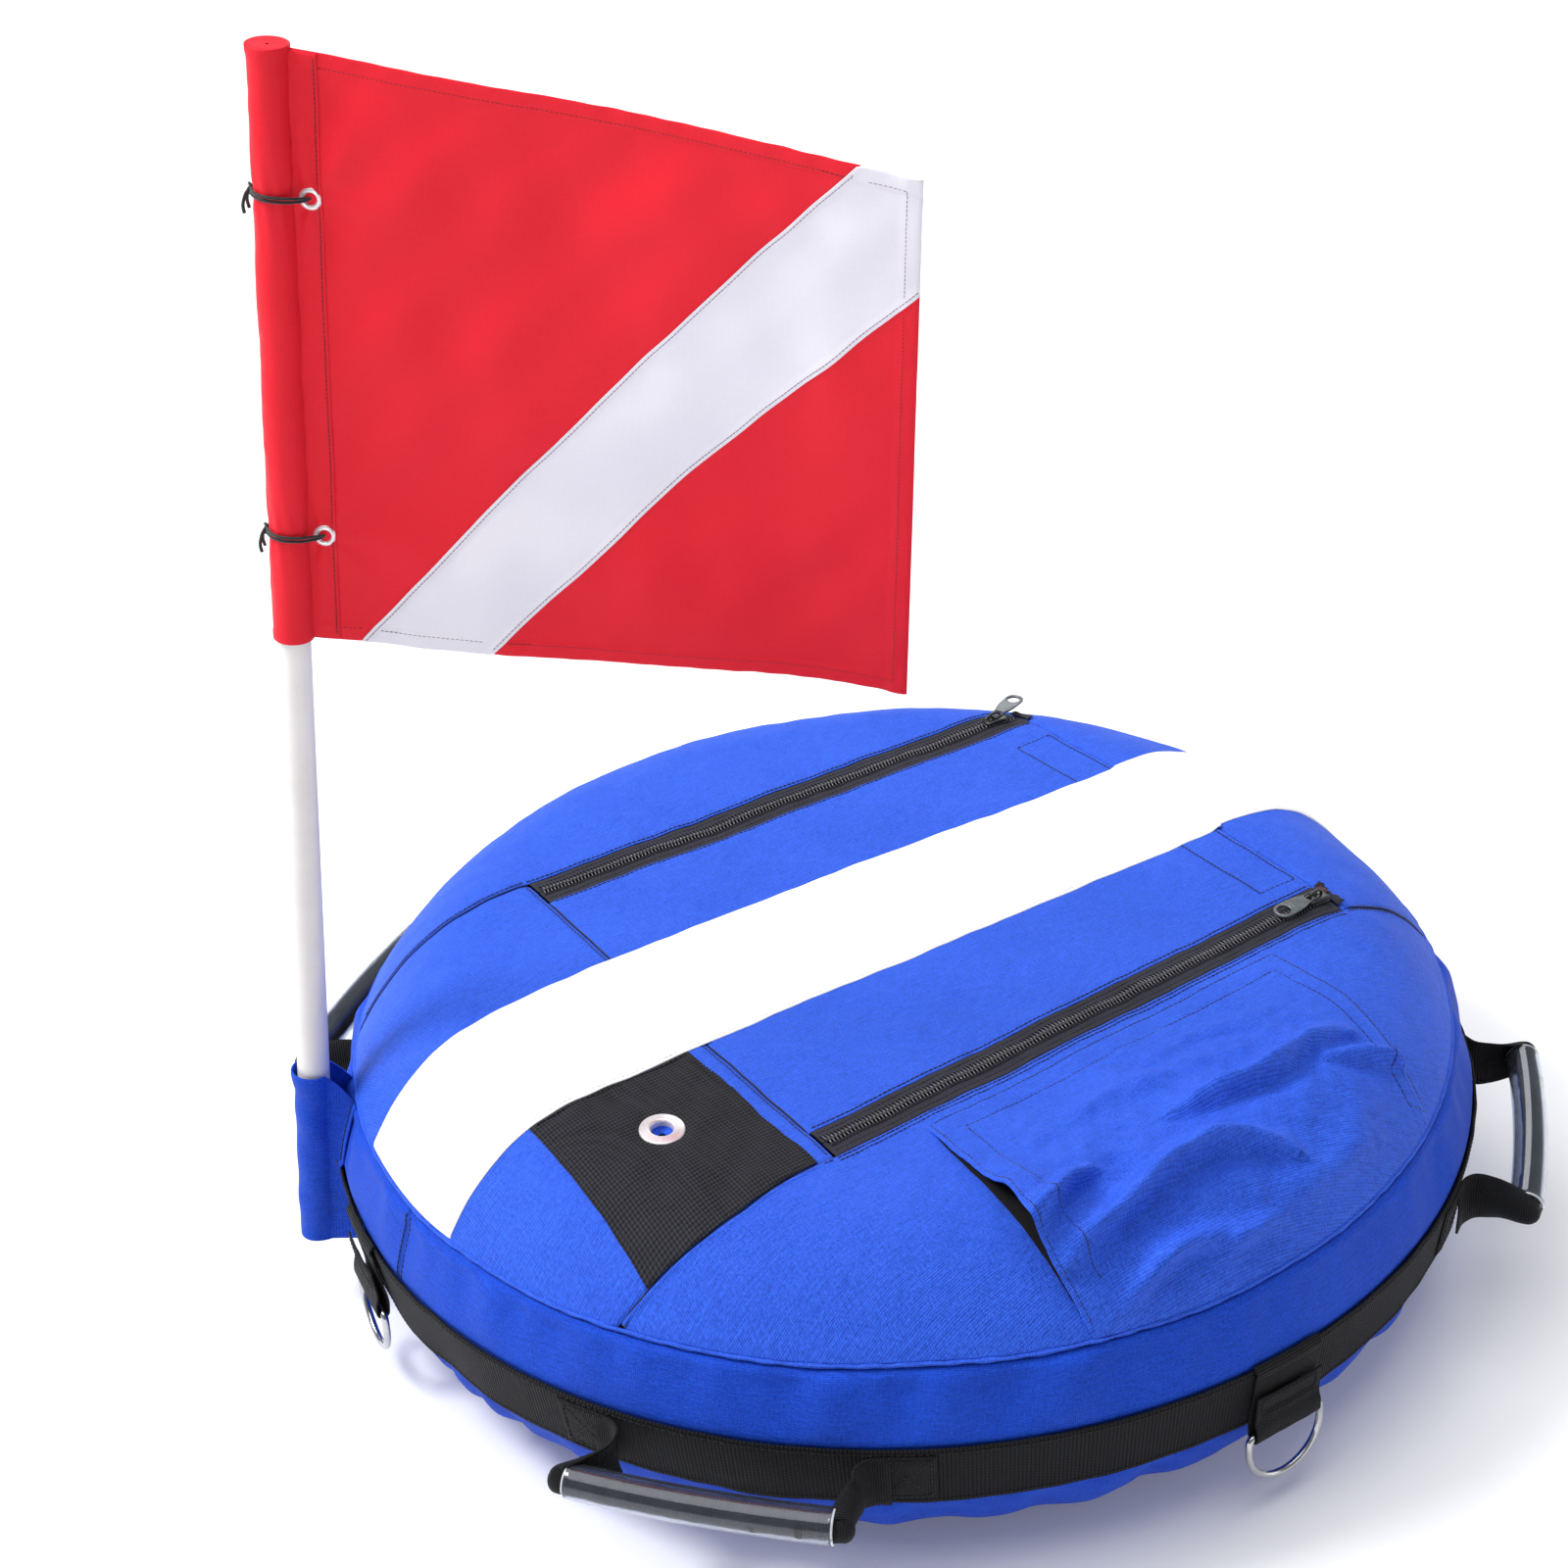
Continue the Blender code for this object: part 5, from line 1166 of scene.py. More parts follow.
def plate(name, outlines, thick, bevel, M, mat, **kw):
    """A bevelled plate with holes from 2-D outlines."""
    cu = bpy.data.curves.new(name, "CURVE")
    cu.dimensions = "2D"
    cu.fill_mode = "BOTH"
    cu.extrude = thick / 2 - bevel
    cu.bevel_depth = bevel
    cu.bevel_resolution = 3
    cu.offset = -bevel
    for pts in outlines:
        sp = cu.splines.new("POLY")
        sp.points.add(len(pts) - 1)
        sp.points.foreach_set("co", np.array([(x, y, 0, 1) for x, y in pts], np.float32).ravel())
        sp.use_cyclic_u = True
    tmp = bpy.data.objects.new("tmp", cu)
    bpy.context.scene.collection.objects.link(tmp)
    bpy.context.view_layer.update()
    me = bpy.data.meshes.new_from_object(tmp.evaluated_get(bpy.context.evaluated_depsgraph_get()))
    bpy.data.objects.remove(tmp, do_unlink=True)
    me.transform(M)
    me.materials.clear()
    me.materials.append(MATS[mat])
    me.shade_smooth()
    me.set_sharp_from_angle(angle=math.radians(35))
    ob = bpy.data.objects.new(name, me)
    bpy.context.scene.collection.objects.link(ob)
    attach(ob, kw["body"])
    if kw.get("stand"):
        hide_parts(*kw["stand"])
    return ob


def circle(cx, cy, r, n=40, ry=None):
    return [(cx + r * math.cos(2 * PI * i / n), cy + (ry or r) * math.sin(2 * PI * i / n)) for i in range(n)]


def closed_spline(pts, n=8):
    P = np.asarray(pts, float)
    out = []
    for i in range(len(P)):
        a, b, c, d = P[i - 1], P[i], P[(i + 1) % len(P)], P[(i + 2) % len(P)]
        for t in np.linspace(0, 1, n, endpoint=False):
            out.append(tuple(0.5 * (2 * b + (c - a) * t + (2 * a - 5 * b + 4 * c - d) * t * t + (3 * b - a - 3 * c + d) * t ** 3)))
    return out


def rrect(hw, z0, z1, r, k=4):
    """Rounded rectangle in (y, z)."""
    pts = []
    r = min(r, hw * 0.95, (z1 - z0) * 0.49)
    for cx, cz, a0 in ((hw - r, z1 - r, 0), (-hw + r, z1 - r, 90), (-hw + r, z0 + r, 180), (hw - r, z0 + r, 270)):
        for i in range(k + 1):
            a = math.radians(a0 + 90 * i / k)
            pts.append((cx + r * math.cos(a), cz + r * math.sin(a)))
    return pts


def sliders():
    for side, tag, su in ((1, "left", 0.2205), (-1, "right", 0.2520)):
        sv = float(zip_v(side, su))
        rot = 0.0 if side > 0 else ZR
        M = Matrix.Translation((su, sv, 0.2384)) @ Matrix.Rotation(rot, 4, "Z")
        body = "slider_" + tag
        rings = []
        for x, hw, z0, z1 in ((-0.0088, 0.0030, 0.0016, 0.0032), (-0.0086, 0.0042, 0.0012, 0.0037), (-0.0078, 0.0051, 0.0009, 0.0041),
                              (-0.0060, 0.0056, 0.0008, 0.0044), (-0.0030, 0.0057, 0.0008, 0.0046), (0.0, 0.0060, 0.0008, 0.0047),
                              (0.0035, 0.0065, 0.0008, 0.0046), (0.0060, 0.0067, 0.0008, 0.0045), (0.0076, 0.0064, 0.0009, 0.0042),
                              (0.0085, 0.0056, 0.0012, 0.0037), (0.0088, 0.0044, 0.0016, 0.0032)):
            rings.append([tuple(M @ Vector((x, y, z))) for y, z in rrect(hw, z0, z1, 0.0011)])
        loft_obj("slider_body_" + tag, rings, "slider_metal", body=body, stand=("zip_slider_" + tag,))
        # side flanges that wrap the coil
        for sg in (1, -1):
            rr = []
            for x, y in ((-0.0086, 0.0040), (-0.0070, 0.0050), (-0.003, 0.0056), (0.003, 0.0063), (0.0066, 0.0065), (0.0084, 0.0056)):
                rr.append([tuple(M @ Vector((x, sg * (y - 0.0003) + dy, z))) for dy, z in
                           ((0.0006, 0.0020), (-0.0006, 0.0020), (-0.0006, 0.0000), (0.0, -0.0003), (0.0006, 0.0000))])
            loft_obj("slider_flange_%s_%d" % (tag, 1 if sg > 0 else 2), rr, "slider_metal", body=body)
        # bridge for the pull
        arch = smooth_line([(-0.0052, 0.0044), (-0.0050, 0.0062), (-0.0038, 0.0077), (0.0, 0.0081), (0.0038, 0.0077),
                            (0.0050, 0.0062), (0.0052, 0.0044)], 0.0005)
        P = np.array([tuple(M @ Vector((x, 0, z))) for x, z in arch])
        yv = np.array(M.to_3x3() @ Vector((0, 1, 0)))
        V, F = tube(P, 0.00095, up=yv, n=10, flatten=1.35)
        mesh("slider_bridge_" + tag, V, F, "slider_metal", body=body)
        # pull
        yaw = math.radians(24.0) if side > 0 else ZR + PI
        lean = math.radians(0.0 if side > 0 else -9.0)      # the pull leans to one side on its bridge
        Mp = Matrix.Translation((su, sv, 0.2384 + 0.00555)) @ Matrix.Rotation(yaw, 4, "Z") @ Matrix.Rotation(math.radians(1.5), 4, "Y") \
            @ Matrix.Rotation(lean, 4, "X")
        top = [(-0.0010, 0.0030), (0.0020, 0.0038), (0.0070, 0.0040), (0.0100, 0.0046), (0.0140, 0.0058), (0.0190, 0.0066),
               (0.0240, 0.0069), (0.0295, 0.0070), (0.0335, 0.0062), (0.0360, 0.0038), (0.0368, 0.0)]
        outline = closed_spline([(x, y) for x, y in top] + [(x, -y) for x, y in reversed(top[:-1])] + [(-0.0016, 0.0)], 6)
        window = closed_spline([(0.0008, 0.0024), (0.0030, 0.0030), (0.0070, 0.0030), (0.0086, 0.0020), (0.0086, -0.0020),
                                (0.0070, -0.0030), (0.0030, -0.0030), (0.0008, -0.0024)], 6)
        plate("pull_plate_" + tag, [outline, window, circle(0.0296, 0, 0.0048)], 0.0018, 0.0004, Mp, "pull_metal",
              body="pull_" + tag, stand=("zip_pull_" + tag,))
        ring = np.array([tuple(Mp @ Vector((x, y, 0.0))) for x, y in circle(0.0296, 0, 0.0057, 48)])
        V, F = tube(ring, 0.00115, n=8, closed=True)
        mesh("pull_rim_" + tag, V, F, "pull_metal", body="pull_" + tag)
        lens = [(0.0118, 0.0028), (0.0160, 0.0044), (0.0208, 0.0050), (0.0222, 0.0), (0.0208, -0.0050), (0.0160, -0.0044),
                (0.0118, -0.0028), (0.0110, 0.0)]
        plate("pull_panel_" + tag, [closed_spline(lens, 6)], 0.0022, 0.0003, Mp, "pull_metal", body="pull_" + tag)


sliders()


def tape_ends():
    """Bare ends of the zip tapes at the far end."""
    def piece(name, mat, side, y0, y1, a, b, z0, z1, torn, body="cover"):
        c = float(zip_v(side, 0.26))
        y = np.linspace(y0, y1, 26)
        t = np.linspace(0, 1, 12)
        end = b + torn * waves(y, y * 0, 0.005, 120 + side)
        U = (far(c + y) - 0.0004)[:, None] + lerp(a, end[:, None], t[None])
        V = (c + y)[:, None] + 0 * U
        rise = z1 * (0.35 + 0.65 * np.abs(y / max(abs(y0), abs(y1))) ** 2)[:, None] * (t[None] ** 1.5)
        z = z0 + rise + 0.0005 * np.sin(PI * t)[None] + 0.0003 * waves(U, V, 0.006, 121)
        sheetgrid(name, surf(U, V, z), mat, np.stack([U, V], -1), 0.0008, up=UPZ, body=body)
    piece("zip_end_left", "zip_tape", 1, -0.0105, 0.0105, 0.0, 0.0058, 0.0008, 0.0010, 0.0006)
    piece("zip_end_right", "zip_tape", -1, -0.0110, 0.0135, -0.0004, 0.0044, 0.0008, 0.0040, 0.0011)
    piece("zip_end_right_tab", "tape_end", -1, 0.0020, 0.0095, -0.0030, 0.0026, 0.0021, 0.0016, 0.0008)


tape_ends()

# ------------------------------------------------------------ side pocket
BASE_LINE = [(-0.1125, -0.1985), (-0.106, -0.2006), (0.187, -0.1780)]


def pocket_v0(u):
    return np.interp(u, [-0.1125, 0.190], [-0.2010, -0.1780])


def mouth_u(v):
    return np.interp(-v, [0.198, 0.230, 0.262, 0.285, 0.300, 0.320, 0.345, 0.368], [-0.1120, -0.1150, -0.1170, -0.1165, -0.1150, -0.1130, -0.1090, -0.1040])


def end_u(v):
    return np.interp(-v, [0.178, 0.217, 0.243, 0.284, 0.320], [0.187, 0.192, 0.199, 0.204, 0.2065])


FOLDS = [  # steep side on the line, high on its left
    ([(-0.094, -0.338), (-0.067, -0.335), (-0.042, -0.331), (-0.009, -0.324), (0.020, -0.322), (0.045, -0.328), (0.066, -0.337)], 0.011, 0.0086, 0.030),
    ([(-0.112, -0.315), (-0.092, -0.311), (-0.076, -0.306), (-0.062, -0.305)], 0.008, 0.0052, 0.030),
    ([(-0.082, -0.371), (-0.066, -0.366), (-0.050, -0.362), (-0.036, -0.360), (-0.020, -0.361), (0.002, -0.364)], 0.009, 0.0060, 0.030),
    ([(-0.010, -0.372), (0.006, -0.369), (0.023, -0.367), (0.041, -0.368)], 0.008, 0.0048, 0.030),
    ([(-0.060, -0.262), (-0.010, -0.254), (0.040, -0.257), (0.090, -0.258)], 0.014, 0.0013, 0.030),
    ([(0.020, -0.290), (0.055, -0.291), (0.080, -0.291), (0.106, -0.288), (0.136, -0.278), (0.166, -0.276)], 0.011, 0.0062, 0.020),
    ([(0.146, -0.290), (0.172, -0.294), (0.192, -0.296), (0.214, -0.300)], 0.0085, 0.0054, 0.012),
    ([(0.058, -0.360), (0.095, -0.355), (0.138, -0.342)], 0.015, 0.0026, 0.030),
    ([(0.045, -0.236), (0.085, -0.232), (0.125, -0.236)], 0.012, 0.0012, 0.030),
]


def pocket_off(U, V):
    """Height of the pocket's cloth over the cover."""
    v0 = pocket_v0(U)
    e_base = v0 - V
    e_end = end_u(V) - U
    e_mouth = U - mouth_u(V)
    rr = np.hypot(U, V)
    e_rim = R_RIM - rr
    free = sstep(0.0, 0.045, e_base - 0.012) * sstep(0.0, 0.060, e_end - 0.012) * sstep(0.0, 0.030, e_rim)
    h = 0.0030 * free
    for poly, w, a, fe in FOLDS:
        h = h + 2.55 * fold(U, V, poly, w * 0.62, a) * sstep(0.004, 0.028, e_base) * sstep(0.0, fe, e_end) * sstep(0.0, 0.020, e_rim)
    # gape of the mouth, running on into the folds
    c = -0.3035 - 0.10 * e_mouth
    g = np.exp(-np.abs((V - c) / 0.027) ** 2.4)
    h = h + 0.0205 * g * np.exp(-(np.maximum(e_mouth, 0) / 0.032) ** 2)
    h = h + 0.0014 * np.exp(-(np.maximum(e_mouth, 0) / 0.010) ** 2) * sstep(0.010, 0.022, e_base) * sstep(0.004, 0.020, e_rim)
    h = h + 0.0040 * np.exp(-((V + 0.292) / 0.020) ** 2) * sstep(0.005, 0.05, e_mouth) * sstep(0.10, 0.04, e_mouth)
    h = h + (0.0012 * waves(U, V, 0.045, 131) + 0.0005 * waves(U, V, 0.018, 132)) * free
    return np.maximum(h, 0.0)


def pocket():
    s = np.r_[0, 0.0006, 0.0014, 0.0026, 0.0044, 0.0070]
    W = 0.300
    ss = np.r_[s, np.linspace(0.010, W - 0.0070, 130), W - s[::-1]] / W
    tt = np.r_[0, 0.0006, 0.0014, 0.0026, 0.0044, 0.0070] / 0.17
    tt = np.r_[tt, np.linspace(0.055, 0.945, 74), 1 - tt[::-1]]
    S, T = np.meshgrid(ss, tt, indexing="ij")
    V = lerp(-0.19 + 0 * S, -0.33, T)
    for _ in range(12):
        U = lerp(mouth_u(V), end_u(V), S)
        vr = -np.sqrt(np.maximum(R_RIM ** 2 - U * U, 1e-6))
        V = lerp(pocket_v0(U), vr, T)
    e_base, e_end, e_mouth = pocket_v0(U) - V, end_u(V) - U, U - mouth_u(V)
    e_rim = R_RIM - np.hypot(U, V)
    h = pocket_off(U, V)
    flush = np.minimum(e_base, e_end)
    z = -0.0004 + 0.0018 * (1 - np.exp(-(np.maximum(flush, 0) / 0.0028) ** 1.5)) + h
    hem = np.exp(-(np.maximum(e_mouth - 0.0005, 0) / 0.024) ** 8)
    z = z + 0.0011 * hem * sstep(0.0, 0.012, e_base) - 0.0012 * np.exp(-(e_mouth / 0.0011) ** 2)
    z = z + groove(e_mouth, 0.0036, 0.0006, 0.0011) + groove(e_mouth, 0.0215, 0.0006, 0.0012) * sstep(0.012, 0.02, e_base) * sstep(0.008, 0.014, e_rim)
    z = z + groove(e_base, 0.0012, 0.0004, 0.0010) + groove(e_base, 0.0185, 0.0006, 0.0012) + groove(e_end, 0.0012, 0.0004, 0.0010) \
        + groove(e_end, 0.0165, 0.0006, 0.0012)
    z = z + pucker(V, np.abs(e_mouth - 0.0036), 0.0003, 0.012, 0.008, 133) + pucker(U, np.abs(e_base - 0.0185), 0.0003, 0.012, 0.008, 134)
    z = z + roll(e_rim, 0.0018, 0.0026) * 1.0
    P = surf(U, V, z)
    sheetgrid("pocket_cloth", P, "cover_blue", np.stack([U, V], -1), 0.0013, up=UPZ, stand=("side_pocket",))
    # lining under the pocket's cloth, and a near-black sheet on the cover below it: painted shade inside the pocket's
    # mouth
    k = slice(3, 60)
    zz = z - 0.0017
    sheetgrid("pocket_lining_upper", surf(U[k, 16:-8], V[k, 16:-8], zz[k, 16:-8]), "lining_black_and_painted_shade",
              np.stack([U, V], -1)[k, 16:-8], 0.0003, up=UPZ, stand=("pocket_lining",))
    u = np.linspace(-0.1165, 0.02, 60)
    t = np.linspace(0, 1, 40)
    U2, T2 = np.meshgrid(u, t, indexing="ij")
    V2 = lerp(-0.218, -0.356, T2)
    # the sheet starts just inside the mouth's edge, so a dark line shows all along it: painted shade
    U2 = np.maximum(U2, mouth_u(V2) + 0.0003)
    sheetgrid("pocket_painted_shade_sheet", surf(U2, V2, 0.0006 + 0 * U2), "lining_black_and_painted_shade", np.stack([U2, V2], -1), 0.0003, up=UPZ)

    def on(u, v, extra):
        h = pocket_off(u, v)
        em, eb, ee = u - mouth_u(v), pocket_v0(u) - v, end_u(v) - u
        z = -0.0004 + 0.0018 * (1 - np.exp(-(np.maximum(np.minimum(eb, ee), 0) / 0.0028) ** 1.5)) + h \
            + 0.0011 * np.exp(-(np.maximum(em - 0.0005, 0) / 0.024) ** 8) * sstep(0.0, 0.012, eb) - 0.0006
        P = surf(u, v, z + extra)
        e = 0.0008
        Pu = surf(u + e, v, pocket_off(u + e, v) + z - h) - P
        Pv = surf(u, v + e, pocket_off(u, v + e) + z - h) - P
        N = np.cross(Pu, Pv)
        return P, N / np.linalg.norm(N, axis=1, keepdims=True)
    L = []
    v = np.linspace(-0.2015, -0.361, 260)
    L.append(on(mouth_u(v) + 0.0036, v, 0.0))
    v = np.linspace(-0.2205, -0.350, 220)
    L.append(on(mouth_u(v) + 0.0215, v, 0.0))
    for v1 in (-0.350,):
        u = np.linspace(mouth_u(v1) + 0.0036, mouth_u(v1) + 0.0215, 30)
        L.append(on(u, v1 + 0 * u, 0.0))
    u = np.linspace(-0.106, 0.185, 420)
    L.append(on(u, pocket_v0(u) - 0.0012, 0.0004))
    u = np.linspace(-0.0925, 0.1705, 400)
    L.append(on(u, pocket_v0(u) - 0.0185, 0.0))
    v = np.linspace(-0.181, -0.316, 220)
    L.append(on(end_u(v) - 0.0012, v, 0.0004))
    v = np.linspace(-0.1975, -0.316, 200)
    L.append(on(end_u(v) - 0.0165, v, 0.0))
    u = np.linspace(end_u(0.316 * -1) - 0.0165, end_u(0.316 * -1) - 0.0012, 30)
    L.append(on(u, -0.316 + 0 * u, 0.0003))
    stitches("pocket_stitches", L, length=0.0036, gap=0.0004, rad=0.00044)


pocket()


# ------------------------------------------------------------ fastening under the lid
def fastening():
    def bar(name, mat, u, h, v0, v1, body, stand, thick, wob=0.0003):
        v = np.linspace(v0, v1, 110)
        Uo, Vo = np.meshgrid(np.asarray(u), v, indexing="ij")
        U = far(Vo) + Uo
        H = np.broadcast_to(np.asarray(h)[:, None], U.shape) + wob * waves(U, Vo, 0.03, 140)
        return sheetgrid(name, surf(U, Vo, H), mat, np.stack([Uo, Vo], -1), thick, up=UPZ, body=body, stand=stand)
    bar("landing_cloth", "cover_blue", np.r_[-0.052, -0.0515, np.linspace(-0.050, 0.0005, 18), 0.0016, 0.0026, 0.0040, 0.0060, 0.0082],
        np.r_[-0.0070, -0.0066, np.full(18, -0.0064), -0.0060, -0.0048, -0.0036, -0.0030, -0.0028], -0.112, 0.146, "cover",
        ("lid_landing",), 0.0012)
    bar("hook_tape", "velcro_hook", np.r_[-0.044, -0.0436, np.linspace(-0.043, -0.007, 14), -0.0064, -0.006],
        np.r_[-0.0060, -0.0051, np.full(14, -0.0050), -0.0051, -0.0060], -0.108, 0.142, "cover", ("hook_strip",), 0.0008, 0.0001)
    bar("loop_tape", "velcro_loop", np.r_[-0.044, -0.0436, np.linspace(-0.043, -0.007, 14), -0.0064, -0.006],
        np.r_[-0.0018, -0.0022, np.full(14, -0.0023), -0.0022, -0.0018], -0.108, 0.142, "lid", ("loop_strip",), 0.0012, 0.0001)
    # the hooks themselves, tiny bent pins in rows
    r = np.random.default_rng(9)
    x, y = np.meshgrid(np.arange(-0.0425, -0.0070, 0.0016), np.arange(-0.1065, 0.1410, 0.0016), indexing="ij")
    x, y = x.ravel() + r.uniform(-2e-4, 2e-4, x.size), y.ravel() + r.uniform(-2e-4, 2e-4, x.size)
    u = far(y) + x
    base = surf(u, y, -0.0050 + 0 * u)
    prof = [(0, 0, 0.00016), (0, 0.0007, 0.00013), (0.0003, 0.0010, 0.00011), (0.0006, 0.0008, 0.00006)]
    sg = np.where(r.random(len(u)) > 0.5, 1.0, -1.0)
    vs = []
    for dx, dz, w in prof:
        for ox, oy in ((-w, -w), (w, -w), (w, w), (-w, w)):
            vs.append(base + np.stack([dx * sg + ox, oy + 0 * u, dz + 0 * u], -1))
    V = np.stack(vs, 1)
    F0 = grid_faces(4, 4, False, True)
    F = (F0[None] + (np.arange(len(u)) * 16)[:, None, None]).reshape(-1, 4)
    mesh("hook_pins", V.reshape(-1, 3), F, "velcro_hook")
    st = [line_on([(far(v) - 0.0455, v) for v in np.linspace(-0.110, 0.144, 30)], -0.0062)]
    stitches("landing_stitches", st)


fastening()

# ------------------------------------------------------------ handles
GRIP_L, GRIP_R, GRIP_RI, GRIP_X, HZ = 0.172, 0.0118, 0.0099, 0.4365, 0.096


def grip_x(y):
    return GRIP_X - y * y / 1.9


def rot_z(P, deg):
    a = math.radians(deg)
    P = np.asarray(P, float)
    out = P.copy()
    out[..., 0] = P[..., 0] * math.cos(a) - P[..., 1] * math.sin(a)
    out[..., 1] = P[..., 0] * math.sin(a) + P[..., 1] * math.cos(a)
    return out


def ribbon(path, curl, W, n=15, thick=0.0017):
    """Webbing along a path in the (x, y) plane, rolled by the angle curl at each point."""
    P = np.asarray(path, float)
    T = np.gradient(P, axis=0)
    T /= np.linalg.norm(T, axis=1, keepdims=True)
    N = np.stack([-T[:, 1], T[:, 0]], 1)
    q = np.linspace(-1, 1, n)
    th = np.maximum(np.asarray(curl, float), 0.02)[:, None]
    rho = W / th
    phi = th * q[None]
    d = -rho * (1 - np.cos(phi))
    z = rho * np.sin(phi)
    X = P[:, None, 0] + N[:, None, 0] * d
    Y = P[:, None, 1] + N[:, None, 1] * d
    return np.stack([X, Y, z], -1)


def handles():
    for tag, (az, shift) in HANDLES.items():
        body = "handle_" + tag
        halves = []
        for sg in (1, -1):
            e = sg * shift + GRIP_L / 2
            xe = grip_x(e)
            pts = [(0.3878, 0.0960), (0.3893, 0.0905), (0.3906, 0.0862), (0.3940, 0.0822), (0.4000, 0.0806), (0.4085, 0.0845),
                   (0.4180, 0.5 * (0.0865 + e + 0.0085)), (xe - 0.0050, e + 0.0105), (xe + 0.0020, e + 0.0125), (xe + 0.0072, e + 0.0100),
                   (xe + 0.0088, e + 0.0040), (xe + 0.0086, e - 0.0030), (grip_x(e - 0.02) + 0.0086, e - 0.020)]
            cu = [0.02, 0.03, 0.05, 0.14, 0.45, 0.90, 1.35, 1.75, 2.00, 2.15, 2.2, 2.2, 2.2]
            halves.append((pts, cu))
        mid = [(grip_x(y) + 0.0086, y) for y in np.linspace(shift + GRIP_L / 2 - 0.034, shift - GRIP_L / 2 + 0.034, 7)]
        P = halves[0][0] + mid + [(x, -y) for x, y in reversed(halves[1][0])]
        Cu = halves[0][1] + [2.2] * 7 + list(reversed(halves[1][1]))
        q = smooth_line([(x, y, c * 0.01) for (x, y), c in zip(P, Cu)], 0.0016)
        G = ribbon(q[:, :2], q[:, 2] * 100, 0.0186)
        w = 0.0004 * waves(G[..., 1], G[..., 2], 0.02, 150 + int(az) % 7)
        G = G + w[..., None] * np.array([1.0, 0, 0])
        G[..., 2] += HZ
        d = np.r_[0, np.cumsum(np.linalg.norm(np.diff(q[:, :2], axis=0), axis=1))]
        uv = np.stack([np.broadcast_to(d[:, None], G.shape[:2]), np.broadcast_to(np.linspace(-0.0186, 0.0186, 15), G.shape[:2])], -1)
        G = rot_z(G, az)
        ob = sheetgrid("handle_web_" + tag, G, "webbing_strap", uv, 0.0016, body=None, offset=0.0)
        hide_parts("handle_strap_" + tag)
        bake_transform(ob)
        # clear hose
        ns = 44
        ys = np.linspace(-GRIP_L / 2, GRIP_L / 2, ns)
        prof = [(y, GRIP_R) for y in ys[1:-1]]
        prof = [(ys[0], GRIP_R - 0.0007), (ys[0] + 0.0002, GRIP_R - 0.0002), (ys[0] + 0.0008, GRIP_R)] + prof[0:] \
            + [(ys[-1] - 0.0008, GRIP_R), (ys[-1] - 0.0002, GRIP_R - 0.0002), (ys[-1], GRIP_R - 0.0007), (ys[-1], GRIP_RI + 0.0004),
               (ys[-1] - 0.0006, GRIP_RI)] + [(y, GRIP_RI) for y in ys[::-1][1:-1]] + [(ys[0] + 0.0006, GRIP_RI), (ys[0], GRIP_RI + 0.0004)]
        n = 40
        a = np.arange(n) * 2 * PI / n
        rows = []
        for y, r in prof:
            yy = y + shift
            t = np.array([-yy / 0.95, 1, 0])
            t /= np.linalg.norm(t)
            s = np.array([t[1], -t[0], 0])
            rows.append(np.array([grip_x(yy), yy, HZ]) + r * (np.cos(a)[:, None] * s + np.sin(a)[:, None] * np.array([0, 0, 1.0])))
        G = rot_z(np.array(rows), az)
        c = rot_z(np.array([grip_x(shift), shift, HZ]), az)
        # the hose's cut ends
        for k, sg in enumerate((-1, 1)):
            yy = shift + sg * (GRIP_L / 2 - 0.0002)
            t = np.array([-yy / 0.95, 1, 0])
            t /= np.linalg.norm(t)
            s = np.array([t[1], -t[0], 0])
            b = np.arange(48) * 2 * PI / 48
            R = np.array([grip_x(yy), yy, HZ]) + (GRIP_R - 0.0008) * (np.cos(b)[:, None] * s + np.sin(b)[:, None] * np.array([0, 0, 1.0]))
            V, F = tube(rot_z(R, az), 0.00085, n=8, closed=True)
            mesh("handle_hose_end_%s_%d" % (tag, k + 1), V, F, "hose_cut", body=body)
        sheetgrid("handle_hose_" + tag, G, "clear_hose", None, None, ci=True, cj=True, body=body, stand=("handle_grip_" + tag,),
                  up=lambda m: (m - m.mean(0)) * 0 + np.nan_to_num(m - c) * (np.abs(np.hypot(*(rot_z(m - 0, -az)[:, :2] - 0).T) * 0 + 1) > 0)[:, None])


handles()

# ------------------------------------------------------------ rigging rings
RX, RZ, RW, RSIDE = 0.3978, 0.0655, 0.0300, 0.011


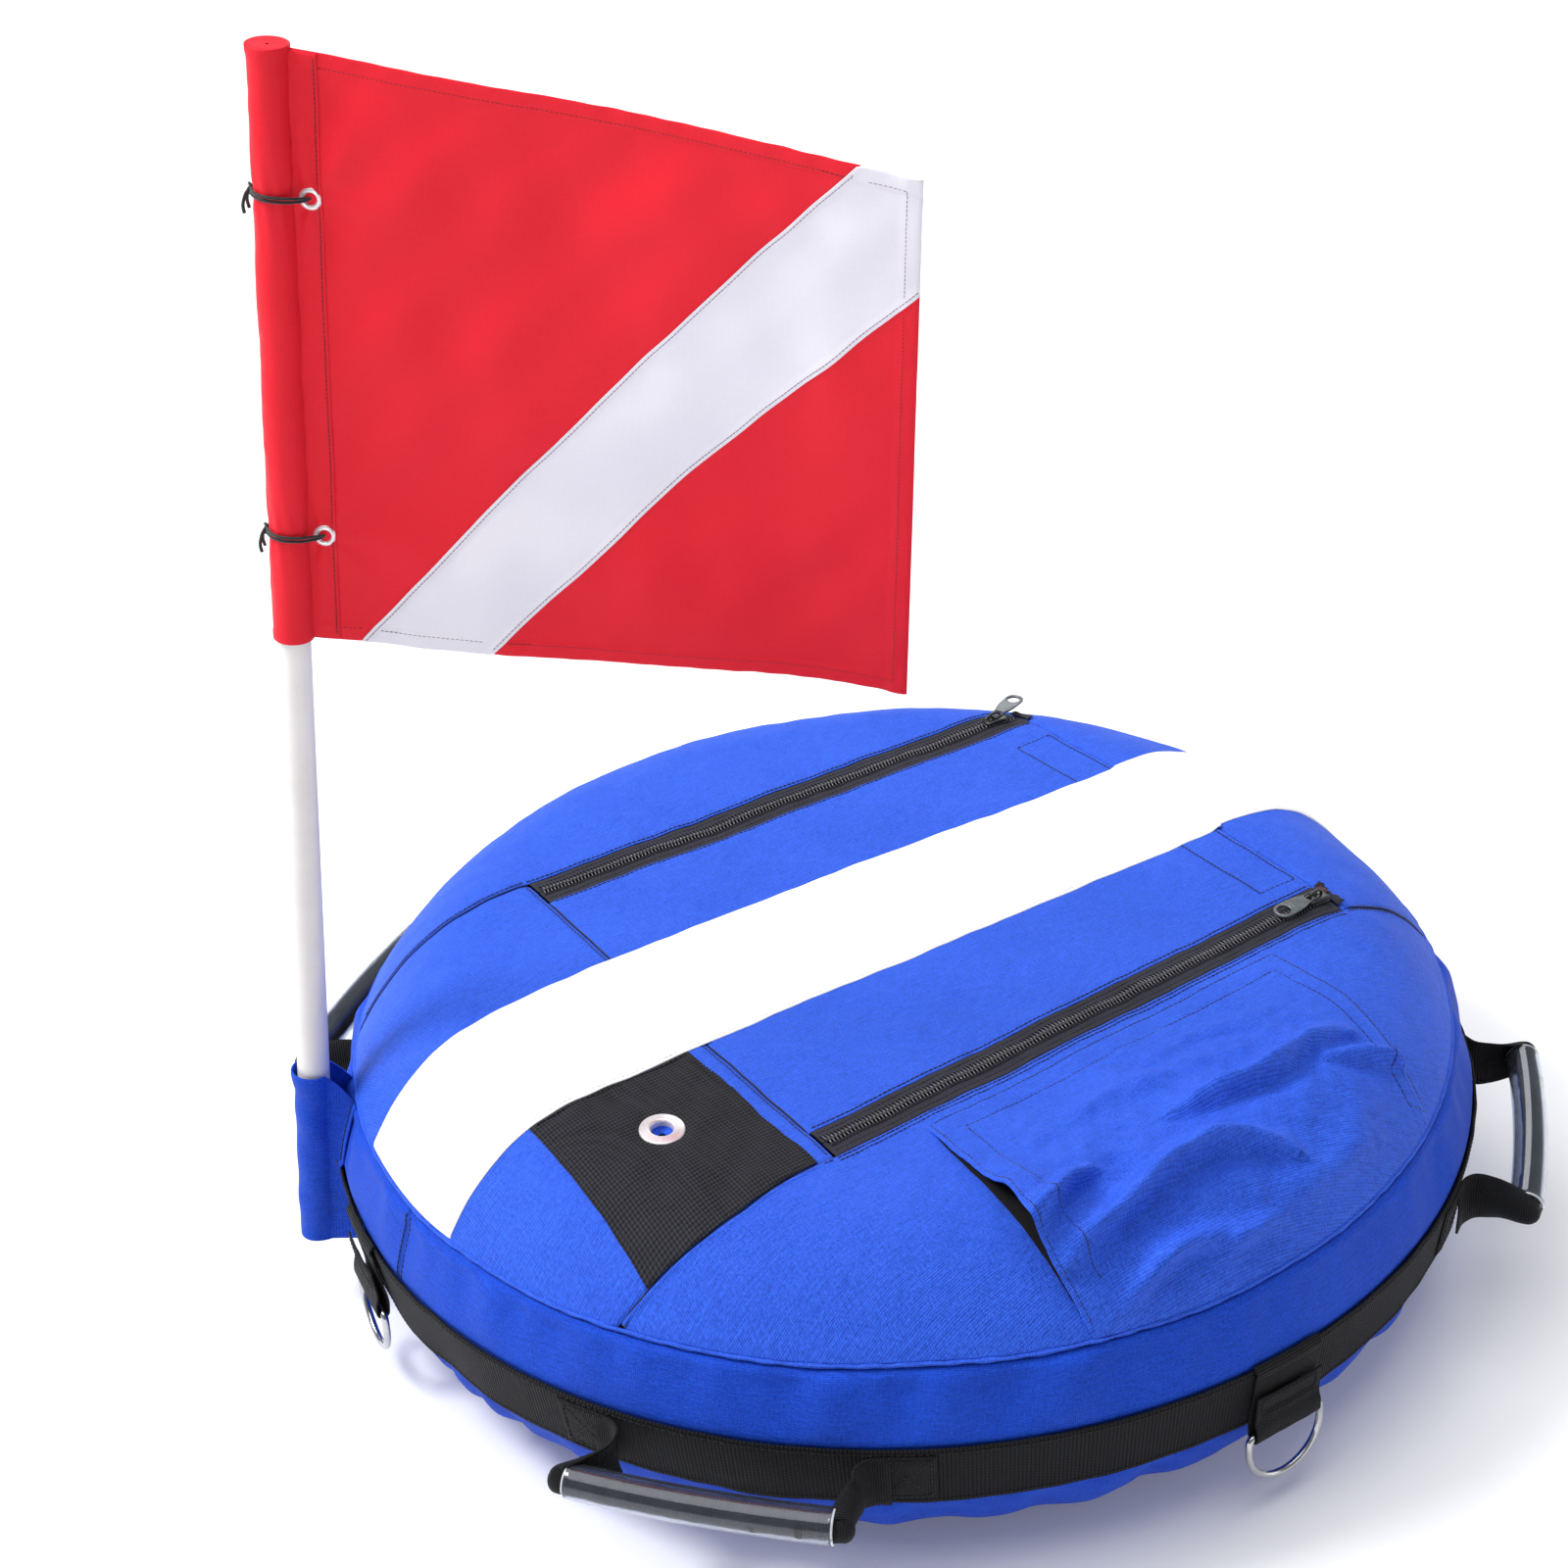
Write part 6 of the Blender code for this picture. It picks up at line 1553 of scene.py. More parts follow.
def rings():
    for tag, az in RINGS.items():
        path = [(0.3980, 0.1218), (0.3994, 0.1213), (0.4010, 0.1180), (0.4004, 0.1110), (0.3984, 0.0990), (0.3960, 0.0860), (0.3938, 0.0745)]
        for k in range(0, 9):
            a = PI + PI * k / 8
            path.append((RX + 0.0040 * math.cos(a), RZ + 0.0040 * math.sin(a)))
        path += [(0.4018, 0.0712), (0.4006, 0.0780), (0.4012, 0.0860), (0.4026, 0.0950), (0.4030, 0.0990)]
        q = smooth_line(path, 0.0011)
        y = np.r_[-0.025, -0.0246, -0.0238, np.linspace(-0.022, 0.022, 22), 0.0238, 0.0246, 0.025] * 1.07
        X = np.broadcast_to(q[:, None, 0], (len(q), len(y))).copy()
        Z = np.broadcast_to(q[:, None, 1], X.shape).copy()
        Y = np.broadcast_to(y[None], X.shape)
        d = np.r_[0, np.cumsum(np.linalg.norm(np.diff(q, axis=0), axis=1))]
        D = np.broadcast_to(d[:, None], X.shape)
        X = X - (Y ** 2) / 0.80 * sstep(0.060, 0.090, Z) + 0.00016 * waves(D, Y, 0.016, 160 + int(az) % 9)
        X = X + 0.0011 * np.exp(-((Z - 0.1172) / 0.0024) ** 2) * (D < 0.03) - 0.0004 * np.exp(-((Z - 0.1128) / 0.0010) ** 2) * (D < 0.03)
        G = rot_z(np.stack([X, Y, Z], -1), az)
        uv = np.stack([D, Y], -1)
        sheetgrid("ring_web_" + tag, G, "webbing_strap", uv, 0.0015, stand=("ring_tab_" + tag,), offset=0.0)
        L = []
        er_ = rot_z(np.array([1.0, 0, 0]), az)
        for zz, xx in ((0.1128, 0.4006), (0.0825, 0.4019), (0.0855, 0.4022), (0.0965, 0.4038)):
            yy = np.linspace(-0.0225, 0.0225, 40)
            L.append((rot_z(np.stack([xx - yy ** 2 / 0.80, yy, zz + 0 * yy], -1), az), er_))
        for y0 in (-0.0225, 0.0225):
            zz = np.linspace(0.0855, 0.0965, 12)
            L.append((rot_z(np.stack([np.interp(zz, [0.0855, 0.0965], [0.4022, 0.4038]) - y0 ** 2 / 0.80, y0 + 0 * zz, zz], -1), az), er_))
        stitches("ring_web_stitches_" + tag, L, "thread_black", rad=0.0004)
        line = [(-RW + 0.006, 0.0), (-0.012, 0.0), (0.0, 0.0), (0.012, 0.0), (RW - 0.006, 0.0)]
        line += [(RW - 0.0030, -0.0003), (RW - 0.0009, -0.0018), (RW, -0.0050)]
        for k in range(0, 25):
            a = -PI * k / 24
            line.append((RW * math.cos(a), -RSIDE + RW * math.sin(a)))
        line += [(-RW, -0.0050), (-RW + 0.0009, -0.0018), (-RW + 0.0030, -0.0003)]
        pts = closed_spline(line, 4)
        P = rot_z(np.array([(RX, a, RZ + b) for a, b in pts]), az)
        V, F = tube(P, 0.0025, up=er_, n=16, closed=True)
        mesh("d_ring_wire_" + tag, V, F, "ring_steel", body="ring_" + tag, stand=("d_ring_" + tag,))


rings()

# ------------------------------------------------------------ pole and sleeve
er = np.array([math.cos(math.radians(156.5)), math.sin(math.radians(156.5)), 0])
tl = math.radians(5.0)
pd = np.array([0, 0, 1.0]) * math.cos(tl) - er * math.sin(tl)
p12 = er * (0.3995 + 0.0005 + 0.0135) + np.array([0, 0, 0.12])
foot = p12 - pd * ((0.12 - 0.055) / pd[2])
side_v = np.cross(pd, er)
side_v /= np.linalg.norm(side_v)
fwd_v = np.cross(side_v, pd)
tan_v = np.array([-er[1], er[0], 0])
POLE_R = 0.011
FS = (0.470, 0.859)
FLAG_L = 0.394
HOIST_R = 0.0129


def pole_pt(r, a, z):
    """Point round the pole: radius, angle from outward, length from the foot."""
    r, a, z = np.broadcast_arrays(np.asarray(r, float), np.asarray(a, float), np.asarray(z, float))
    return foot + fwd_v * (r * np.cos(a))[..., None] + side_v * (r * np.sin(a))[..., None] + pd * z[..., None]


def revolve(name, prof, mat, n=40, body="pole", stand=(), wob=None, uvr=None, thick=None):
    a = np.arange(n) * 2 * PI / n
    pr = np.array(prof, float)
    A, Z = np.meshgrid(a, pr[:, 1], indexing="ij")
    R = np.broadcast_to(pr[None, :, 0], A.shape)
    if wob is not None:
        R = R + wob(A, Z)
    d = np.r_[0, np.cumsum(np.hypot(*np.diff(pr, axis=0).T))]
    uv = np.stack([A * (uvr or pr[:, 0].max()), np.broadcast_to(d[None], A.shape)], -1)
    P = pole_pt(R, A, Z)
    ax = foot

    def up(m):
        w = m - ax
        w = w - (w @ pd)[:, None] * pd
        return w
    return sheetgrid(name, P, mat, uv, thick, ci=True, body=body, stand=stand, up=up)


def pole():
    top = FS[1] - 0.004
    revolve("pole_tube", [(0.0090, 0.0030), (0.0102, 0.0022), (0.0110, 0.0030)] + [(0.0110, z) for z in np.linspace(0.006, top - 0.002, 60)]
            + [(0.0109, top - 0.0006), (0.0105, top - 0.0001), (0.0098, top), (0.0091, top - 0.0004), (0.0090, top - 0.002), (0.0090, top - 0.02)],
            "pole_white", 56, stand=("flag_pole",))
    revolve("pole_plug", [(0.0002, 0.0), (0.0060, 0.0), (0.0078, 0.0002), (0.0092, 0.0007), (0.0102, 0.0014), (0.0104, 0.0020), (0.0090, 0.0021)],
            "pole_white", 48, stand=("pole_foot_plug",))
    # sleeve: a cloth tube with a web on each side, sewn to the cover
    zs = np.r_[-0.0022, -0.0016, -0.0006, np.linspace(0.0015, 0.118, 42), 0.1215, 0.1240, 0.1262, 0.1280, 0.1290, 0.1296]
    SL = 0.135 / pd[2]
    zs = np.r_[zs[:-8], np.linspace(zs[-8], SL - 0.0006, 8), SL]
    th = np.radians(np.linspace(-125, 125, 46))
    rows = []
    for z in zs:
        hem = 0.0007 * sstep(SL - 0.0125, SL - 0.0115, z) - 0.0005 * math.exp(-((SL - z) / 0.0008) ** 2)
        low = sstep(0.020, -0.002, z)
        rad = 0.0137 + hem + 0.0005 * waves(np.full(len(th), z), th * 0.013, 0.03, 170) + 0.0009 * sstep(SL - 0.02, SL, z) * np.cos(th) ** 2
        rad = rad - 0.0004 * math.exp(-((SL - z - 0.0100) / 0.0009) ** 2)
        rad = rad - 0.0020 * low * 0
        arc = pole_pt(rad, th, z)
        row = [arc]
        # the web on each side runs to the cover
        for sgn, edge in ((-1, arc[0]), (1, arc[-1])):
            zc = min(edge[2], 0.1680)
            if 0.069 < zc < 0.121:
                rw = band_r(min(max(zc, 0.0705), 0.1195)) + 0.0008
            else:
                rw = np.interp(zc, WZ[::-1], WR[::-1]) + 0.0010
            if zc < 0.069:
                rw = max(rw, 0.3895)
            aw = math.radians(156.5) + sgn * 0.0165 / 0.397
            far_p = np.array([rw * math.cos(aw), rw * math.sin(aw), zc])
            ap = math.radians(156.5) + sgn * 0.0235 / 0.397
            flange = np.array([(rw - 0.0002) * math.cos(ap), (rw - 0.0002) * math.sin(ap), zc])
            run = [lerp(edge, far_p, t) + er * (-0.0016 * math.sin(PI * t)) for t in (0.25, 0.5, 0.75, 0.92)] + [far_p, lerp(far_p, flange, 0.5), flange]
            run = np.array(run)
            row.insert(0 if sgn < 0 else len(row), run[::-1] if sgn < 0 else run)
        rows.append(np.concatenate(row))
    P = np.array(rows)
    d = np.cumsum(np.r_[0, np.linalg.norm(np.diff(P[20], axis=0), axis=1)])
    uv = np.stack([np.broadcast_to(d, P.shape[:2]), np.broadcast_to(zs[:, None], P.shape[:2])], -1)

    def up(m):
        w = m - foot
        return w - (w @ pd)[:, None] * pd
    # the sleeve takes the darker blue copy of the cover's cloth: painted shade
    sheetgrid("sleeve_cloth", P, "cover_blue_painted_shade", uv, 0.0012, up=up, stand=("flag_sleeve",))
    # closed foot of the sleeve
    r = np.linspace(0.0002, 0.0136, 8)
    A = np.arange(48) * 2 * PI / 48
    AA, RR = np.meshgrid(A, r, indexing="ij")
    sheetgrid("sleeve_foot", pole_pt(RR, AA, -0.0021 + 0.0006 * (RR / 0.0136) ** 4), "cover_blue", np.stack([RR * np.cos(AA), RR * np.sin(AA)], -1),
              None, ci=True, up=tuple(-pd))
    L = []
    a = np.linspace(-1.9, 1.9, 90)
    n = fwd_v[None] * np.cos(a)[:, None] + side_v[None] * np.sin(a)[:, None]
    L.append((pole_pt(0.0141, a, SL - 0.0100), n))
    for col in (2, P.shape[1] - 3):
        L.append((P[3:-6, col] + er * 0.0004, er))
    stitches("sleeve_stitches", L)


pole()

# ------------------------------------------------------------ flag
def ang_dir(az, dip):
    a, d = math.radians(az), math.radians(dip)
    return np.array([math.cos(a) * math.cos(d), math.sin(a) * math.cos(d), -math.sin(d)])


h0, h1 = foot + pd * FS[0], foot + pd * FS[1]
c_low = h0 + ang_dir(-31.8, 9.4) * FLAG_L
c_top = h1 + ang_dir(-44.4, 10.5) * FLAG_L
S0 = (HOIST_R + 0.0004) / FLAG_L
UP0, UP1, DN0 = 0.112, 0.905, 0.318


def edge_up(s):
    return (s - UP0) / (UP1 - UP0)


def edge_dn(s):
    return (s - DN0) / (1.185 - DN0) * 1.02


def flag_base(s, t):
    s, t = np.broadcast_arrays(np.asarray(s, float), np.asarray(t, float))
    A = h0 + (c_low - h0) * s[..., None]
    B = h1 + (c_top - h1) * s[..., None]
    return A + (B - A) * t[..., None]


def flag_normal(s, t):
    e = 1e-3
    du = flag_base(s + e, t) - flag_base(s - e, t)
    dv = flag_base(s, t + e) - flag_base(s, t - e)
    n = np.cross(du, dv)
    return n / np.linalg.norm(n, axis=-1, keepdims=True)


def flag_wave(s, t):
    w = 0.007 * np.sin(2.2 * PI * s + 1.1 * t) * s ** 1.2
    x, y = s * 0.394, t * 0.389
    soft = 0.0042 * waves(x * 0.5 + y * 0.5, (y - x) * 0.8, 0.17, 181, 9) + 0.0010 * waves(x * 0.8, y * 0.6, 0.06, 182, 12)
    # creases fanning out from the two eyelets
    fan = 0.0
    for ty, sg in ((0.19, 1), (0.765, 1)):
        dx, dy = x - 0.023, y - ty * 0.389
        r = np.hypot(dx, dy) + 1e-6
        a = np.arctan2(dy, dx)
        fan = fan + 0.0011 * np.sin(7 * a + 1.0) * np.exp(-(r / 0.055)) * sstep(0.004, 0.012, r)
    edge = np.maximum(np.minimum(np.minimum(t, 1 - t) * 0.389, (1 - s) * 0.394), 0.0)
    ripple = 0.0003 * waves(x, y, 0.028, 183, 10) * np.exp(-edge / 0.018)
    # the hems hold the edges nearly straight; soft creases lie across the cloth
    soft = soft * (0.30 + 0.70 * sstep(0.0, 0.075, edge))
    soft = soft + 0.0016 * waves((x + y) * 0.35, (x - y) * 1.0, 0.085, 184, 10) * sstep(0.0, 0.05, edge)
    for e in (edge_up(s), edge_dn(s)):          # puckers along the two slanted seams
        d = np.abs(t - e) * 0.389 * 0.71
        ripple = ripple + 0.00075 * waves((x + y) * 0.7, 0.25 * (x - y), 0.034, 185, 9) * np.exp(-d / 0.014) * sstep(0.0, 0.02, edge)
    return w + (soft + ripple) * sstep(0.03, 0.12, s) + fan * sstep(0.03, 0.045, s)


HEM = 0.0115


def flag_thick(s, t):
    """Extra height of hems and stitched lines."""
    top, bot, fly = (1 - t) * 0.389, t * 0.389, (1 - s) * 0.394
    z = 0.0
    for d in (top, bot, fly):
        z = z + 0.00055 * (1 - sstep(HEM - 0.0006, HEM + 0.0004, d)) - 0.0004 * np.exp(-((d - (HEM - 0.0022)) / 0.0008) ** 2) \
            - 0.0005 * np.exp(-(d / 0.0007) ** 2)
    return z


def flag_point(s, t, off=0.0):
    s, t = np.broadcast_arrays(np.asarray(s, float), np.asarray(t, float))
    return flag_base(s, t) + flag_normal(s, t) * (flag_wave(s, t) + flag_thick(s, t) + off)[..., None]


# the side of the sheet that the stripe's seams stand out on
CAMSIDE = -1.0 if float(flag_normal(0.5, 0.5) @ (np.array([-1.094, -1.724, 1.571]) - flag_base(0.5, 0.5))) < 0 else 1.0


def flag_piece(name, mat, ta, tb, stops, stand, flat, ns=7, seams=(0, 0)):
    cols = []
    for i, (p, q) in enumerate(zip(stops[:-1], stops[1:])):
        n = max(3, int((q - p) / 0.0065))
        cols += list(np.linspace(p, q, n, endpoint=False))
    cols.append(stops[-1])
    cols = np.array(cols)
    lo, hi = np.clip(ta(cols), 0, 1), np.clip(tb(cols), 0, 1)
    L = np.maximum((hi - lo) * 0.389, 1e-4)
    rows = []
    for l in L:
        k = min(1.0, l / 0.034)
        a = np.array([0, 0.0006, 0.0014, 0.0026, 0.0044, 0.0072, 0.0110]) * k
        rows.append(np.r_[a, np.linspace(a[-1], l - a[-1], 104)[1:-1], l - a[::-1]] / l)
    R = np.array(rows)
    T = lo[:, None] + (hi - lo)[:, None] * R
    S = np.broadcast_to(cols[:, None], T.shape)
    sl = 0.71                                   # distance square to a slanted seam
    d0, d1 = (T - ta(cols)[:, None]) * 0.389 * sl, (tb(cols)[:, None] - T) * 0.389 * sl
    off = 0.0
    for d, on in ((d0, seams[0]), (d1, seams[1])):
        if on == 1:                             # lies over its neighbour
            off = off + 0.00075 * (1 - sstep(0.0040, 0.0050, d)) - 0.0004 * np.exp(-((d - 0.0026) / 0.0007) ** 2)
        elif on == -1:
            off = off - 0.0003 * np.exp(-(d / 0.002) ** 2)
    P = flag_base(S, T) + flag_normal(S, T) * (flag_wave(S, T) + CAMSIDE * (flag_thick(S, T) + off))[..., None]
    uv = np.stack([S * 0.394, T * 0.389], -1)
    ob = sheetgrid(name, P, mat, uv, 0.0005, offset=0.0, body="flag", stand=stand)
    area = float(np.sum((hi - lo)[:-1] * np.diff(cols)) * 0.389 * 0.394)
    return ob, area


def flag():
    up_o, a_up = flag_piece("flag_red_upper", "flag_red", lambda s: edge_up(s) + 0.0006, lambda s: 1.0 + 0 * s, [S0, UP0, DN0, UP1], ("flag_panel_upper",),
                            None, seams=(-1, 0))
    st_o, a_st = flag_piece("flag_white_stripe", "flag_white", lambda s: edge_dn(s) - 0.0050, lambda s: edge_up(s) + 0.0050, [UP0, DN0, UP1, 1.0], ("flag_stripe",),
                            None, seams=(1, 1))
    dn_o, a_dn = flag_piece("flag_red_lower", "flag_red", lambda s: 0.0 * s, lambda s: edge_dn(s) - 0.0006, [DN0, UP1, 1.0], ("flag_panel_lower",),
                            None, seams=(0, -1))
    # hoist hem: cloth drawn round the pole
    zs = np.r_[FS[0] - 0.0005, FS[0] + 0.0004, FS[0] + 0.0016, np.linspace(FS[0] + 0.004, FS[1] - 0.004, 110), FS[1] - 0.0012, FS[1] - 0.0002]
    H = FS[1] - FS[0]

    def wob(A, Z):
        t = (Z - FS[0]) / H
        pinch = sum(np.exp(-((Z - (FS[0] + k * H)) / 0.006) ** 2) for k in (0.19, 0.765))
        w = 0.00035 * waves(Z, A * 0.013, 0.06, 190) + 0.00012 * waves(Z, A * 0.013, 0.02, 191)
        w = w + 0.0005 * np.sin(9 * A + 30 * t) * sum(np.exp(-np.abs(Z - (FS[0] + k * H)) / 0.016) for k in (0.19, 0.765))
        return np.maximum(w - 0.0008 * pinch, -0.0012) + 0.0006 * (1 - sstep(0.004, 0.006, np.minimum(Z - FS[0], FS[1] - Z)))
    revolve("flag_hoist", [(HOIST_R, z) for z in zs] + [(0.0122, FS[1] + 0.0002), (0.0100, FS[1] + 0.0004), (0.0070, FS[1] + 0.0001), (0.0035, FS[1] - 0.0004), (0.0002, FS[1] - 0.0005)],
            "flag_red", 64, body="flag", stand=("flag_hoist_hem",), wob=wob)
    # the hem's flat allowance on the sheet
    s = np.linspace(S0 - 0.010, S0 + 0.0170 / FLAG_L, 14)
    t = np.linspace(0.002, 0.998, 160)
    S, T = np.meshgrid(s, t, indexing="ij")
    off = CAMSIDE * (0.0005 + 0.0014 * sstep(S0 + 0.004, S0 - 0.010, S))
    P = flag_base(S, T) + flag_normal(S, T) * (flag_wave(S, T) + CAMSIDE * flag_thick(S, T) + off)[..., None]
    sheetgrid("flag_hem_allowance", P, "flag_red", np.stack([S * 0.394, T * 0.389], -1), 0.0005, offset=0.0, body="flag")
    # stitching
    nrm = CAMSIDE * flag_normal(0.5, 0.5)

    def run(s, t, off):
        P = flag_base(s, t) + flag_normal(s, t) * (flag_wave(s, t) + CAMSIDE * (flag_thick(s, t) + off))[..., None]
        return P, CAMSIDE * flag_normal(s, t)
    hs, ht = 1 - (HEM - 0.0022) / FLAG_L, (HEM - 0.0022) / 0.389
    w = np.linspace(0, 1, 420)
    red = [run(lerp(S0 + 0.02, UP1 - 0.01, w), 1 - ht + 0 * w, 0.0004), run(lerp(DN0 + 0.03, hs, w), ht + 0 * w, 0.0004),
           run(hs + 0 * w, lerp(ht, edge_dn(hs) - 0.02, w), 0.0004), run(lerp(S0 + 0.02, UP0, w), ht + 0 * w, 0.0004),
           run(S0 + 0.0145 / FLAG_L + 0 * w, lerp(0.01, 0.99, w), 0.0010)]
    stitches("flag_stitches_red", red, "thread_red", body="flag", length=0.0024, rad=0.00032)
    sv = 0.0026 / (0.389 * 0.71)
    s1, s2 = lerp(UP0 + 0.005, UP1 - 0.01, w), lerp(DN0 + 0.005, 0.998, w)
    white = [run(s1, edge_up(s1) + 0.0050 - sv, 0.0009), run(s2, edge_dn(s2) - 0.0050 + sv, 0.0009),
             run(hs + 0 * w, lerp(edge_dn(hs) + 0.005, 1 - ht, w), 0.0004), run(lerp(UP1 + 0.012, hs, w), 1 - ht + 0 * w, 0.0004),
             run(lerp(UP0 + 0.02, DN0 - 0.01, w), ht + 0 * w, 0.0004)]
    stitches("flag_stitches_white", white, "thread_grey", body="flag", length=0.0024, rad=0.00032)
    # eyelets and ties
    extra = []
    for k, (t, tg) in enumerate(((0.19, "lower"), (0.765, "upper"))):
        s = 0.058
        c0 = run(np.array(s), np.array(t), 0.0)[0]
        N = flag_normal(s, t)
        U_ = flag_base(s + 0.01, t) - flag_base(s - 0.01, t)
        U_ /= np.linalg.norm(U_)
        W_ = np.cross(N, U_)
        prof = np.array([(0.0038, 0.0), (0.0039, 0.0010), (0.0045, 0.0019), (0.0054, 0.0021), (0.0064, 0.0016), (0.0073, 0.0008), (0.0072, 0.0002),
                         (0.0072, -0.0002), (0.0073, -0.0008), (0.0064, -0.0016), (0.0054, -0.0021), (0.0045, -0.0019), (0.0039, -0.0010)])
        a = np.arange(48) * 2 * PI / 48
        G = c0 + prof[None, :, 0, None] * (np.cos(a)[:, None, None] * U_ + np.sin(a)[:, None, None] * W_) + prof[None, :, 1, None] * N
        extra.append(sheetgrid("flag_eyelet_ring_" + tg, G, "nickel", None, None, ci=True, cj=True, body="flag", stand=("flag_eyelet_" + tg,)))
        hub = foot + pd * lerp(FS[0], FS[1], t)
        ax = c0 - hub
        d = float(np.linalg.norm(ax))
        ax = ax / d
        up_ = pd - ax * float(pd @ ax)
        up_ /= np.linalg.norm(up_)
        nn = np.cross(ax, up_)
        R = HOIST_R + 0.0006
        for m_, dz in ((0, 0.0012), (1, -0.0013)):
            pts = [(R * math.cos(math.radians(q)), R * math.sin(math.radians(q)), dz) for q in range(70, 291, 20)]
            pts += [(0.0105, -0.0106, dz), (0.0175, -0.0060, dz * 0.8), (d - 0.0022, -0.0032, dz * 0.5), (d - 0.0004, -0.0012, 0.0),
                    (d - 0.0004, 0.0012, 0.0), (d - 0.0022, 0.0032, dz * 0.5), (0.0175, 0.0060, dz * 0.8), (0.0105, 0.0106, dz)]
            P = closed_spline3(pts, 5)
            P = hub + P[:, 0:1] * ax + P[:, 1:2] * nn + P[:, 2:3] * up_
            V, F = tube(P, 0.00090, up=up_, n=10, closed=True)
            extra.append(mesh("flag_tie_cord_%s_%d" % (tg, m_), V, F, "cord_black", body="flag",
                              stand=("flag_tie_" + tg,) if m_ == 0 else ()))
        # knot on the outer side of the pole with two short ends
        kn = hub - ax * (R + 0.0008)
        q = np.linspace(0, 2 * PI, 60)
        K = kn + (np.sin(q) + 2 * np.sin(2 * q))[:, None] * 0.0011 * up_ + (np.cos(q) - 2 * np.cos(2 * q))[:, None] * 0.0011 * nn - (np.sin(3 * q))[:, None] * 0.0010 * ax
        V, F = tube(K[:-1], 0.0010, up=ax, n=8, closed=True)
        extra.append(mesh("flag_tie_knot_" + tg, V, F, "cord_black", body="flag"))
        for j, (sx, sz) in enumerate(((1, -1), (-0.4, -1))):
            E = smooth_line([kn, kn - ax * 0.002 + nn * 0.003 * sx + up_ * 0.003 * sz, kn - ax * 0.0025 + nn * 0.006 * sx + up_ * 0.009 * sz,
                             kn - ax * 0.0010 + nn * 0.007 * sx + up_ * 0.014 * sz], 0.0008)
            V, F = tube(E, np.linspace(0.0010, 0.0012, len(E)), up=ax, n=8)
            extra.append(mesh("flag_tie_end_%s_%d" % (tg, j), V, F, "cord_black", body="flag"))


def closed_spline3(pts, n=6):
    P = np.asarray(pts, float)
    out = []
    for i in range(len(P)):
        a, b, c, d = P[i - 1], P[i], P[(i + 1) % len(P)], P[(i + 2) % len(P)]
        for t in np.linspace(0, 1, n, endpoint=False):
            out.append(0.5 * (2 * b + (c - a) * t + (2 * a - 5 * b + 4 * c - d) * t * t + (3 * b - a - 3 * c + d) * t ** 3))
    return np.array(out)


flag()

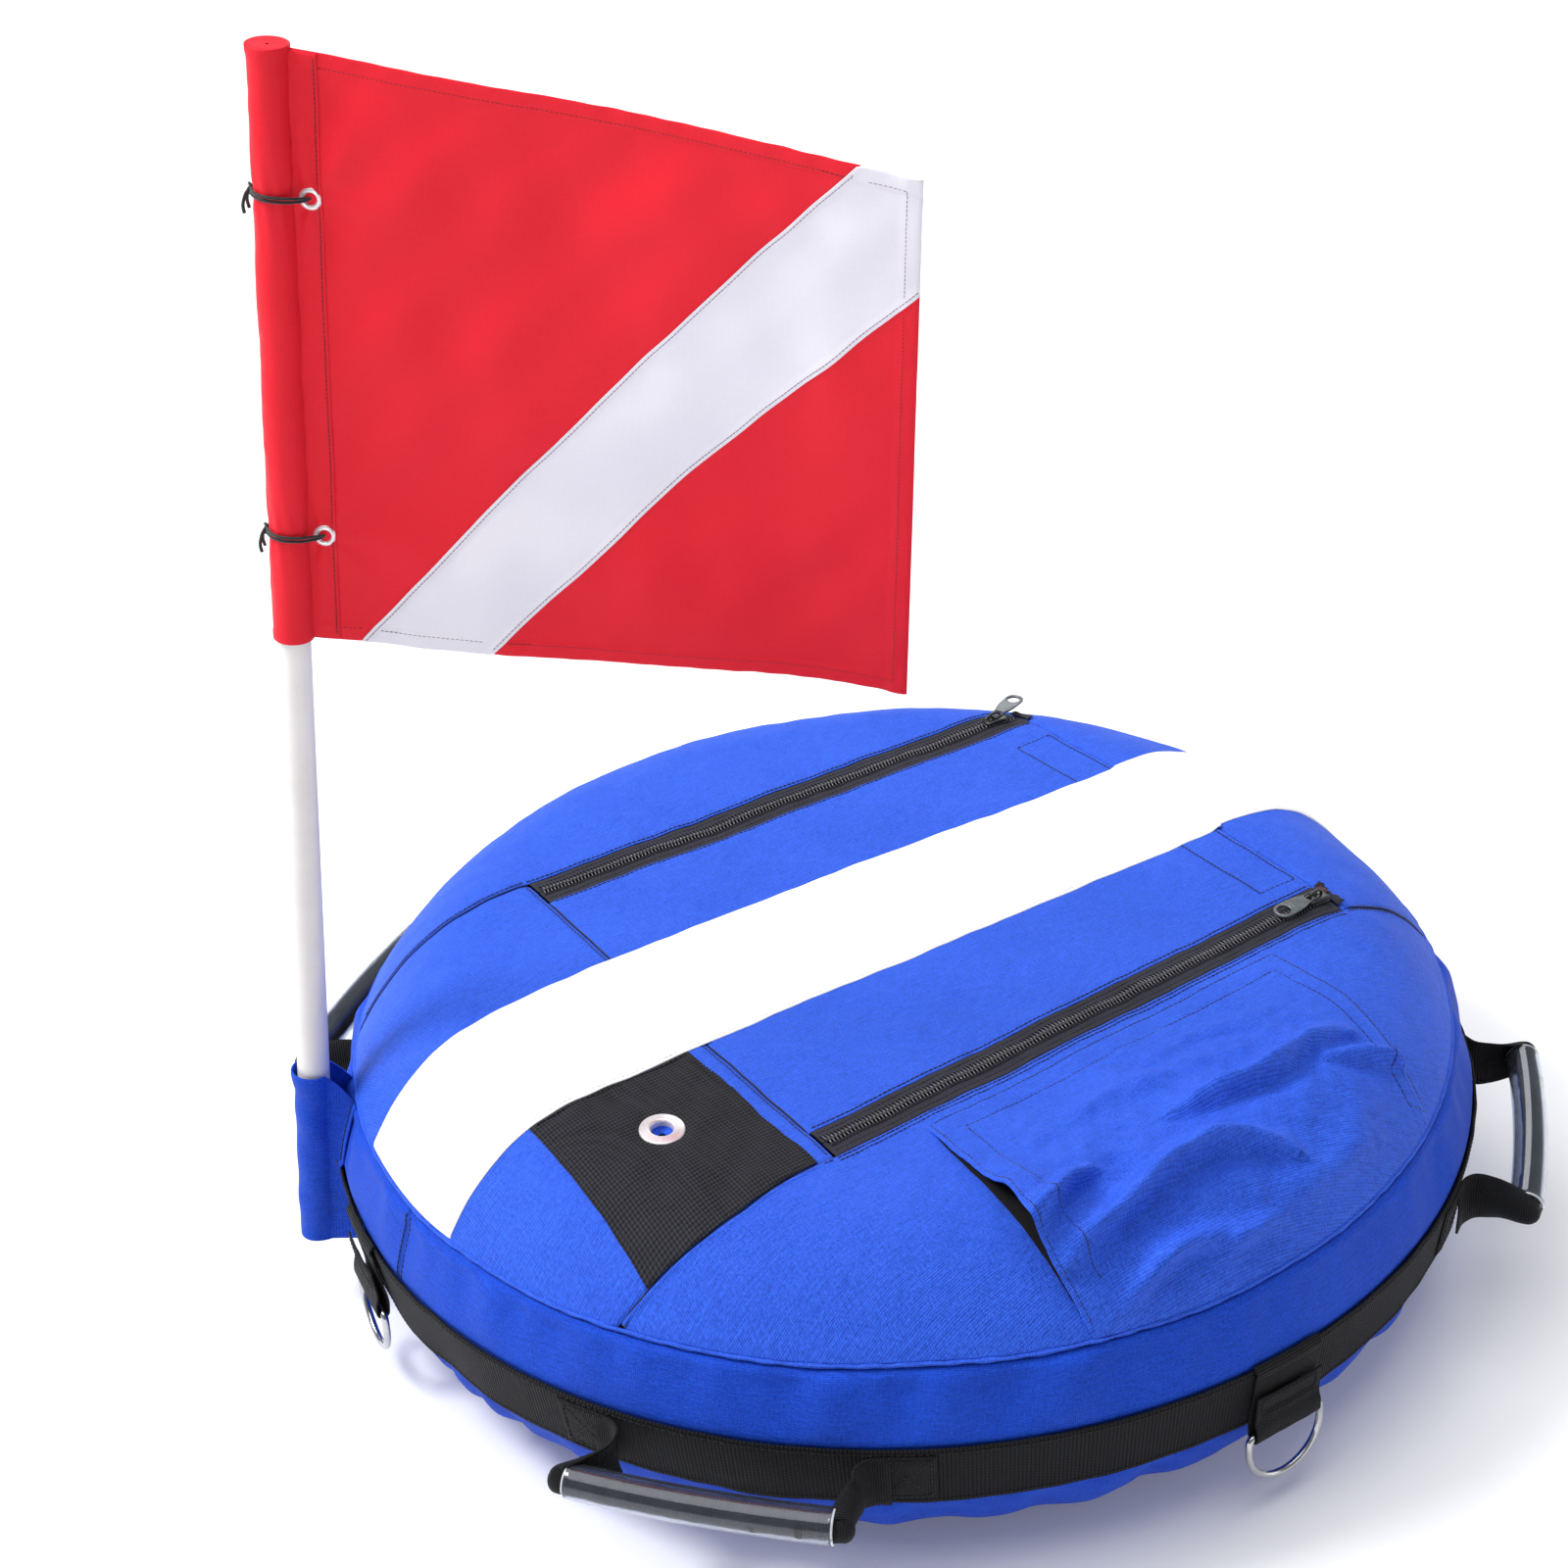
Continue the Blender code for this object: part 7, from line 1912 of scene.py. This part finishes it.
# ------------------------------------------------------------ inflatable ring
def inner_ring():
    n, m = 220, 72
    A = np.linspace(0, 2 * PI, n, endpoint=False)
    B = np.linspace(0, 2 * PI, m, endpoint=False)
    AA, BB = np.meshgrid(A, B, indexing="ij")
    r = 0.1038 + 0.0005 * np.sin(BB * 2 + 0.4) + 0.0005 * waves(AA * 0.28, BB * 0.1, 0.05, 201)
    # weld seam on the inner side, puckered
    for b0 in (PI - 0.35,):
        d = (BB - b0 + PI) % (2 * PI) - PI
        r = r - 0.0012 * np.exp(-(d * 0.106 / 0.004) ** 2) + 0.0016 * np.exp(-((np.abs(d) * 0.106 - 0.008) / 0.003) ** 2) * 0.4
        r = r + 0.0012 * around(AA, 202, 60, 130, 12) * np.exp(-(np.abs(d) * 0.106 / 0.014))
    rr = 0.284 + r * np.cos(BB)
    P = np.stack([rr * np.cos(AA), rr * np.sin(AA), 0.1195 + r * np.sin(BB)], -1)
    sheetgrid("air_ring", P, "rubber", np.stack([AA * 0.28, BB * 0.106], -1), None, ci=True, cj=True, stand=("inner_tube",))
    b0 = PI - 0.35
    q = A
    c = np.stack([(0.284 + 0.1046 * math.cos(b0)) * np.cos(q), (0.284 + 0.1046 * math.cos(b0)) * np.sin(q), 0.1195 + 0.1046 * math.sin(b0) + 0 * q], -1)
    V, F = tube(c, 0.0030, n=8, closed=True, flatten=1.0)
    mesh("air_ring_seam", V, F, "rubber_seam")
    # valve on the inner side
    ca = math.radians(5.0)
    o = np.array([0.17928, 0.01568, 0.1195])
    ax = -np.array([math.cos(ca), math.sin(ca), 0])
    X = np.array([0, 0, 1.0])
    Y = np.cross(ax, X)

    def turn(name, prof, mat, body, stand, ribs=0, k=56):
        a = np.arange(k) * 2 * PI / k
        pr = np.array(prof)
        R = np.broadcast_to(pr[None, :, 0], (k, len(pr))).copy()
        if ribs:
            R = R * (1 + 0.05 * np.cos(ribs * a)[:, None] * (pr[None, :, 2] if pr.shape[1] > 2 else 1))
        G = o + R[..., None] * (np.cos(a)[:, None, None] * X + np.sin(a)[:, None, None] * Y) + pr[None, :, 1, None] * ax
        sheetgrid(name, G, mat, None, None, ci=True, body=body, stand=stand)
    turn("valve_flange", [(0.0240, -0.0006), (0.0250, 0.0004), (0.0240, 0.0012), (0.0180, 0.0016), (0.0140, 0.0026), (0.0120, 0.0036), (0.0080, 0.0042),
                          (0.0054, 0.0050), (0.0046, 0.0064), (0.0043, 0.0090), (0.0042, 0.0198), (0.0038, 0.0202), (0.0020, 0.0202), (0.0019, 0.0100)],
         "valve_plastic", "cover", ("valve_stem",))
    turn("valve_cap_knurl", [(0.0001, 0.0318, 0), (0.0030, 0.0317, 0), (0.0046, 0.0312, 0.3), (0.0053, 0.0300, 1), (0.0055, 0.0290, 1), (0.0055, 0.0222, 1),
                             (0.0054, 0.0212, 1), (0.0050, 0.0206, 0.3), (0.0040, 0.0205, 0)], "valve_plastic", "valve_cap", ("valve_cap",), ribs=14, k=112)
    lan = smooth_line([o + ax * 0.0215 + Y * 0.0052, o + ax * 0.0150 + Y * 0.0085 - X * 0.004, o + ax * 0.0060 + Y * 0.0095 - X * 0.003, o + ax * 0.0030 + Y * 0.0100], 0.0008)
    V, F = tube(lan, 0.0007, up=X, n=8)
    mesh("valve_strap", V, F, "valve_plastic")


inner_ring()


# ------------------------------------------------------------ stage
def stage():
    sc = bpy.context.scene
    sc.view_settings.view_transform = "Standard"
    m = Mat("floor_pale", Roughness=0.9, Specular_IOR_Level=0.1)
    m.b.inputs["Base Color"].default_value = (0.84, 0.84, 0.845, 1)
    m.b.inputs["Emission Color"].default_value = (1.0, 1.0, 1.0, 1)
    m.b.inputs["Emission Strength"].default_value = 0.10
    me = bpy.data.meshes.new("floor")
    me.from_pydata([(-9, -9, -0.0006), (9, -9, -0.0006), (9, 9, -0.0006), (-9, 9, -0.0006)], [], [(0, 1, 2, 3)])
    me.materials.append(m.m)
    fl = bpy.data.objects.new("floor", me)
    sc.collection.objects.link(fl)
    w = bpy.data.worlds.new("studio")
    w.use_nodes = True
    bg = w.node_tree.nodes["Background"]
    bg.inputs[0].default_value = (0.93, 0.95, 1.0, 1)
    bg.inputs[1].default_value = 0.30
    sc.world = w

    def area(name, loc, aim, size, power, col=(1, 1, 1), spread=180):
        li = bpy.data.lights.new(name, "AREA")
        li.shape = "DISK"
        li.size = size
        li.energy = power
        li.color = col
        li.spread = math.radians(spread)
        ob = bpy.data.objects.new(name, li)
        sc.collection.objects.link(ob)
        ob.location = loc
        ob.rotation_mode = "QUATERNION"
        ob.rotation_quaternion = (Vector(aim) - Vector(loc)).to_track_quat("-Z", "Y")
    area("key", (-2.0, 1.2, 3.0), (0, 0, 0.1), 1.2, 100)
    area("side", (2.3, -1.4, 0.6), (0.2, -0.15, 0.1), 1.6, 9)
    li = bpy.data.lights.new("overhead", "SUN")
    li.angle = 1.2
    li.energy = 2.3
    su = bpy.data.objects.new("overhead", li)
    sc.collection.objects.link(su)
    su.rotation_euler = (math.radians(-8), math.radians(-10), 0)
    area("rim", (2.2, 2.4, 2.0), (0, 0, 0.3), 1.6, 18)
    area("flag_light", (-1.55, -1.75, 1.05), (-0.20, -0.06, 0.74), 0.5, 0.35, spread=24)

    cam = bpy.data.objects.new("camera", bpy.data.cameras.new("camera"))
    sc.collection.objects.link(cam)
    C = Vector((-1.094, -1.724, 1.571))
    F = Vector((0.436, 0.742, -0.510)).normalized()
    R = F.cross(Vector((0, 0, 1))).normalized()
    U = R.cross(F)
    a = math.radians(-3.8)
    R2 = R * math.cos(a) + U * math.sin(a)
    U2 = U * math.cos(a) - R * math.sin(a)
    M = Matrix((R2, U2, -F)).transposed().to_4x4()
    M.translation = C
    cam.matrix_world = M
    cam.data.lens = 81
    cam.data.sensor_width = 36
    cam.data.clip_start, cam.data.clip_end = 0.05, 60
    sc.camera = cam


stage()
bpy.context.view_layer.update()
